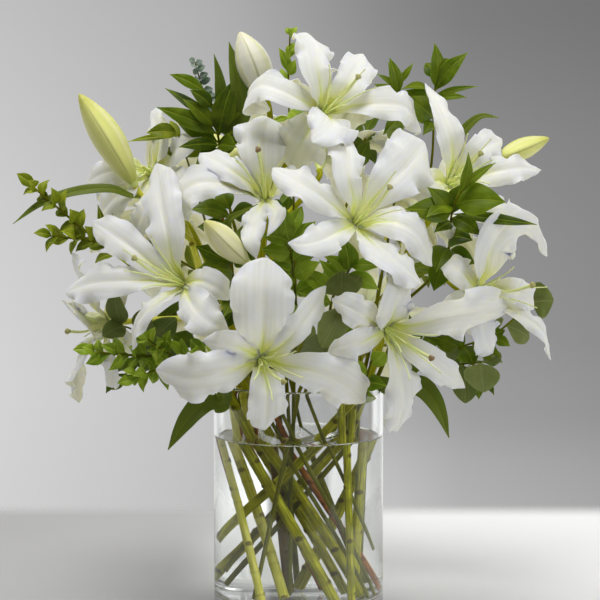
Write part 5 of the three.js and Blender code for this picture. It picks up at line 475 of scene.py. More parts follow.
  [-7.9,-14.3,444.5,1.3,-22,431.8,13,3,0.0,-0.95,0.33],
  [-7.2,-13.9,428.3,-4.8,-30,410.1,13,3,0.0,-0.95,0.33],
  [-7.6,-14.2,438.4,-24.9,-24,433.6,5,2,0.0,-0.95,0.33],
  [-8.6,-14.7,458.6,-16.3,-4,465.4,7,2,0.0,-0.95,0.33],
 ]},
 'ruscus_branch_centre': {'kind':'ruscus','wood':'green','tubes':[
  [[[60,-20.4,56],[6,-54.1,200],[22,-44,226]],1.7],
  [[[22,-44,226],[25.2,-50.5,250.1],[28.2,-65.9,278.7],[31.7,-72.4,289.7],[43.4,-85.3,309.5],[45.4,-88,315.8]],1.5],
  [[[22,-44,226],[40,-24.6,199.1],[47.1,-20.6,192.9],[54.5,-22.4,189.1],[57.4,-26.3,189.9],[58.1,-31,193.1],[59.4,-46.7,212.6],[63.6,-58,229.1]],1.4],
 ],'leaves':[
  [42.5,-84.3,308,37.5,-100,336.7,15,4,0.0,-0.95,0.33],
  [41.6,-83.3,306.4,21.5,-102,321.7,9,3,0.0,-0.95,0.33],
  [37.1,-78.3,298.8,18.2,-96,318,10,3,0.0,-0.95,0.33],
  [44.1,-86.2,311.6,69.5,-98,313,10,3,0.0,-0.95,0.33],
  [40.7,-82.3,304.9,68.3,-88,292.9,13,4,0.0,-0.95,0.33],
  [31.1,-71.3,287.9,1.3,-80,310.2,13,4,0.0,-0.95,0.33],
  [28.2,-65.9,278.7,1.3,-76,289.4,12,4,0.0,-0.95,0.33],
  [44.1,-86.2,311.6,48.9,-84,326.6,8,2,0.0,-0.95,0.33],
  [27.5,-62,271.6,45.6,-84,264.4,15,4,0.0,-0.95,0.33],
  [38,-79.3,300.4,15.1,-62,297,14,3,0.0,-0.95,0.33],
  [25.6,-52.4,253.6,56.3,-70,245.9,15,4,0.0,-0.95,0.33],
  [59,-42.8,207.7,73.7,-66,209.1,13,3,0.0,-0.95,0.33],
  [60.2,-49,215.9,37.6,-62,224.3,14,3,0.0,-0.95,0.33],
  [62.3,-54.6,224.1,76,-50,235.2,13,3,0.0,-0.95,0.33],
  [58.1,-31,193.1,36.2,-46,199.7,10,3,0.0,-0.95,0.33],
  [50.8,-21.5,191,66.3,-34,192.9,10,3,0.0,-0.95,0.33],
 ]},
 'ruscus_branch_centre_left': {'kind':'ruscus','wood':'green','tubes':[
  [[[62.6,-22.6,14.5],[-23.2,-45.5,200],[-44.4,-43,242.2]],1.8],
  [[[-44.4,-43,242.2],[-52.4,-53.8,272.7],[-56.4,-56.5,299],[-57.9,-51.8,325.6],[-59.5,-40,358.1]],1.5],
 ],'leaves':[
  [-59.2,-42.1,352.4,-91.9,-52,360.3,17,3,0.1,-0.75,0.66],
  [-59.3,-41.4,354.3,-31.6,-44,356.5,16,3,0.0,-0.82,0.57],
  [-58.6,-46.9,339,-86.4,-58,345,17,3,0.0,-0.88,0.48],
  [-59.5,-40,358.1,-70.3,-30,377,14,3,0.0,-0.95,0.33],
  [-58,-51.1,327.5,-31.5,-50,336,15,3,0.0,-0.88,0.48],
  [-57.2,-54,313.3,-84.6,-80,328.9,19,4,0.0,-0.95,0.33],
  [-56.7,-55.4,305.1,-83.5,-86,310.6,22,4,0.0,-0.95,0.33],
  [-56.1,-56.3,296.9,-73.3,-88,290.3,22,4,0.0,-0.92,0.39],
  [-57.5,-53.2,317.4,-36.4,-66,314.5,16,3,0.0,-0.95,0.33],
  [-55.2,-55.7,290.9,-63.2,-88,269.9,14,3,0.0,-0.95,0.33],
  [-52.4,-53.8,272.7,-70.2,-84,254.2,14,3,0.0,-0.95,0.33],
 ]},
 'eucalyptus_small_branch': {'kind':'blue','wood':'wood','tubes':[
  [[[14.4,22.4,14.5],[-46.9,42,200],[-50.3,42.7,213.3],[-59.8,37,283.4],[-70,24,360]],1.7],
  [[[-70,24,360],[-77.8,11.3,431.5],[-91.6,4,487.6]],1.1],
 ],'leaves':[
  [-81.6,9.3,447,-70.4,1.4,448.1,7.5,1,0.3,-0.88,0.37],
  [-82.1,9,448.9,-86.8,4.3,451.3,7.4,1,-0.3,-0.88,0.37],
  [-83,8.5,452.8,-71.8,-1.3,454.4,7.3,1,0.3,-0.88,0.37],
  [-83.5,8.3,454.7,-87.8,3.7,458.4,7.2,1,-0.3,-0.88,0.37],
  [-84.5,7.8,458.6,-73.8,0.1,458.2,7.1,1,0.3,-0.88,0.37],
  [-84.9,7.5,460.5,-88.9,0,465,7,1,-0.3,-0.88,0.37],
  [-85.4,7.3,462.4,-75.9,2.5,463.6,6.9,1,0.3,-0.88,0.37],
  [-86.4,6.8,466.3,-90.2,-0.6,467,6.8,1,-0.3,-0.88,0.37],
  [-86.8,6.5,468.2,-78,2.3,473.2,6.7,1,0.3,-0.88,0.37],
  [-87.8,6,472.1,-91.8,1.2,472.1,6.6,1,-0.3,-0.88,0.37],
  [-88.3,5.8,474,-80.1,-0.9,477.5,6.5,1,0.3,-0.88,0.37],
  [-89.2,5.3,477.9,-93.5,2.8,480.4,6.4,1,-0.3,-0.88,0.37],
  [-89.7,5,479.8,-82.5,-0.2,483.9,6.3,1,0.3,-0.88,0.37],
  [-90.7,4.5,483.7,-94.9,-1.2,484,6.2,1,-0.3,-0.88,0.37],
  [-91.2,4.2,485.6,-84.9,1.1,488.6,6.1,1,0.3,-0.88,0.37],
  [-91.6,4,487.6,-96.8,0.9,489.5,6,1,-0.3,-0.88,0.37],
 ]},
 'myrtle_branch_back_left': {'kind':'myrtle','wood':'wood','tubes':[
  [[[-39.5,53.5,14.5],[-39.9,53.2,200],[-40,56,232]],2.2],
  [[[-40,56,232],[-52.5,63.5,256.7],[-63.9,71.5,273.6],[-92.6,92.5,295],[-109.4,101.5,304.3],[-134,111.1,314.8],[-160.4,117.8,323.3],[-188,122,330]],1.6],
 ],'leaves':[
  [-79.7,83.1,285.4,-97.6,100,281.5,11,3,0.09,0.3,0.95],
  [-85.4,87.2,289.7,-80.3,93.6,308.7,10.8,3,-0.73,0.68,-0.06],
  [-91.2,91.4,294,-104.3,113.6,290.4,10.7,3,-0.12,0.09,0.99],
  [-96,94.3,296.9,-104.7,89.2,321,10.5,3,-0.39,0.91,0.13],
  [-102.7,97.9,300.6,-117.7,110.8,294,10.3,3,-0.23,0.34,0.91],
  [-109.4,101.5,304.3,-114.2,109.4,323,10.1,3,-0.73,0.52,-0.44],
  [-116.4,104.2,307.3,-125.3,124.5,299.1,10,3,-0.54,0.11,0.83],
  [-123.5,107,310.3,-137.6,95.7,319.3,9.8,3,-0.52,0.81,0.27],
  [-130.5,109.7,313.3,-142.2,120,300.6,9.6,3,-0.45,0.48,0.75],
  [-137.8,112,316,-140,119.1,336.1,9.4,3,-0.77,0.57,-0.28],
  [-145.3,114,318.4,-147.6,132.8,324.3,9.3,3,-0.93,-0.25,0.27],
  [-152.9,115.9,320.9,-163.2,107.1,332.8,9.1,3,-0.65,0.75,0.1],
  [-160.4,117.8,323.3,-171.8,127.3,313,8.9,3,-0.52,0.32,0.79],
  [-168.3,119,325.2,-177.4,116.8,339.1,8.8,3,-0.61,0.75,-0.26],
  [-176.2,120.2,327.1,-189.1,134.3,327.9,8.6,3,0.72,0.7,-0.03],
  [-184.1,121.4,329,-191.4,108.9,338.7,8.4,3,-0.75,0.62,0.24],
  [-186,121.7,329.5,-204.3,123.7,333.4,8.2,2,0.15,0.96,0.23],
 ]},
 'myrtle_branch_back_right': {'kind':'myrtle','wood':'wood','tubes':[
  [[[42,51,14.5],[44,48,200],[52,58,232]],2.2],
  [[[52,58,232],[58.9,65.2,249.5],[65,71,259.9],[76.9,81.3,272.6],[91.4,92.2,282.3],[108,102.5,289.7],[132.8,113.5,296.8],[159.2,121.3,303.4],[186,126,312]],1.6],
 ],'leaves':[
  [85.6,87.9,278.4,85.9,92.6,305.4,11,3,0.62,0.76,-0.19],
  [90,91.2,281.3,103.9,105.4,272.1,10.8,3,0.18,0.46,0.87],
  [96.4,95.3,284.5,92.9,116.5,290.4,10.7,3,0.93,-0.01,0.36],
  [101.3,98.4,286.7,118.5,98.2,293.1,10.5,3,0.04,0.94,0.35],
  [108,102.5,289.7,118.1,100.2,305,10.3,3,0.44,0.88,-0.15],
  [113.3,104.8,291.2,123.1,111.1,279.3,10.1,3,0.53,0.61,0.59],
  [120.4,108,293.2,125.3,125.6,305.4,10,3,0.91,-0.07,-0.42],
  [127.5,111.1,295.2,139.3,108.5,282.4,9.8,3,0.59,0.71,0.38],
  [132.8,113.5,296.8,141.2,120.3,312.1,9.6,3,0.6,0.6,-0.53],
  [140.3,115.7,298.7,152.9,130.4,287.3,9.4,3,0.45,0.27,0.85],
  [147.9,117.9,300.6,149.7,136.4,305.1,9.3,3,0.99,-0.14,-0.05],
  [153.5,119.6,302,169.9,112.7,294.7,9.1,3,0.58,0.66,0.47],
  [161.1,121.6,304.1,164.6,124,322,8.9,3,0.79,0.59,-0.17],
  [168.8,123,306.5,182.6,128.1,294.7,8.8,3,0.45,0.47,0.76],
  [174.5,124,308.3,177.6,135,321.4,8.6,3,0.95,0.15,-0.27],
  [182.2,125.3,310.8,194.8,113.9,308.6,8.4,3,0.67,0.63,0.39],
  [184.1,125.7,311.4,201.8,127.8,317.6,8.2,2,-0.17,0.97,0.16],
 ]},
 'eucalyptus_branch_back': {'kind':'euca','wood':'green','tubes':[
  [[[34,50.3,14.5],[-8.1,58.7,200]],1.8],
  [[[-8.1,58.7,200],[-3.6,71.1,213.6],[-1,80.8,220.9],[0.9,92.1,225.2],[2.5,111,226.6],[2.8,131,224],[1.8,157.7,216.8],[-0.9,183.5,206],[-4,202,196]],1.6],
 ],'leaves':[
  [2.5,113,226.3,24.1,124.2,218.2,26,3,-0.22,0.87,0.44],
  [2.7,125,224.8,-17.8,144.7,222.5,25.2,3,0.51,0.73,0.45],
  [2.5,137.2,222.3,3.3,157,242.5,24.4,3,0.05,-0.69,0.72],
  [2.1,149.5,219,4,155.4,195.6,23.6,3,-0.03,0.98,0.18],
  [1.4,161.4,215.2,19,182.4,215.1,22.8,3,-0.73,0.64,0.22],
  [0.1,174.3,209.8,-15.2,176.4,202.5,21.9,3,0.02,0.99,0.12],
  [-1.2,185.3,205,5.8,201.1,212.7,21.1,3,0.08,-0.43,0.9],
  [-3.1,196.4,199,-14.2,197.6,182.5,20.3,3,-0.06,0.99,0.1],
  [-3.7,200.2,197,-7.3,218.6,186.1,19.5,2,0.04,0.52,0.85],
 ]},
 'ruscus_branch_back': {'kind':'ruscus','wood':'green','tubes':[
  [[[-0.5,41.8,14.5],[-11.1,40.4,200],[4,70,232]],1.9],
  [[[4,70,232],[-2,88.8,252],[-6.2,109.2,270.6],[-12.3,176.7,320.3],[-12,206,350]],1.6],
  [[[4,70,232],[31.1,59.8,318.8],[39.4,60.5,344.9],[45.5,64.8,363.6],[51.1,73.7,380.4],[57.4,91.9,399.2],[63.5,124.3,424.6],[64,152,446]],1.6],
 ],'leaves':[
  [-7.7,125.3,282.5,-13.4,157.4,272.6,15,3,0.06,0.31,0.95],
  [-8.2,131.7,287.2,-10.8,129.7,327.9,14.7,3,-0.01,1.0,0.05],
  [-8.8,138.2,291.9,19.1,151.5,313.7,14.4,3,-0.58,0.74,0.34],
  [-9.6,146.2,297.8,-35.4,159.3,314.8,14.1,3,0.61,0.7,0.35],
  [-10.2,152.6,302.6,9.4,175.8,296.7,13.8,3,-0.4,0.54,0.74],
  [-10.7,159.1,307.3,-28.8,166.4,327.9,13.6,3,0.45,0.89,0.1],
  [-11.5,167.1,313.2,8,187.8,323.3,13.3,3,-0.76,0.51,0.41],
  [-12.1,173.5,317.9,-27.6,199.2,315.2,13,3,0.46,0.3,0.84],
  [-12.3,179.7,323.3,5.3,198.3,318.8,12.7,3,-0.46,0.59,0.67],
  [-12.2,185.5,329.2,1.6,207,334,12.4,3,-0.62,0.2,0.76],
  [-12.2,191.4,335.2,-24.5,212.4,335.6,12.1,3,0.48,0.17,0.86],
  [-12.1,197.2,341.1,-8.7,190.3,364,11.8,3,-0.05,0.95,0.31],
  [-12,203.1,347,-28.3,216.8,355.9,11.5,3,0.69,0.41,0.6],
  [-12,204.5,348.5,-10.6,221.5,369.8,11.2,2,-0.2,0.78,-0.6],
  [54.5,83.5,390.5,65.4,78.8,417.4,13,3,-0.04,0.98,0.17],
  [56.9,90.5,397.7,56,120.1,395.4,12.7,3,0.29,0.09,0.95],
  [58.3,96.7,403,48.3,110.1,424.1,12.3,3,0.83,0.54,0.11],
  [59.9,104.8,409.3,73.3,129.6,398.9,12,3,0.01,0.38,0.93],
  [61.1,111.3,414.4,85,128.5,423.3,11.7,3,-0.62,0.49,0.61],
  [62.6,119.4,420.8,46.5,133.4,436.6,11.4,3,0.76,0.56,0.32],
  [63.5,125.9,425.8,79.4,130.8,446.3,11.1,3,-0.41,0.91,0.08],
  [63.7,134.1,432.1,44.4,150.6,436.5,10.7,3,0.55,0.49,0.68],
  [63.8,140.6,437.2,74.1,160.7,440.7,10.4,3,-0.53,0.09,0.85],
  [63.9,148.7,443.5,62.4,145.3,462.1,10.1,3,0.07,0.98,0.17],
  [64,150.4,444.7,62.3,169.4,459.9,9.8,2,0.85,-0.28,0.45],
 ]},
 'ruscus_branch_back_left': {'kind':'ruscus','wood':'green','tubes':[
  [[[-54,38,14.5],[-55.1,33.5,200]],1.9],
  [[[-55.1,33.5,200],[-61.3,51.1,217.6],[-66.8,59.7,224.2],[-75,68,228.2],[-90.3,79.2,229.8],[-107.7,88.7,227.3],[-125.8,96.3,221.2],[-149.4,103.9,208.5],[-166,108,196]],1.6],
 ],'leaves':[
  [-86.9,76.7,229.5,-96.8,105.2,207.5,14,3,-0.62,0.37,0.7],
  [-94.2,81.3,229.3,-119.9,78.5,238.5,13.7,3,-0.12,0.99,0.08],
  [-100,84.5,228.4,-98.3,120.1,242.8,13.4,3,-1.0,0.04,0.03],
  [-107.7,88.7,227.3,-128,85.1,214.6,13.1,3,-0.53,0.77,0.36],
  [-114.9,91.8,224.9,-121.3,115.4,216.7,12.8,3,0.58,0.54,0.61],
  [-122.1,94.8,222.4,-150.5,98.8,232.9,12.5,3,0.26,0.27,0.93],
  [-127.6,96.9,220.2,-146.5,122.6,221.6,12.2,3,0.55,0.41,0.72],
  [-134.8,99.2,216.3,-156.3,86.7,210.3,12,3,-0.6,0.8,0.04],
  [-142.1,101.6,212.4,-152.3,126.5,198.4,11.7,3,0.59,0.6,0.54],
  [-149.4,103.9,208.5,-168.2,93.6,203.9,11.4,3,-0.48,0.86,-0.18],
  [-156,105.5,203.5,-173.9,124.8,199.3,11.1,3,0.31,0.5,0.81],
  [-162.7,107.2,198.5,-176.8,93.8,184.2,10.8,3,-0.63,0.77,-0.11],
  [-164.3,107.6,197.2,-183.5,111.5,180.2,10.5,2,-0.3,0.81,0.51],
 ]},
 'ruscus_branch_back_right': {'kind':'ruscus','wood':'green','tubes':[
  [[[54,38,14.5],[55.9,34.5,200]],1.9],
  [[[55.9,34.5,200],[55.1,41.6,211.4],[56.6,45.5,216.3],[61.9,54,222.9],[69.5,62.4,227.1],[84.6,73.5,229.1],[102.1,82.8,227.3],[126.9,91.8,220.4],[151.3,97.5,208.5],[168,100,196]],1.6],
 ],'leaves':[
  [84.6,73.5,229.1,119.3,65.9,243.2,14,3,0.24,0.97,0.03],
  [92.4,77.7,228.3,96.1,106.7,212.2,13.7,3,0.73,0.3,0.62],
  [100.2,81.8,227.5,106.2,101.5,253,13.4,3,0.75,0.39,-0.54],
  [105.9,84.2,226.2,118.8,88.6,202.2,13.1,3,0.73,0.59,0.34],
  [113.6,87,224.1,135.7,81.8,242.4,12.8,3,0.49,0.84,-0.23],
  [123.1,90.5,221.4,133.4,111.9,206.5,12.5,3,0.79,0.1,0.61],
  [128.8,92.3,219.5,152,106.1,240.9,12.2,3,-0.72,0.33,0.61],
  [136.3,94,215.8,154.6,90,198.7,12,3,0.64,0.7,0.32],
  [143.8,95.8,212.2,169.1,92,224.1,11.7,3,0.32,0.91,-0.25],
  [151.3,97.5,208.5,155.5,109.3,191.5,11.4,3,-0.45,0.81,0.38],
  [158,98.5,203.5,177.6,110.1,209.4,11.1,3,-0.43,0.4,0.81],
  [164.7,99.5,198.5,171.1,90.2,175.8,10.8,3,0.78,0.63,-0.05],
  [166.3,99.8,197.2,185.6,101.6,180,10.5,2,0.35,0.81,0.46],
 ]},
}

# ------------------------------------------------------------------ small geometry tools
def unit(v):
    v = np.asarray(v, float)
    return v / max(np.linalg.norm(v), 1e-9)

def units(a):
    return a / np.maximum(np.linalg.norm(a, axis=-1, keepdims=True), 1e-9)

def sstep(x, a, b):
    t = np.clip((np.asarray(x, float) - a) / (b - a), 0, 1)
    return t * t * (3 - 2 * t)

def seed_of(text):
    return sum((i + 1) * ord(c) for i, c in enumerate(text)) % 100003

def spline(pts, n):
    """n + 1 points, evenly spaced, on a centripetal Catmull-Rom curve through pts"""
    p = np.asarray(pts, float)
    if len(p) == 2:
        return p[0] + (p[1] - p[0]) * np.linspace(0, 1, n + 1)[:, None]
    q = np.vstack([2 * p[0] - p[1], p, 2 * p[-1] - p[-2]])
    k = np.arange(len(p) - 1)
    p0, p1, p2, p3 = (x[:, None, :] for x in (q[k], q[k + 1], q[k + 2], q[k + 3]))
    d = lambda a, b: np.maximum(np.linalg.norm(b - a, axis=2), 1e-6)[:, :, None] ** 0.5
    t1 = d(p0, p1); t2 = t1 + d(p1, p2); t3 = t2 + d(p2, p3)
    t = t1 + (t2 - t1) * np.linspace(0, 1, 24, endpoint=False)[None, :, None]
    A1 = (t1 - t) / t1 * p0 + t / t1 * p1
    A2 = (t2 - t) / (t2 - t1) * p1 + (t - t1) / (t2 - t1) * p2
    A3 = (t3 - t) / (t3 - t2) * p2 + (t - t2) / (t3 - t2) * p3
    B1 = (t2 - t) / t2 * A1 + t / t2 * A2
    B2 = (t3 - t) / (t3 - t1) * A2 + (t - t1) / (t3 - t1) * A3
    dense = np.vstack([((t2 - t) / (t2 - t1) * B1 + (t - t1) / (t2 - t1) * B2).reshape(-1, 3), p[-1]])
    s = np.r_[0, np.cumsum(np.linalg.norm(np.diff(dense, axis=0), axis=1))]
    u = np.linspace(0, s[-1], n + 1)
    return np.stack([np.interp(u, s, dense[:, i]) for i in range(3)], 1)

def length(p):
    return float(np.linalg.norm(np.diff(p, axis=0), axis=1).sum())

def knots(table, s):
    """smooth curve through (position, value) pairs"""
    t = np.array(table, float)
    fine = np.linspace(t[0, 0], t[-1, 0], 400)
    v = np.interp(fine, t[:, 0], t[:, 1])
    w = np.hanning(25); w /= w.sum()
    v = np.convolve(np.r_[np.full(12, v[0]), v, np.full(12, v[-1])], w, "valid")
    return np.interp(s, fine, v)

class Piece:
    """gathers surfaces of one physical piece, then makes its mesh"""
    def __init__(self, name):
        self.name, self.v, self.q, self.t, self.sv, self.mm, self.mq, self.mt, self.n = name, [], [], [], [], [], [], [], 0
        self.mats = []
    def slot(self, mat):
        if mat not in self.mats:
            self.mats.append(mat)
        return self.mats.index(mat)
    def add(self, v, sv, mm, mat, quads=None, tris=None):
        k = self.slot(mat)
        v = np.asarray(v, float).reshape(-1, 3)
        self.v.append(v); self.sv.append(np.asarray(sv, float).reshape(-1, 3)); self.mm.append(np.asarray(mm, float).reshape(-1, 3))
        if quads is not None and len(quads):
            self.q.append(np.asarray(quads) + self.n); self.mq.append(np.full(len(quads), k))
        if tris is not None and len(tris):
            self.t.append(np.asarray(tris) + self.n); self.mt.append(np.full(len(tris), k))
        self.n += len(v)
    def make(self, sharp=55):
        V = np.vstack(self.v) * 0.001
        q = np.vstack(self.q) if self.q else np.zeros((0, 4), int)
        t = np.vstack(self.t) if self.t else np.zeros((0, 3), int)
        me = bpy.data.meshes.new(self.name)
        me.vertices.add(len(V)); me.vertices.foreach_set("co", V.astype(np.float32).ravel())
        nl = len(q) * 4 + len(t) * 3
        me.loops.add(nl); me.loops.foreach_set("vertex_index", np.r_[q.ravel(), t.ravel()].astype(np.int32))
        me.polygons.add(len(q) + len(t))
        starts = np.r_[np.arange(len(q)) * 4, len(q) * 4 + np.arange(len(t)) * 3].astype(np.int32)
        me.polygons.foreach_set("loop_start", starts)
        me.polygons.foreach_set("material_index", np.concatenate([*self.mq, *self.mt]).astype(np.int32))
        me.polygons.foreach_set("use_smooth", np.ones(len(q) + len(t), bool))
        for name, data in (("sv", self.sv), ("mm", self.mm)):
            a = me.attributes.new(name, "FLOAT_VECTOR", "POINT")
            a.data.foreach_set("vector", np.vstack(data).astype(np.float32).ravel())
        me.update(calc_edges=True)
        me.validate()
        for m in self.mats:
            me.materials.append(m)
        me.set_sharp_from_angle(angle=math.radians(sharp))
        ob = bpy.data.objects.new(self.name, me)
        bpy.context.scene.collection.objects.link(ob)
        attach(ob, "root")
        return ob

def blade(piece, P, tin, tout, s, v, along, across, seed, mat):
    """closed thin solid from a grid of points P[i, j]; tin and tout are the half thicknesses on its face and its back"""
    n, m = P.shape[:2]
    N = units(np.cross(np.gradient(P, axis=0), np.gradient(P, axis=1)))
    F, B = P + N * tin[..., None], P - N * tout[..., None]
    S = np.broadcast_to(s, (n, m)); Vv = np.broadcast_to(v, (n, m))
    al = np.broadcast_to(along, (n, m)); ac = np.broadcast_to(across, (n, m))
    sv = np.concatenate([np.stack([S, Vv, np.ones((n, m))], 2).reshape(-1, 3), np.stack([S, Vv, np.zeros((n, m))], 2).reshape(-1, 3)])
    mm = np.stack([al, ac, np.full((n, m), seed)], 2).reshape(-1, 3)
    i, j = np.meshgrid(np.arange(n - 1), np.arange(m - 1), indexing="ij")
    a = (i * m + j).ravel(); o = n * m
    front = np.stack([a, a + m, a + m + 1, a + 1], 1)
    back = np.stack([a, a + 1, a + m + 1, a + m], 1) + o
    r = np.arange(n - 1)
    e0 = np.stack([r * m, r * m + o, (r + 1) * m + o, (r + 1) * m], 1)
    e1 = np.stack([r * m + m - 1, (r + 1) * m + m - 1, (r + 1) * m + m - 1 + o, r * m + m - 1 + o], 1)
    c = np.arange(m - 1)
    e2 = np.stack([c, c + 1, c + 1 + o, c + o], 1)
    e3 = np.stack([(n - 1) * m + c, (n - 1) * m + c + o, (n - 1) * m + c + 1 + o, (n - 1) * m + c + 1], 1)
    piece.add(np.concatenate([F.reshape(-1, 3), B.reshape(-1, 3)]), sv, np.concatenate([mm, mm]), mat, quads=np.vstack([front, back, e0, e1, e2, e3]))

def frames(P, start=None):
    """unit tangents and a twist-free pair of normals along P"""
    T = units(np.gradient(P, axis=0))
    ref = start if start is not None else (np.array([0, -1.0, 0]) if abs(T[0][1]) < 0.8 else np.array([1.0, 0, 0]))
    U = np.zeros_like(P)
    u = unit(ref - (ref @ T[0]) * T[0]); U[0] = u
    for k in range(1, len(P)):
        u = unit(u - (u @ T[k]) * T[k]); U[k] = u
    return T, U, np.cross(T, U)

def tube(piece, P, R, sides, mat, seed=0.0, relief=None, start=None, scars=False):
    """closed round tube along P; R is one radius for each point, relief(along, angle) adds to it"""
    n = len(P)
    T, U, W = frames(P, start)
    al = np.r_[0, np.cumsum(np.linalg.norm(np.diff(P, axis=0), axis=1))]
    th = np.arange(sides) * 2 * math.pi / sides
    R = np.broadcast_to(np.asarray(R, float), (n,))
    rr = np.broadcast_to(R.reshape(-1, 1), (n, sides)).copy()
    if relief is not None:
        rr = rr + relief(al[:, None], th[None, :])
    ring = P[:, None] + rr[..., None] * (np.cos(th)[None, :, None] * U[:, None] + np.sin(th)[None, :, None] * W[:, None])
    v = np.vstack([ring.reshape(-1, 3), P[0], P[-1]])
    s = np.broadcast_to((al / al[-1])[:, None], (n, sides)); ang = np.broadcast_to(th / math.pi - 1, (n, sides))
    body = 1.0 - np.clip((rr - np.asarray(R, float).reshape(-1, 1)) / 0.5, 0, 1) if scars else np.ones((n, sides))
    sv = np.vstack([np.stack([s, ang, body], 2).reshape(-1, 3), [0, 0, 2], [1, 0, 2]])
    mm = np.vstack([np.stack([np.broadcast_to(al[:, None], (n, sides)), ang, np.full((n, sides), seed)], 2).reshape(-1, 3), [0, 0, seed], [al[-1], 0, seed]])
    i, j = np.meshgrid(np.arange(n - 1), np.arange(sides), indexing="ij"); j2 = (j + 1) % sides
    q = np.stack([i * sides + j, i * sides + j2, (i + 1) * sides + j2, (i + 1) * sides + j], 2).reshape(-1, 4)
    j = np.arange(sides); j2 = (j + 1) % sides
    caps = np.vstack([np.stack([np.full(sides, n * sides), j2, j], 1), np.stack([np.full(sides, n * sides + 1), (n - 1) * sides + j, (n - 1) * sides + j2], 1)])
    piece.add(v, sv, mm, mat, quads=q, tris=caps)

def lathe(piece, prof, sides, mat):
    """closed solid of revolution round Z; prof runs from the axis round to the axis"""
    prof = np.asarray(prof, float)
    ring = prof[1:-1]; n = len(ring)
    th = np.arange(sides) * 2 * math.pi / sides
    v = np.stack([ring[:, None, 0] * np.cos(th), ring[:, None, 0] * np.sin(th), np.broadcast_to(ring[:, None, 1], (n, sides))], 2).reshape(-1, 3)
    v = np.vstack([v, [0, 0, prof[0, 1]], [0, 0, prof[-1, 1]]])
    i, j = np.meshgrid(np.arange(n - 1), np.arange(sides), indexing="ij"); j2 = (j + 1) % sides
    q = np.stack([i * sides + j, i * sides + j2, (i + 1) * sides + j2, (i + 1) * sides + j], 2).reshape(-1, 4)
    j = np.arange(sides); j2 = (j + 1) % sides
    caps = np.vstack([np.stack([np.full(sides, n * sides), j2, j], 1), np.stack([np.full(sides, n * sides + 1), (n - 1) * sides + j, (n - 1) * sides + j2], 1)])
    sv = np.zeros((len(v), 3)); sv[:, 0] = v[:, 2]
    piece.add(v, sv, v, mat, quads=q, tris=caps)

# ------------------------------------------------------------------ shader tools
class Shader:
    def __init__(self, name, rough=0.5):
        self.m = bpy.data.materials.new(name)
        self.m.use_nodes = True
        self.t = self.m.node_tree
        self.t.nodes.clear()
        self.out = self.t.nodes.new("ShaderNodeOutputMaterial")
        self.p = self.t.nodes.new("ShaderNodeBsdfPrincipled")
        self.t.links.new(self.p.outputs[0], self.out.inputs[0])
        self.p.inputs["Roughness"].default_value = rough
    def feed(self, socket, value):
        if hasattr(value, "is_linked") or isinstance(value, bpy.types.NodeSocket):
            self.t.links.new(value, socket)
        elif value is not None:
            socket.default_value = value
    def attr(self, name):
        a = self.t.nodes.new("ShaderNodeAttribute"); a.attribute_name = name
        s = self.t.nodes.new("ShaderNodeSeparateXYZ")
        self.t.links.new(a.outputs["Vector"], s.inputs[0])
        return s.outputs[0], s.outputs[1], s.outputs[2]
    def math(self, op, a, b=None, c=None, clamp=False):
        n = self.t.nodes.new("ShaderNodeMath"); n.operation = op; n.use_clamp = clamp
        for i, x in enumerate((a, b, c)):
            if x is not None:
                self.feed(n.inputs[i], x)
        return n.outputs[0]
    def step(self, x, a, b, lo=0.0, hi=1.0):
        n = self.t.nodes.new("ShaderNodeMapRange"); n.interpolation_type = "SMOOTHSTEP"
        self.feed(n.inputs[0], x)
        for i, y in enumerate((a, b, lo, hi)):
            n.inputs[i + 1].default_value = y
        return n.outputs[0]
    def mix(self, f, a, b, blend="MIX"):
        n = self.t.nodes.new("ShaderNodeMix"); n.data_type = "RGBA"; n.blend_type = blend
        self.feed(n.inputs[0], f)
        for i, x in ((6, a), (7, b)):
            self.feed(n.inputs[i], (*x, 1.0) if isinstance(x, tuple) and len(x) == 3 else x)
        return n.outputs[2]
    def vec(self, x, y, z):
        n = self.t.nodes.new("ShaderNodeCombineXYZ")
        for i, v in enumerate((x, y, z)):
            self.feed(n.inputs[i], v)
        return n.outputs[0]
    def noise(self, vec, scale, detail=3.0, rough=0.55):
        n = self.t.nodes.new("ShaderNodeTexNoise")
        if vec is not None:
            self.t.links.new(vec, n.inputs["Vector"])
        n.inputs["Scale"].default_value = scale; n.inputs["Detail"].default_value = detail; n.inputs["Roughness"].default_value = rough
        return n.outputs[0]
    def place(self):
        return self.t.nodes.new("ShaderNodeTexCoord").outputs["Object"]
    def bump(self, height, strength, distance):
        n = self.t.nodes.new("ShaderNodeBump")
        n.inputs["Strength"].default_value = strength; n.inputs["Distance"].default_value = distance
        self.t.links.new(height, n.inputs["Height"])
        self.t.links.new(n.outputs[0], self.p.inputs["Normal"])

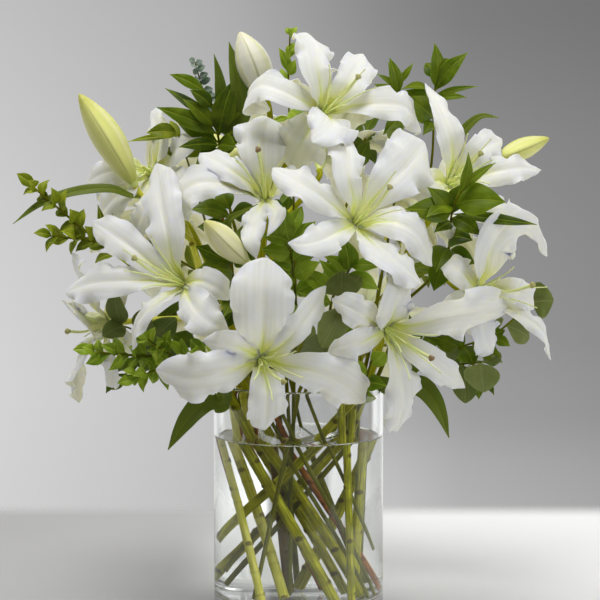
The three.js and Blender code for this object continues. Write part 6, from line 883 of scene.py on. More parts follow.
def petal_material(name, tint, shade):
    h = Shader(name, 0.5)
    s, v, side = h.attr("sv"); al, ac, seed = h.attr("mm")
    dist = h.math("ABSOLUTE", ac)
    # the face: lime throat and a nectary line running up the furrow; their lime is also painted lighter than the
    # flower's own, painted light that lifts the shade deep in the funnel
    throat = h.step(al, 29.0, 10.0)
    line = h.math("MULTIPLY", h.step(dist, 2.0, 0.3), h.step(al, 50.0, 16.0))
    halo = h.math("MULTIPLY", h.step(dist, 6.0, 0.5, 0.0, 0.26), h.step(al, 54.0, 20.0))
    g_in = h.math("MAXIMUM", h.math("MULTIPLY", throat, 0.85), halo)
    face = h.mix(h.math("MULTIPLY", line, 0.65), h.mix(g_in, tint, (0.92, 0.96, 0.42)), (0.74, 0.83, 0.14))
    # the back: green keel and foot
    keel = h.math("MULTIPLY", h.step(dist, 4.5, 0.6, 0.0, 0.34), h.step(s, 0.98, 0.25))
    foot = h.step(al, 50.0, 4.0, 0.0, 0.55)
    back = h.mix(h.math("MAXIMUM", keel, foot), shade, (0.50, 0.56, 0.20))
    col = h.mix(side, back, face)
    # fine lengthwise veins and a faint mottling
    veins = h.noise(h.vec(h.math("MULTIPLY", al, 0.018), h.math("MULTIPLY", ac, 0.30), h.math("MULTIPLY", seed, 7.0)), 1.0, 2.5, 0.5)
    mott = h.noise(h.place(), 90.0, 3.0)
    col = h.mix(h.step(veins, 0.30, 0.78, 0.0, 0.26), col, (0.66, 0.66, 0.54), "MULTIPLY")
    col = h.mix(h.step(mott, 0.4, 0.75, 0.0, 0.07), col, (0.80, 0.80, 0.66))
    h.feed(h.p.inputs["Base Color"], col)
    h.feed(h.p.inputs["Roughness"], h.step(mott, 0.2, 0.8, 0.42, 0.6))
    h.p.inputs["Subsurface Weight"].default_value = 0.85
    h.p.inputs["Subsurface Radius"].default_value = (1.0, 0.92, 0.52)
    h.p.inputs["Subsurface Scale"].default_value = 0.003
    h.p.inputs["Specular IOR Level"].default_value = 0.32
    fine = h.noise(h.place(), 900.0, 2.0)
    h.bump(h.math("ADD", h.math("MULTIPLY", veins, 0.8), h.math("MULTIPLY", fine, 0.2)), 0.35, 0.0009)
    return h.m

def leaf_material(name, dark, mid, light, rough, gloss=0.5, back=None, coat=0.0):
    h = Shader(name, rough)
    s, v, side = h.attr("sv"); al, ac, seed = h.attr("mm")
    tone = h.noise(h.vec(seed, 0.37, 0.11), 9.0, 0.0)
    col = h.mix(h.step(tone, 0.3, 0.7), dark, mid)
    patch = h.noise(h.place(), 55.0, 3.0)
    col = h.mix(h.step(patch, 0.42, 0.72, 0.0, 0.5), col, light)
    dist = h.math("ABSOLUTE", ac)
    rib = h.step(dist, 0.75, 0.1, 0.0, 0.75)
    veins = h.noise(h.vec(h.math("MULTIPLY", al, 0.05), h.math("MULTIPLY", dist, 1.1), seed), 1.0, 1.0)
    col = h.mix(rib, col, light)
    col = h.mix(h.step(veins, 0.5, 0.75, 0.0, 0.3), col, light)
    rim = h.step(h.math("ABSOLUTE", v), 0.86, 1.0, 0.0, 0.4)
    col = h.mix(rim, col, light)
    if back:
        col = h.mix(side, h.mix(rib, back, light), col)
    h.feed(h.p.inputs["Base Color"], col)
    h.feed(h.p.inputs["Roughness"], h.step(patch, 0.25, 0.8, rough - 0.07, rough + 0.12))
    h.p.inputs["Specular IOR Level"].default_value = gloss
    h.p.inputs["Subsurface Weight"].default_value = 0.12
    h.p.inputs["Subsurface Radius"].default_value = (0.5, 1.0, 0.2)
    h.p.inputs["Subsurface Scale"].default_value = 0.002
    if coat:
        h.p.inputs["Coat Weight"].default_value = coat
        h.p.inputs["Coat Roughness"].default_value = 0.25
    h.bump(h.math("ADD", h.math("MULTIPLY", veins, 0.6), h.math("MULTIPLY", h.step(dist, 1.2, 0.0), -0.6)), 0.5, 0.0006)
    return h.m

def stem_material(name, base, pale, dark, rough=0.45, bark=False):
    h = Shader(name, rough)
    s, v, side = h.attr("sv"); al, ac, seed = h.attr("mm")
    streak = h.noise(h.vec(h.math("MULTIPLY", al, 0.03), h.math("MULTIPLY", h.math("SINE", h.math("MULTIPLY", v, 3.1416)), 1.6), seed), 1.6, 3.0)
    spots = h.noise(h.place(), 160.0 if bark else 70.0, 4.0)
    col = h.mix(h.step(streak, 0.35, 0.7), base, pale)
    col = h.mix(h.step(spots, 0.52 if bark else 0.6, 0.75, 0.0, 0.85 if bark else 0.5), col, dark)
    # leaf scars
    col = h.mix(h.step(side, 0.85, 0.25, 0.0, 0.85), col, dark)
    # cut ends show the pith
    col = h.mix(h.step(side, 1.3, 1.7), col, (0.55, 0.56, 0.34))
    h.feed(h.p.inputs["Base Color"], col)
    h.feed(h.p.inputs["Roughness"], h.step(spots, 0.3, 0.8, rough - 0.08, rough + 0.15))
    h.p.inputs["Specular IOR Level"].default_value = 0.1
    if not bark:
        h.p.inputs["Subsurface Weight"].default_value = 0.1
        h.p.inputs["Subsurface Radius"].default_value = (0.6, 1.0, 0.3)
        h.p.inputs["Subsurface Scale"].default_value = 0.002
    h.bump(h.math("ADD", h.math("MULTIPLY", streak, 0.5), h.math("MULTIPLY", spots, 0.5)), 0.6 if bark else 0.3, 0.0008)
    return h.m

def bud_material(name, base, ridge, tip, foot):
    """v runs round the bud; the six keels lie at whole sixths"""
    h = Shader(name, 0.46)
    s, v, side = h.attr("sv"); al, ac, seed = h.attr("mm")
    c = h.math("COSINE", h.math("MULTIPLY", v, 3.0 * math.pi))
    keel = h.step(c, 0.45, 1.0)
    seam = h.step(c, -0.86, -1.0)
    col = h.mix(h.math("MULTIPLY", keel, 0.8), base, ridge)
    col = h.mix(h.math("MULTIPLY", seam, 0.6), col, (0.26, 0.28, 0.06))
    col = h.mix(h.step(s, 0.74, 1.0, 0.0, 0.85), col, tip)
    col = h.mix(h.step(s, 0.28, 0.0, 0.0, 0.85), col, foot)
    veins = h.noise(h.vec(h.math("MULTIPLY", al, 0.02), h.math("MULTIPLY", h.math("SINE", h.math("MULTIPLY", v, math.pi)), 9.0), seed), 1.0, 2.0)
    col = h.mix(h.step(veins, 0.45, 0.75, 0.0, 0.25), col, ridge)
    h.feed(h.p.inputs["Base Color"], col)
    h.feed(h.p.inputs["Roughness"], h.step(veins, 0.3, 0.8, 0.4, 0.55))
    h.p.inputs["Subsurface Weight"].default_value = 0.3
    h.p.inputs["Subsurface Radius"].default_value = (0.9, 1.0, 0.4)
    h.p.inputs["Subsurface Scale"].default_value = 0.003
    h.p.inputs["Specular IOR Level"].default_value = 0.35
    h.bump(veins, 0.35, 0.0008)
    return h.m

def clear_material(name, ior, tint, ripple, scale):
    """glass or water: bends light, and lets lamp light straight through"""
    h = Shader(name, 0.0)
    h.p.inputs["Transmission Weight"].default_value = 1.0
    h.p.inputs["IOR"].default_value = ior
    h.p.inputs["Base Color"].default_value = (*tint, 1.0)
    h.p.inputs["Specular IOR Level"].default_value = 0.32
    spots = h.noise(h.place(), scale, 2.0)
    h.feed(h.p.inputs["Roughness"], h.step(spots, 0.45, 0.9, 0.0, 0.015))
    if ripple:
        h.bump(spots, ripple, 0.0006)
    mix = h.t.nodes.new("ShaderNodeMixShader")
    through = h.t.nodes.new("ShaderNodeBsdfTransparent")
    through.inputs[0].default_value = (*[0.97 * c for c in tint], 1.0)
    path = h.t.nodes.new("ShaderNodeLightPath")
    h.t.links.new(path.outputs["Is Shadow Ray"], mix.inputs[0])
    h.t.links.new(h.p.outputs[0], mix.inputs[1])
    h.t.links.new(through.outputs[0], mix.inputs[2])
    h.t.links.new(mix.outputs[0], h.out.inputs[0])
    return h.m

def plain_material(name, colour, rough, vary, scale):
    h = Shader(name, rough)
    n = h.noise(h.place(), scale, 4.0)
    col = h.mix(h.step(n, 0.3, 0.75), colour, vary)
    h.feed(h.p.inputs["Base Color"], col)
    h.feed(h.p.inputs["Roughness"], h.step(n, 0.3, 0.8, rough - 0.05, rough + 0.1))
    h.p.inputs["Subsurface Weight"].default_value = 0.15
    h.p.inputs["Subsurface Scale"].default_value = 0.002
    h.bump(n, 0.3, 0.0004)
    return h.m

PETAL = petal_material("lily_petal", (0.885, 0.88, 0.82), (0.83, 0.825, 0.74))
FILAMENT = plain_material("filament", (0.84, 0.89, 0.42), 0.45, (0.78, 0.85, 0.34), 400.0)
STYLE = plain_material("style", (0.76, 0.82, 0.30), 0.4, (0.80, 0.85, 0.42), 300.0)
STIGMA = plain_material("stigma", (0.22, 0.13, 0.05), 0.5, (0.32, 0.22, 0.08), 900.0)
STIGMA_GREEN = plain_material("stigma_green", (0.44, 0.44, 0.15), 0.5, (0.36, 0.34, 0.10), 900.0)
OVARY = plain_material("ovary", (0.76, 0.83, 0.26), 0.45, (0.80, 0.86, 0.34), 500.0)
BUD = [
    bud_material("bud_green", (0.80, 0.81, 0.26), (0.86, 0.85, 0.42), (0.60, 0.60, 0.12), (0.52, 0.58, 0.11)),
    bud_material("bud_white", (0.93, 0.91, 0.78), (0.82, 0.82, 0.50), (0.88, 0.85, 0.60), (0.66, 0.70, 0.30)),
    bud_material("bud_cream", (0.87, 0.84, 0.54), (0.80, 0.79, 0.38), (0.70, 0.68, 0.20), (0.46, 0.48, 0.12)),
]
LILY_LEAF = leaf_material("lily_leaf", (0.062, 0.095, 0.003), (0.110, 0.155, 0.005), (0.20, 0.245, 0.014), 0.46, 0.12, (0.13, 0.17, 0.02))
MYRTLE = leaf_material("myrtle_leaf", (0.095, 0.125, 0.004), (0.225, 0.270, 0.010), (0.39, 0.43, 0.034), 0.44, 0.15, (0.23, 0.27, 0.025))
RUSCUS = leaf_material("ruscus_leaf", (0.036, 0.062, 0.002), (0.098, 0.146, 0.003), (0.20, 0.265, 0.010), 0.42, 0.15, (0.10, 0.145, 0.010))
EUCA = leaf_material("eucalyptus_leaf", (0.100, 0.122, 0.030), (0.165, 0.190, 0.050), (0.25, 0.28, 0.095), 0.55, 0.2, (0.18, 0.21, 0.075))
BLUE = leaf_material("eucalyptus_blue", (0.13, 0.17, 0.14), (0.20, 0.25, 0.21), (0.30, 0.35, 0.30), 0.55, 0.3, (0.18, 0.22, 0.18))
# a lighter green for three sprigs: partly their own lighter tone, partly painted light that lifts the shade inside the
# bouquet
LIGHTER_PAINTED_LIT_LEAF = leaf_material("lighter_painted_lit_leaf", (0.135, 0.220, 0.010), (0.270, 0.385, 0.022), (0.45, 0.56, 0.070), 0.42, 0.15, (0.26, 0.36, 0.04))
LEAF = {"myrtle": MYRTLE, "ruscus": RUSCUS, "euca": EUCA, "blue": BLUE}
LILY_STEM = stem_material("lily_stem", (0.225, 0.232, 0.002), (0.58, 0.57, 0.020), (0.095, 0.070, 0.003), 0.45)
# painted light: a much lighter, lit copy of the lily stem colour, for the two front-left stems the light catches
LILY_STEM_PAINTED_LIT = stem_material("lily_stem_painted_lit", (0.58, 0.57, 0.030), (0.86, 0.83, 0.16), (0.16, 0.12, 0.006), 0.45)
GREEN_STEM = stem_material("green_stem", (0.105, 0.110, 0.002), (0.21, 0.215, 0.006), (0.075, 0.048, 0.003))
WOOD_STEM = stem_material("wood_stem", (0.27, 0.085, 0.010), (0.40, 0.17, 0.025), (0.07, 0.028, 0.005), 0.6, True)
OLIVE_WOOD = stem_material("olive_wood_stem", (0.14, 0.098, 0.014), (0.23, 0.175, 0.035), (0.05, 0.034, 0.006), 0.6, True)
GLASS = clear_material("clear_glass", 1.5, (0.985, 0.993, 0.99), 0.0, 8.0)
WATER = clear_material("water", 1.333, (0.985, 0.992, 0.985), 0.0, 20.0)

# ------------------------------------------------------------------ blooms
WIDE = [(0, .20), (.08, .27), (.16, .38), (.25, .55), (.35, .73), (.45, .88), (.55, .98), (.65, 1.0), (.74, .93), (.82, .77), (.89, .54), (.95, .29), (.985, .11), (1, .02)]
SLIM = [(0, .30), (.08, .42), (.16, .55), (.25, .67), (.35, .79), (.45, .87), (.55, .98), (.64, 1.0), (.73, .93), (.81, .77), (.88, .56), (.94, .32), (.98, .13), (1, .02)]
BLUNT = [(0, .16), (.08, .20), (.16, .30), (.25, .46), (.35, .64), (.45, .80), (.55, .92), (.65, .99), (.74, 1.0), (.82, .93), (.89, .78), (.95, .54), (.985, .28), (1, .04)]

def tepal(piece, t, axis, throat, lift, seed, rows, cols):
    rng = np.random.default_rng(seed)
    C = np.array(t["c"], float)
    C[1] = C[1] - 4.0 * lift
    first = C[1] - throat
    rad = unit(first - (first @ axis) * axis)
    ctrl = np.vstack([throat - axis * 1.2 + rad * 2.8, throat + axis * 1.8 + rad * 8.2, C[1:]])
    M = spline(ctrl, rows)
    T = units(np.gradient(M, axis=0))
    L0 = unit(np.cross(axis, C[2] - C[0]))
    L = np.zeros_like(M)
    base = unit(L0 - (L0 @ T[0]) * T[0])
    for k in range(len(M)):           # carried along without twist
        base = unit(base - (base @ T[k]) * T[k])
        L[k] = base
    s = np.linspace(0, 1, rows + 1)
    twist = math.radians(t.get("r", 0)) * sstep(s, 0.2, 1.0) + math.radians(rng.uniform(-7, 7)) * sstep(s, 0.3, 1.0)
    N = np.cross(T, L)
    L, N = L * np.cos(twist)[:, None] + N * np.sin(twist)[:, None], N * np.cos(twist)[:, None] - L * np.sin(twist)[:, None]
    inner = t["k"] == 1
    blunt = t.get("q", 0.3 if inner else 0.1)
    W = t["w"] * 1.1 * (knots(WIDE if inner else SLIM, s) * (1 - blunt) + knots(BLUNT, s) * blunt)
    if "m" in t:
        W = W * knots([(k / (len(t["m"]) - 1), x) for k, x in enumerate(t["m"])], s)
    half = cols // 2
    a = np.linspace(0, 1, half + 1)
    ruffle = (0.92 if inner else 0.62) * t.get("f", 1.0)
    g = knots([(0, .1), (.15, .3), (.3, .50), (.55, .42), (.8, .28), (1, .1)], s)[:, None]
    c = knots([(0, .8), (.12, .66), (.24, .42), (.36, .15), (.46, 0), (1, 0)], s)[:, None]
    m = knots([(0, 0), (.22, .05), (.4, .38), (.6, .58), (.8, .62), (1, .75)], s)[:, None] * (1.0 if inner else 0.8)
    env = knots([(0, 0), (.22, .0), (.36, .55), (.5, 1), (.85, 1), (.95, .5), (1, .1)], s)[:, None]
    sides = []
    for sg in (-1, 1):
        k1, k2 = rng.uniform(2.6, 3.8), rng.uniform(5.2, 7.5)
        p1, p2 = rng.uniform(0, 2 * math.pi, 2)
        wave = np.sin(2 * math.pi * k1 * s + p1)[:, None] + 0.45 * np.sin(2 * math.pi * k2 * s + p2)[:, None]
        phi = g * (1 - a) ** 2.2 + c * a ** 0.7 - m * a ** 1.7 + ruffle * env * wave * a ** 2.4
        du = W[:, None] / half
        mid = 0.5 * (phi[:, 1:] + phi[:, :-1])
        lat = np.concatenate([np.zeros((rows + 1, 1)), np.cumsum(np.cos(mid) * du, 1)], 1)
        nor = np.concatenate([np.zeros((rows + 1, 1)), np.cumsum(np.sin(mid) * du, 1)], 1)
        X = M[:, None] + L[:, None] * (sg * lat)[..., None] + N[:, None] * nor[..., None]
        sides.append(X)
    P = np.concatenate([sides[0][:, :0:-1], sides[1]], 1)
    v = np.concatenate([-a[:0:-1], a])
    al = length(M) * s
    av = np.abs(v)[None, :]
    thin = np.clip(W / 5, 0.25, 1)[:, None]
    tin = (0.42 - 0.26 * av ** 2) * thin
    keel = knots([(0, 1.4), (.3, 1.2), (.7, .6), (1, .05)], s)[:, None] * np.exp(-(v[None, :] * W[:, None] / 2.4) ** 2)
    tout = (0.42 - 0.26 * av ** 2) * thin + keel * thin
    blade(piece, P, tin, tout, s[:, None], v[None, :], al[:, None], v[None, :] * W[:, None], rng.uniform(0, 1), PETAL)

def bloom(name, b, rows=46, cols=18):
    piece = Piece("looks_" + name)
    axis, foot = unit(b["a"]), np.array(b["t"], float)
    lift = unit(np.array([1.3, -1807.0, 420.0]) - foot)
    if lift @ axis < 0.5:
        lift = axis
    T = foot + 7.0 * lift
    seed = seed_of(name)
    rng = np.random.default_rng(seed)
    for k, t in enumerate(b["p"]):
        tepal(piece, t, axis, T, lift, seed * 10 + k, rows, cols)
    u = unit(np.cross([0, 0, 1.0], axis)); w = np.cross(axis, u)
    # receptacle, three-lobed ovary, style and stigma
    low, high = foot - axis * 16.5, T - axis * 0.6
    tube(piece, low + (high - low) * np.array([0, 0.14, 0.35, 0.62, 0.86, 1.0])[:, None], [2.4, 3.4, 4.4, 5.4, 5.0, 3.2], 14, OVARY, 0.3)
    z = np.linspace(-5, 15, 14)
    lobed = lambda al, th: 0.32 * np.cos(3 * th) * np.sin(np.clip(al / 20, 0, 1) * math.pi)
    tube(piece, T + axis * z[:, None], 2.0 * np.clip(np.sin((z + 7) / 24 * math.pi), 0.25, 1) ** 0.5, 14, OVARY, 0.5, lobed)
    S = b["s"]
    bow = rng.uniform(2.0, 4.0); dirb = unit(u * rng.uniform(-1, 1) - w * 0.9)
    z = np.linspace(10, S - 3.2, 22); f = (z - 10) / (S - 13)
    line = T + axis * z[:, None] + dirb * (bow * np.sin(f * math.pi))[:, None]
    tube(piece, line, 0.95 + 0.5 * f ** 2.2, 12, STYLE, 0.2)
    z = np.linspace(S - 4.2, S + 0.6, 9); f = np.linspace(0, 1, 9)
    three = lambda al, th: 0.55 * np.cos(3 * th) * np.sin(np.clip(al / 4.8, 0, 1) * math.pi) ** 0.8
    tube(piece, T + axis * z[:, None], 1.35 + 1.15 * np.sin(f * 2.5) * (1 - f ** 4 * 0.75), 18, STIGMA if name in ("lily_upper_left", "lily_lower_right") else STIGMA_GREEN, 0.2, three)
    # six filaments, their anthers taken off
    order = [unit(np.array(t["c"][1]) - T - ((np.array(t["c"][1]) - T) @ axis) * axis) for t in b["p"]]
    for k, rad in enumerate(order):
        out = rng.uniform(11, 19); up = S * rng.uniform(0.72, 0.86)
        pts = np.array([T - axis * 2 + rad * 2.6, T + axis * 12 + rad * 4.9, T + axis * up * 0.45 + rad * (4.6 + out * 0.28), T + axis * up * 0.8 + rad * (4.6 + out * 0.7), T + axis * up + rad * (4.6 + out * 1.05)])
        Q = spline(pts, 20); f = np.linspace(0, 1, 21)
        tube(piece, Q, 0.85 - 0.40 * f ** 1.2, 8, FILAMENT, 0.1 * k)
        d = unit(Q[-1] - Q[-2])
        tube(piece, Q[-1] + d * np.array([-0.8, 0, 1.0, 1.8])[:, None], [0.42, 0.62, 0.55, 0.2], 8, STYLE, 0.1)
    ob = piece.make(70)
    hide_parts(name)
    return ob

# ------------------------------------------------------------------ buds
def bud(name, b):
    piece = Piece("looks_" + name)
    B, E, R = np.array(b["b"], float), np.array(b["t"], float), b["r"]
    d = unit(E - B); L = np.linalg.norm(E - B)
    rng = np.random.default_rng(seed_of(name))
    side = unit(np.cross(d, rng.normal(size=3)))
    f = np.r_[np.linspace(0, 0.04, 4)[:-1], np.linspace(0.04, 0.96, 44), np.linspace(0.965, 1, 6)]
    P = B + d * (f * L)[:, None] + side * (np.sin(f * math.pi) * 1.2)[:, None]
    prof = np.interp(f, [0, .02, .06, .14, .26, .40, .52, .64, .76, .86, .93, .97, 1], [.20, .30, .42, .62, .83, .97, 1.0, .93, .76, .54, .34, .20, .05])
    w = np.hanning(5); w /= w.sum(); prof = np.convolve(np.r_[prof[0], prof[0], prof, prof[-1], prof[-1]], w, "valid")
    n = 48
    def relief(al, th):
        fr = np.clip(al / L, 0, 1)
        body = np.sin(np.clip(fr, 0, 1) * math.pi) ** 0.7
        d3 = np.abs((th * 3 / (2 * math.pi)) % 1 - 0.5) * 2      # 1 on a keel, 0 in a furrow
        r = R * prof_at(fr)
        return r * body * (0.085 * np.cos(3 * th) + 0.05 * np.cos(6 * th) - 0.055 * np.exp(-((1 - np.abs(np.cos(1.5 * th))) / 0.02) ** 1.0) * 0 - 0.07 * np.exp(-(d3 / 0.09) ** 2))
    prof_at = lambda fr: np.interp(fr, f, prof)
    tube(piece, P, R * prof, n, BUD[b["c"]], rng.uniform(0, 1), relief)
    tube(piece, B + d * np.array([-3.2, -2, -0.4, 1.4, 3.0])[:, None], [2.3, 3.1, R * .27, R * .33, R * .2], 16, OVARY, 0.1)
    ob = piece.make(60)
    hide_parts(name)
    return ob

# ------------------------------------------------------------------ leaves
SHAPE = {
    "myrtle": [(0, .05), (.07, .10), (.15, .46), (.28, .90), (.42, 1.12), (.56, 1.10), (.70, .88), (.82, .58), (.92, .25), (1, .02)],
    "ruscus": [(0, .05), (.05, .13), (.14, .54), (.26, .96), (.38, 1.18), (.52, 1.18), (.68, .94), (.82, .56), (.93, .20), (1, .02)],
    "euca": [(0, .04), (.08, .06), (.15, .40), (.24, .76), (.36, .98), (.50, 1.0), (.66, .92), (.80, .72), (.91, .44), (.97, .22), (1, .04)],
    "blue": [(0, .06), (.10, .12), (.20, .60), (.38, .96), (.55, 1.0), (.72, .85), (.86, .58), (.95, .3), (1, .05)],
}
def leaf(piece, l, kind, seed, mat, rows=14, half=4):
    rng = np.random.default_rng(seed)
    B, E, w, arch = np.array(l[0:3], float), np.array(l[3:6], float), l[6], l[7]
    T0 = unit(E - B); n0 = np.array(l[8:11], float); n0 = unit(n0 - (n0 @ T0) * T0)
    S0 = np.cross(n0, T0)
    ln = np.linalg.norm(E - B)
    s = np.linspace(0, 1, rows + 1)
    bow = arch * 4 * s * (1 - s) * 1.0
    sway = rng.uniform(-0.05, 0.05) * ln * np.sin(s * math.pi)
    droop = -ln * (0.10 if kind in ("ruscus", "myrtle") else 0.03) * rng.uniform(0.2, 1.4) * s ** 3
    M = B + T0 * (s * ln)[:, None] + n0 * (bow + droop)[:, None] + S0 * sway[:, None]
    T = units(np.gradient(M, axis=0))
    L = units(S0 - (T @ S0)[:, None] * T); N = np.cross(T, L)
    # L x N orientation: the face looks along n0
    tw = math.radians(rng.uniform(-16, 16)) * s
    if (N[rows // 2] @ n0) < 0:
        L = -L; N = -N
    L, N = L * np.cos(tw)[:, None] + N * np.sin(tw)[:, None], N * np.cos(tw)[:, None] - L * np.sin(tw)[:, None]
    W = w * 0.5 * 1.06 * knots(SHAPE[kind], s)
    W = np.maximum(W, 0.28)
    a = np.linspace(0, 1, half + 1)
    fold = {"ruscus": 0.30, "myrtle": 0.42, "euca": 0.10, "blue": 0.2}[kind] * rng.uniform(0.5, 1.4)
    out = []
    for sg in (-1, 1):
        wave = 0.22 * np.sin(2 * math.pi * rng.uniform(1.2, 2.2) * s + rng.uniform(0, 6.28))[:, None]
        phi = fold * (1 - 0.7 * a)[None, :] + wave * a[None, :] ** 1.5 - (0.25 if kind != "euca" else 0.1) * a[None, :] ** 2
        du = W[:, None] / half
        mid = 0.5 * (phi[:, 1:] + phi[:, :-1])
        lat = np.concatenate([np.zeros((rows + 1, 1)), np.cumsum(np.cos(mid) * du, 1)], 1)
        nor = np.concatenate([np.zeros((rows + 1, 1)), np.cumsum(np.sin(mid) * du, 1)], 1)
        out.append(M[:, None] + L[:, None] * (sg * lat)[..., None] + N[:, None] * nor[..., None])
    P = np.concatenate([out[0][:, :0:-1], out[1]], 1)
    v = np.concatenate([-a[:0:-1], a])
    th = (0.24 - 0.1 * np.abs(v))[None, :] * np.clip(W / 1.5, 0.4, 1)[:, None]
    rib = 0.32 * np.exp(-(v[None, :] * W[:, None] / 0.7) ** 2) * (1 - s[:, None] * 0.8)
    blade(piece, P, th, th + rib, s[:, None], v[None, :], (s * ln)[:, None], v[None, :] * W[:, None], rng.uniform(0, 1), mat)

def strip(piece, l, seed):
    """long lily leaf along a midrib"""
    rng = np.random.default_rng(seed)
    C = np.array(l["c"], float); n0 = unit(l["n"])
    rows, half = 36, 5
    M = spline(C, rows); T = units(np.gradient(M, axis=0))
    N = units(n0 - (T @ n0)[:, None] * T); L = np.cross(N, T)
    s = np.linspace(0, 1, rows + 1)
    W = l["w"] * 0.5 * 1.08 * knots([(0, .28), (.06, .34), (.16, .66), (.3, .92), (.45, 1), (.6, .95), (.75, .74), (.87, .44), (.95, .18), (1, .02)], s)
    W = np.maximum(W, 0.25)
    a = np.linspace(0, 1, half + 1); out = []
    for sg in (-1, 1):
        wave = 0.2 * np.sin(2 * math.pi * rng.uniform(1.5, 3) * s + rng.uniform(0, 6.28))[:, None]
        phi = 0.5 * (1 - 0.8 * a)[None, :] + wave * a[None, :] ** 1.5 - 0.25 * a[None, :] ** 2
        du = W[:, None] / half; mid = 0.5 * (phi[:, 1:] + phi[:, :-1])
        lat = np.concatenate([np.zeros((rows + 1, 1)), np.cumsum(np.cos(mid) * du, 1)], 1)
        nor = np.concatenate([np.zeros((rows + 1, 1)), np.cumsum(np.sin(mid) * du, 1)], 1)
        out.append(M[:, None] - L[:, None] * (sg * lat)[..., None] + N[:, None] * nor[..., None])
    P = np.concatenate([out[0][:, :0:-1], out[1]], 1); v = np.concatenate([-a[:0:-1], a])
    th = np.broadcast_to((0.3 - 0.12 * np.abs(v))[None, :], (rows + 1, len(v))) * np.clip(W / 2, 0.4, 1)[:, None]
    rib = 0.5 * np.exp(-(v[None, :] * W[:, None] / 0.9) ** 2) * (1 - s[:, None] * 0.8)
    al = length(M) * s
    blade(piece, P, th, th + rib, s[:, None], v[None, :], al[:, None], v[None, :] * W[:, None], rng.uniform(0, 1), LILY_LEAF)

# ------------------------------------------------------------------ stems
def stem_path(poly, step):
    """straight through the water, then a smooth curve above the mouth"""
    p = np.array(poly, float)
    lower = p[0] + (p[1] - p[0]) * np.linspace(0, 1, max(3, int(np.linalg.norm(p[1] - p[0]) / step)) + 1)[:, None]
    if len(p) == 2:
        return lower
    d = unit(p[1] - p[0])
    up = spline(np.vstack([p[1] - d * 30, p[1:]]), 400)
    up = up[int(np.argmin(np.linalg.norm(up - p[1], axis=1))):]
    up = spline(up[:: max(1, len(up) // 30)].tolist() + [up[-1].tolist()], max(4, int(length(up) / step)))
    return np.vstack([lower, up[1:]])

def nodes_relief(rng, every, height, twist):
    """leaf scars set spirally up a lily stem"""
    ph = rng.uniform(0, 6.28); off = rng.uniform(0, every)
    def f(al, th):
        r = np.zeros(np.broadcast(al, th).shape)
        top = float(np.max(al)); k = 0
        z = off
        while z < top:
            dth = (th - (ph + k * twist) + math.pi) % (2 * math.pi) - math.pi
            r = r + height * np.exp(-((al - z) / 1.5) ** 2) * np.exp(-(dth / 0.55) ** 2)
            r = r + 0.22 * height * np.exp(-((al - z + 1.2) / 2.2) ** 2)
            k += 1
            z = off + every * (k + 0.35 * math.sin(k * 2.1 + ph))
        return r
    return f

def lily_stem(name, sdef):
    piece = Piece("looks_" + name)
    seed = seed_of(name); rng = np.random.default_rng(seed)
    # painted light: the two front-left stems take the lit copy of the stem colour
    mat = LILY_STEM_PAINTED_LIT if name in ("lily_stem_1", "lily_stem_2") else LILY_STEM
    for i, (poly, r) in enumerate(sdef["tubes"]):
        if i == 0:
            P = stem_path(poly, 1.6)
            f = np.linspace(0, 1, len(P))
            R = r * (1.07 - 0.18 * f) * (1 + 0.02 * np.sin(f * 19 + seed))
            R[-3:] *= [0.95, 0.8, 0.5]
            tube(piece, P, R, 16, mat, rng.uniform(0, 1), nodes_relief(rng, 25, 0.8, 2.4), scars=True)
        else:
            L = length(np.array(poly, float))
            P = spline(poly, max(6, int(L / 2.5)))
            f = np.linspace(0, 1, len(P))
            R = r * (1.0 + 0.12 * np.exp(-f * 12) + 0.10 * sstep(f, 0.8, 1.0))
            tube(piece, P, R, 12, mat, rng.uniform(0, 1))
    for k, l in enumerate(sdef["ll"]):
        strip(piece, l, seed * 7 + k)
    ob = piece.make(60)
    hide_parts(name)
    return ob

def green_branch(name, g):
    piece = Piece("looks_" + name)
    seed = seed_of(name); rng = np.random.default_rng(seed)
    wood = g["wood"] == "wood"
    # these three sprigs take the lighter green, partly painted light lifting the shade inside the bouquet
    lighter_painted_lit = LIGHTER_PAINTED_LIT_LEAF if name in ("ruscus_branch_centre", "myrtle_branch_lower_left", "myrtle_branch_centre") else None
    for i, (poly, r) in enumerate(g["tubes"]):
        if i == 0:
            P = stem_path(poly, 2.2)
            f = np.linspace(0, 1, len(P))
            rel = nodes_relief(rng, 17 if wood else 31, 0.45 if wood else 0.3, 2.4)
            R = r * (1.0 - 0.12 * f); R[-2:] *= [0.85, 0.6]
            tube(piece, P, R, 12, (OLIVE_WOOD if name.startswith("ruscus") else WOOD_STEM) if wood else GREEN_STEM, rng.uniform(0, 1), rel, scars=True)
        else:
            P = spline(poly, max(6, int(length(np.array(poly, float)) / 2.5)))
            f = np.linspace(0, 1, len(P))
            tube(piece, P, r * (1.05 - 0.5 * f), 8, GREEN_STEM, rng.uniform(0, 1))
    for k, l in enumerate(g["leaves"]):
        leaf(piece, l, g["kind"], seed * 31 + k, lighter_painted_lit if lighter_painted_lit else LEAF[g["kind"]])
    ob = piece.make(60)
    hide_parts(name)
    return ob

for name, b in BLOOMS.items():
    bloom(name, b)
for name, b in BUDS.items():
    bud(name, b)
for name, b in STEMS.items():
    lily_stem(name, b)
for name, b in GREENS.items():
    green_branch(name, b)

# ------------------------------------------------------------------ vase and water
def arc(cx, cz, r, a0, a1, n):
    t = np.radians(np.linspace(a0, a1, n + 1))
    return [(cx + r * math.cos(x), cz + r * math.sin(x)) for x in t]

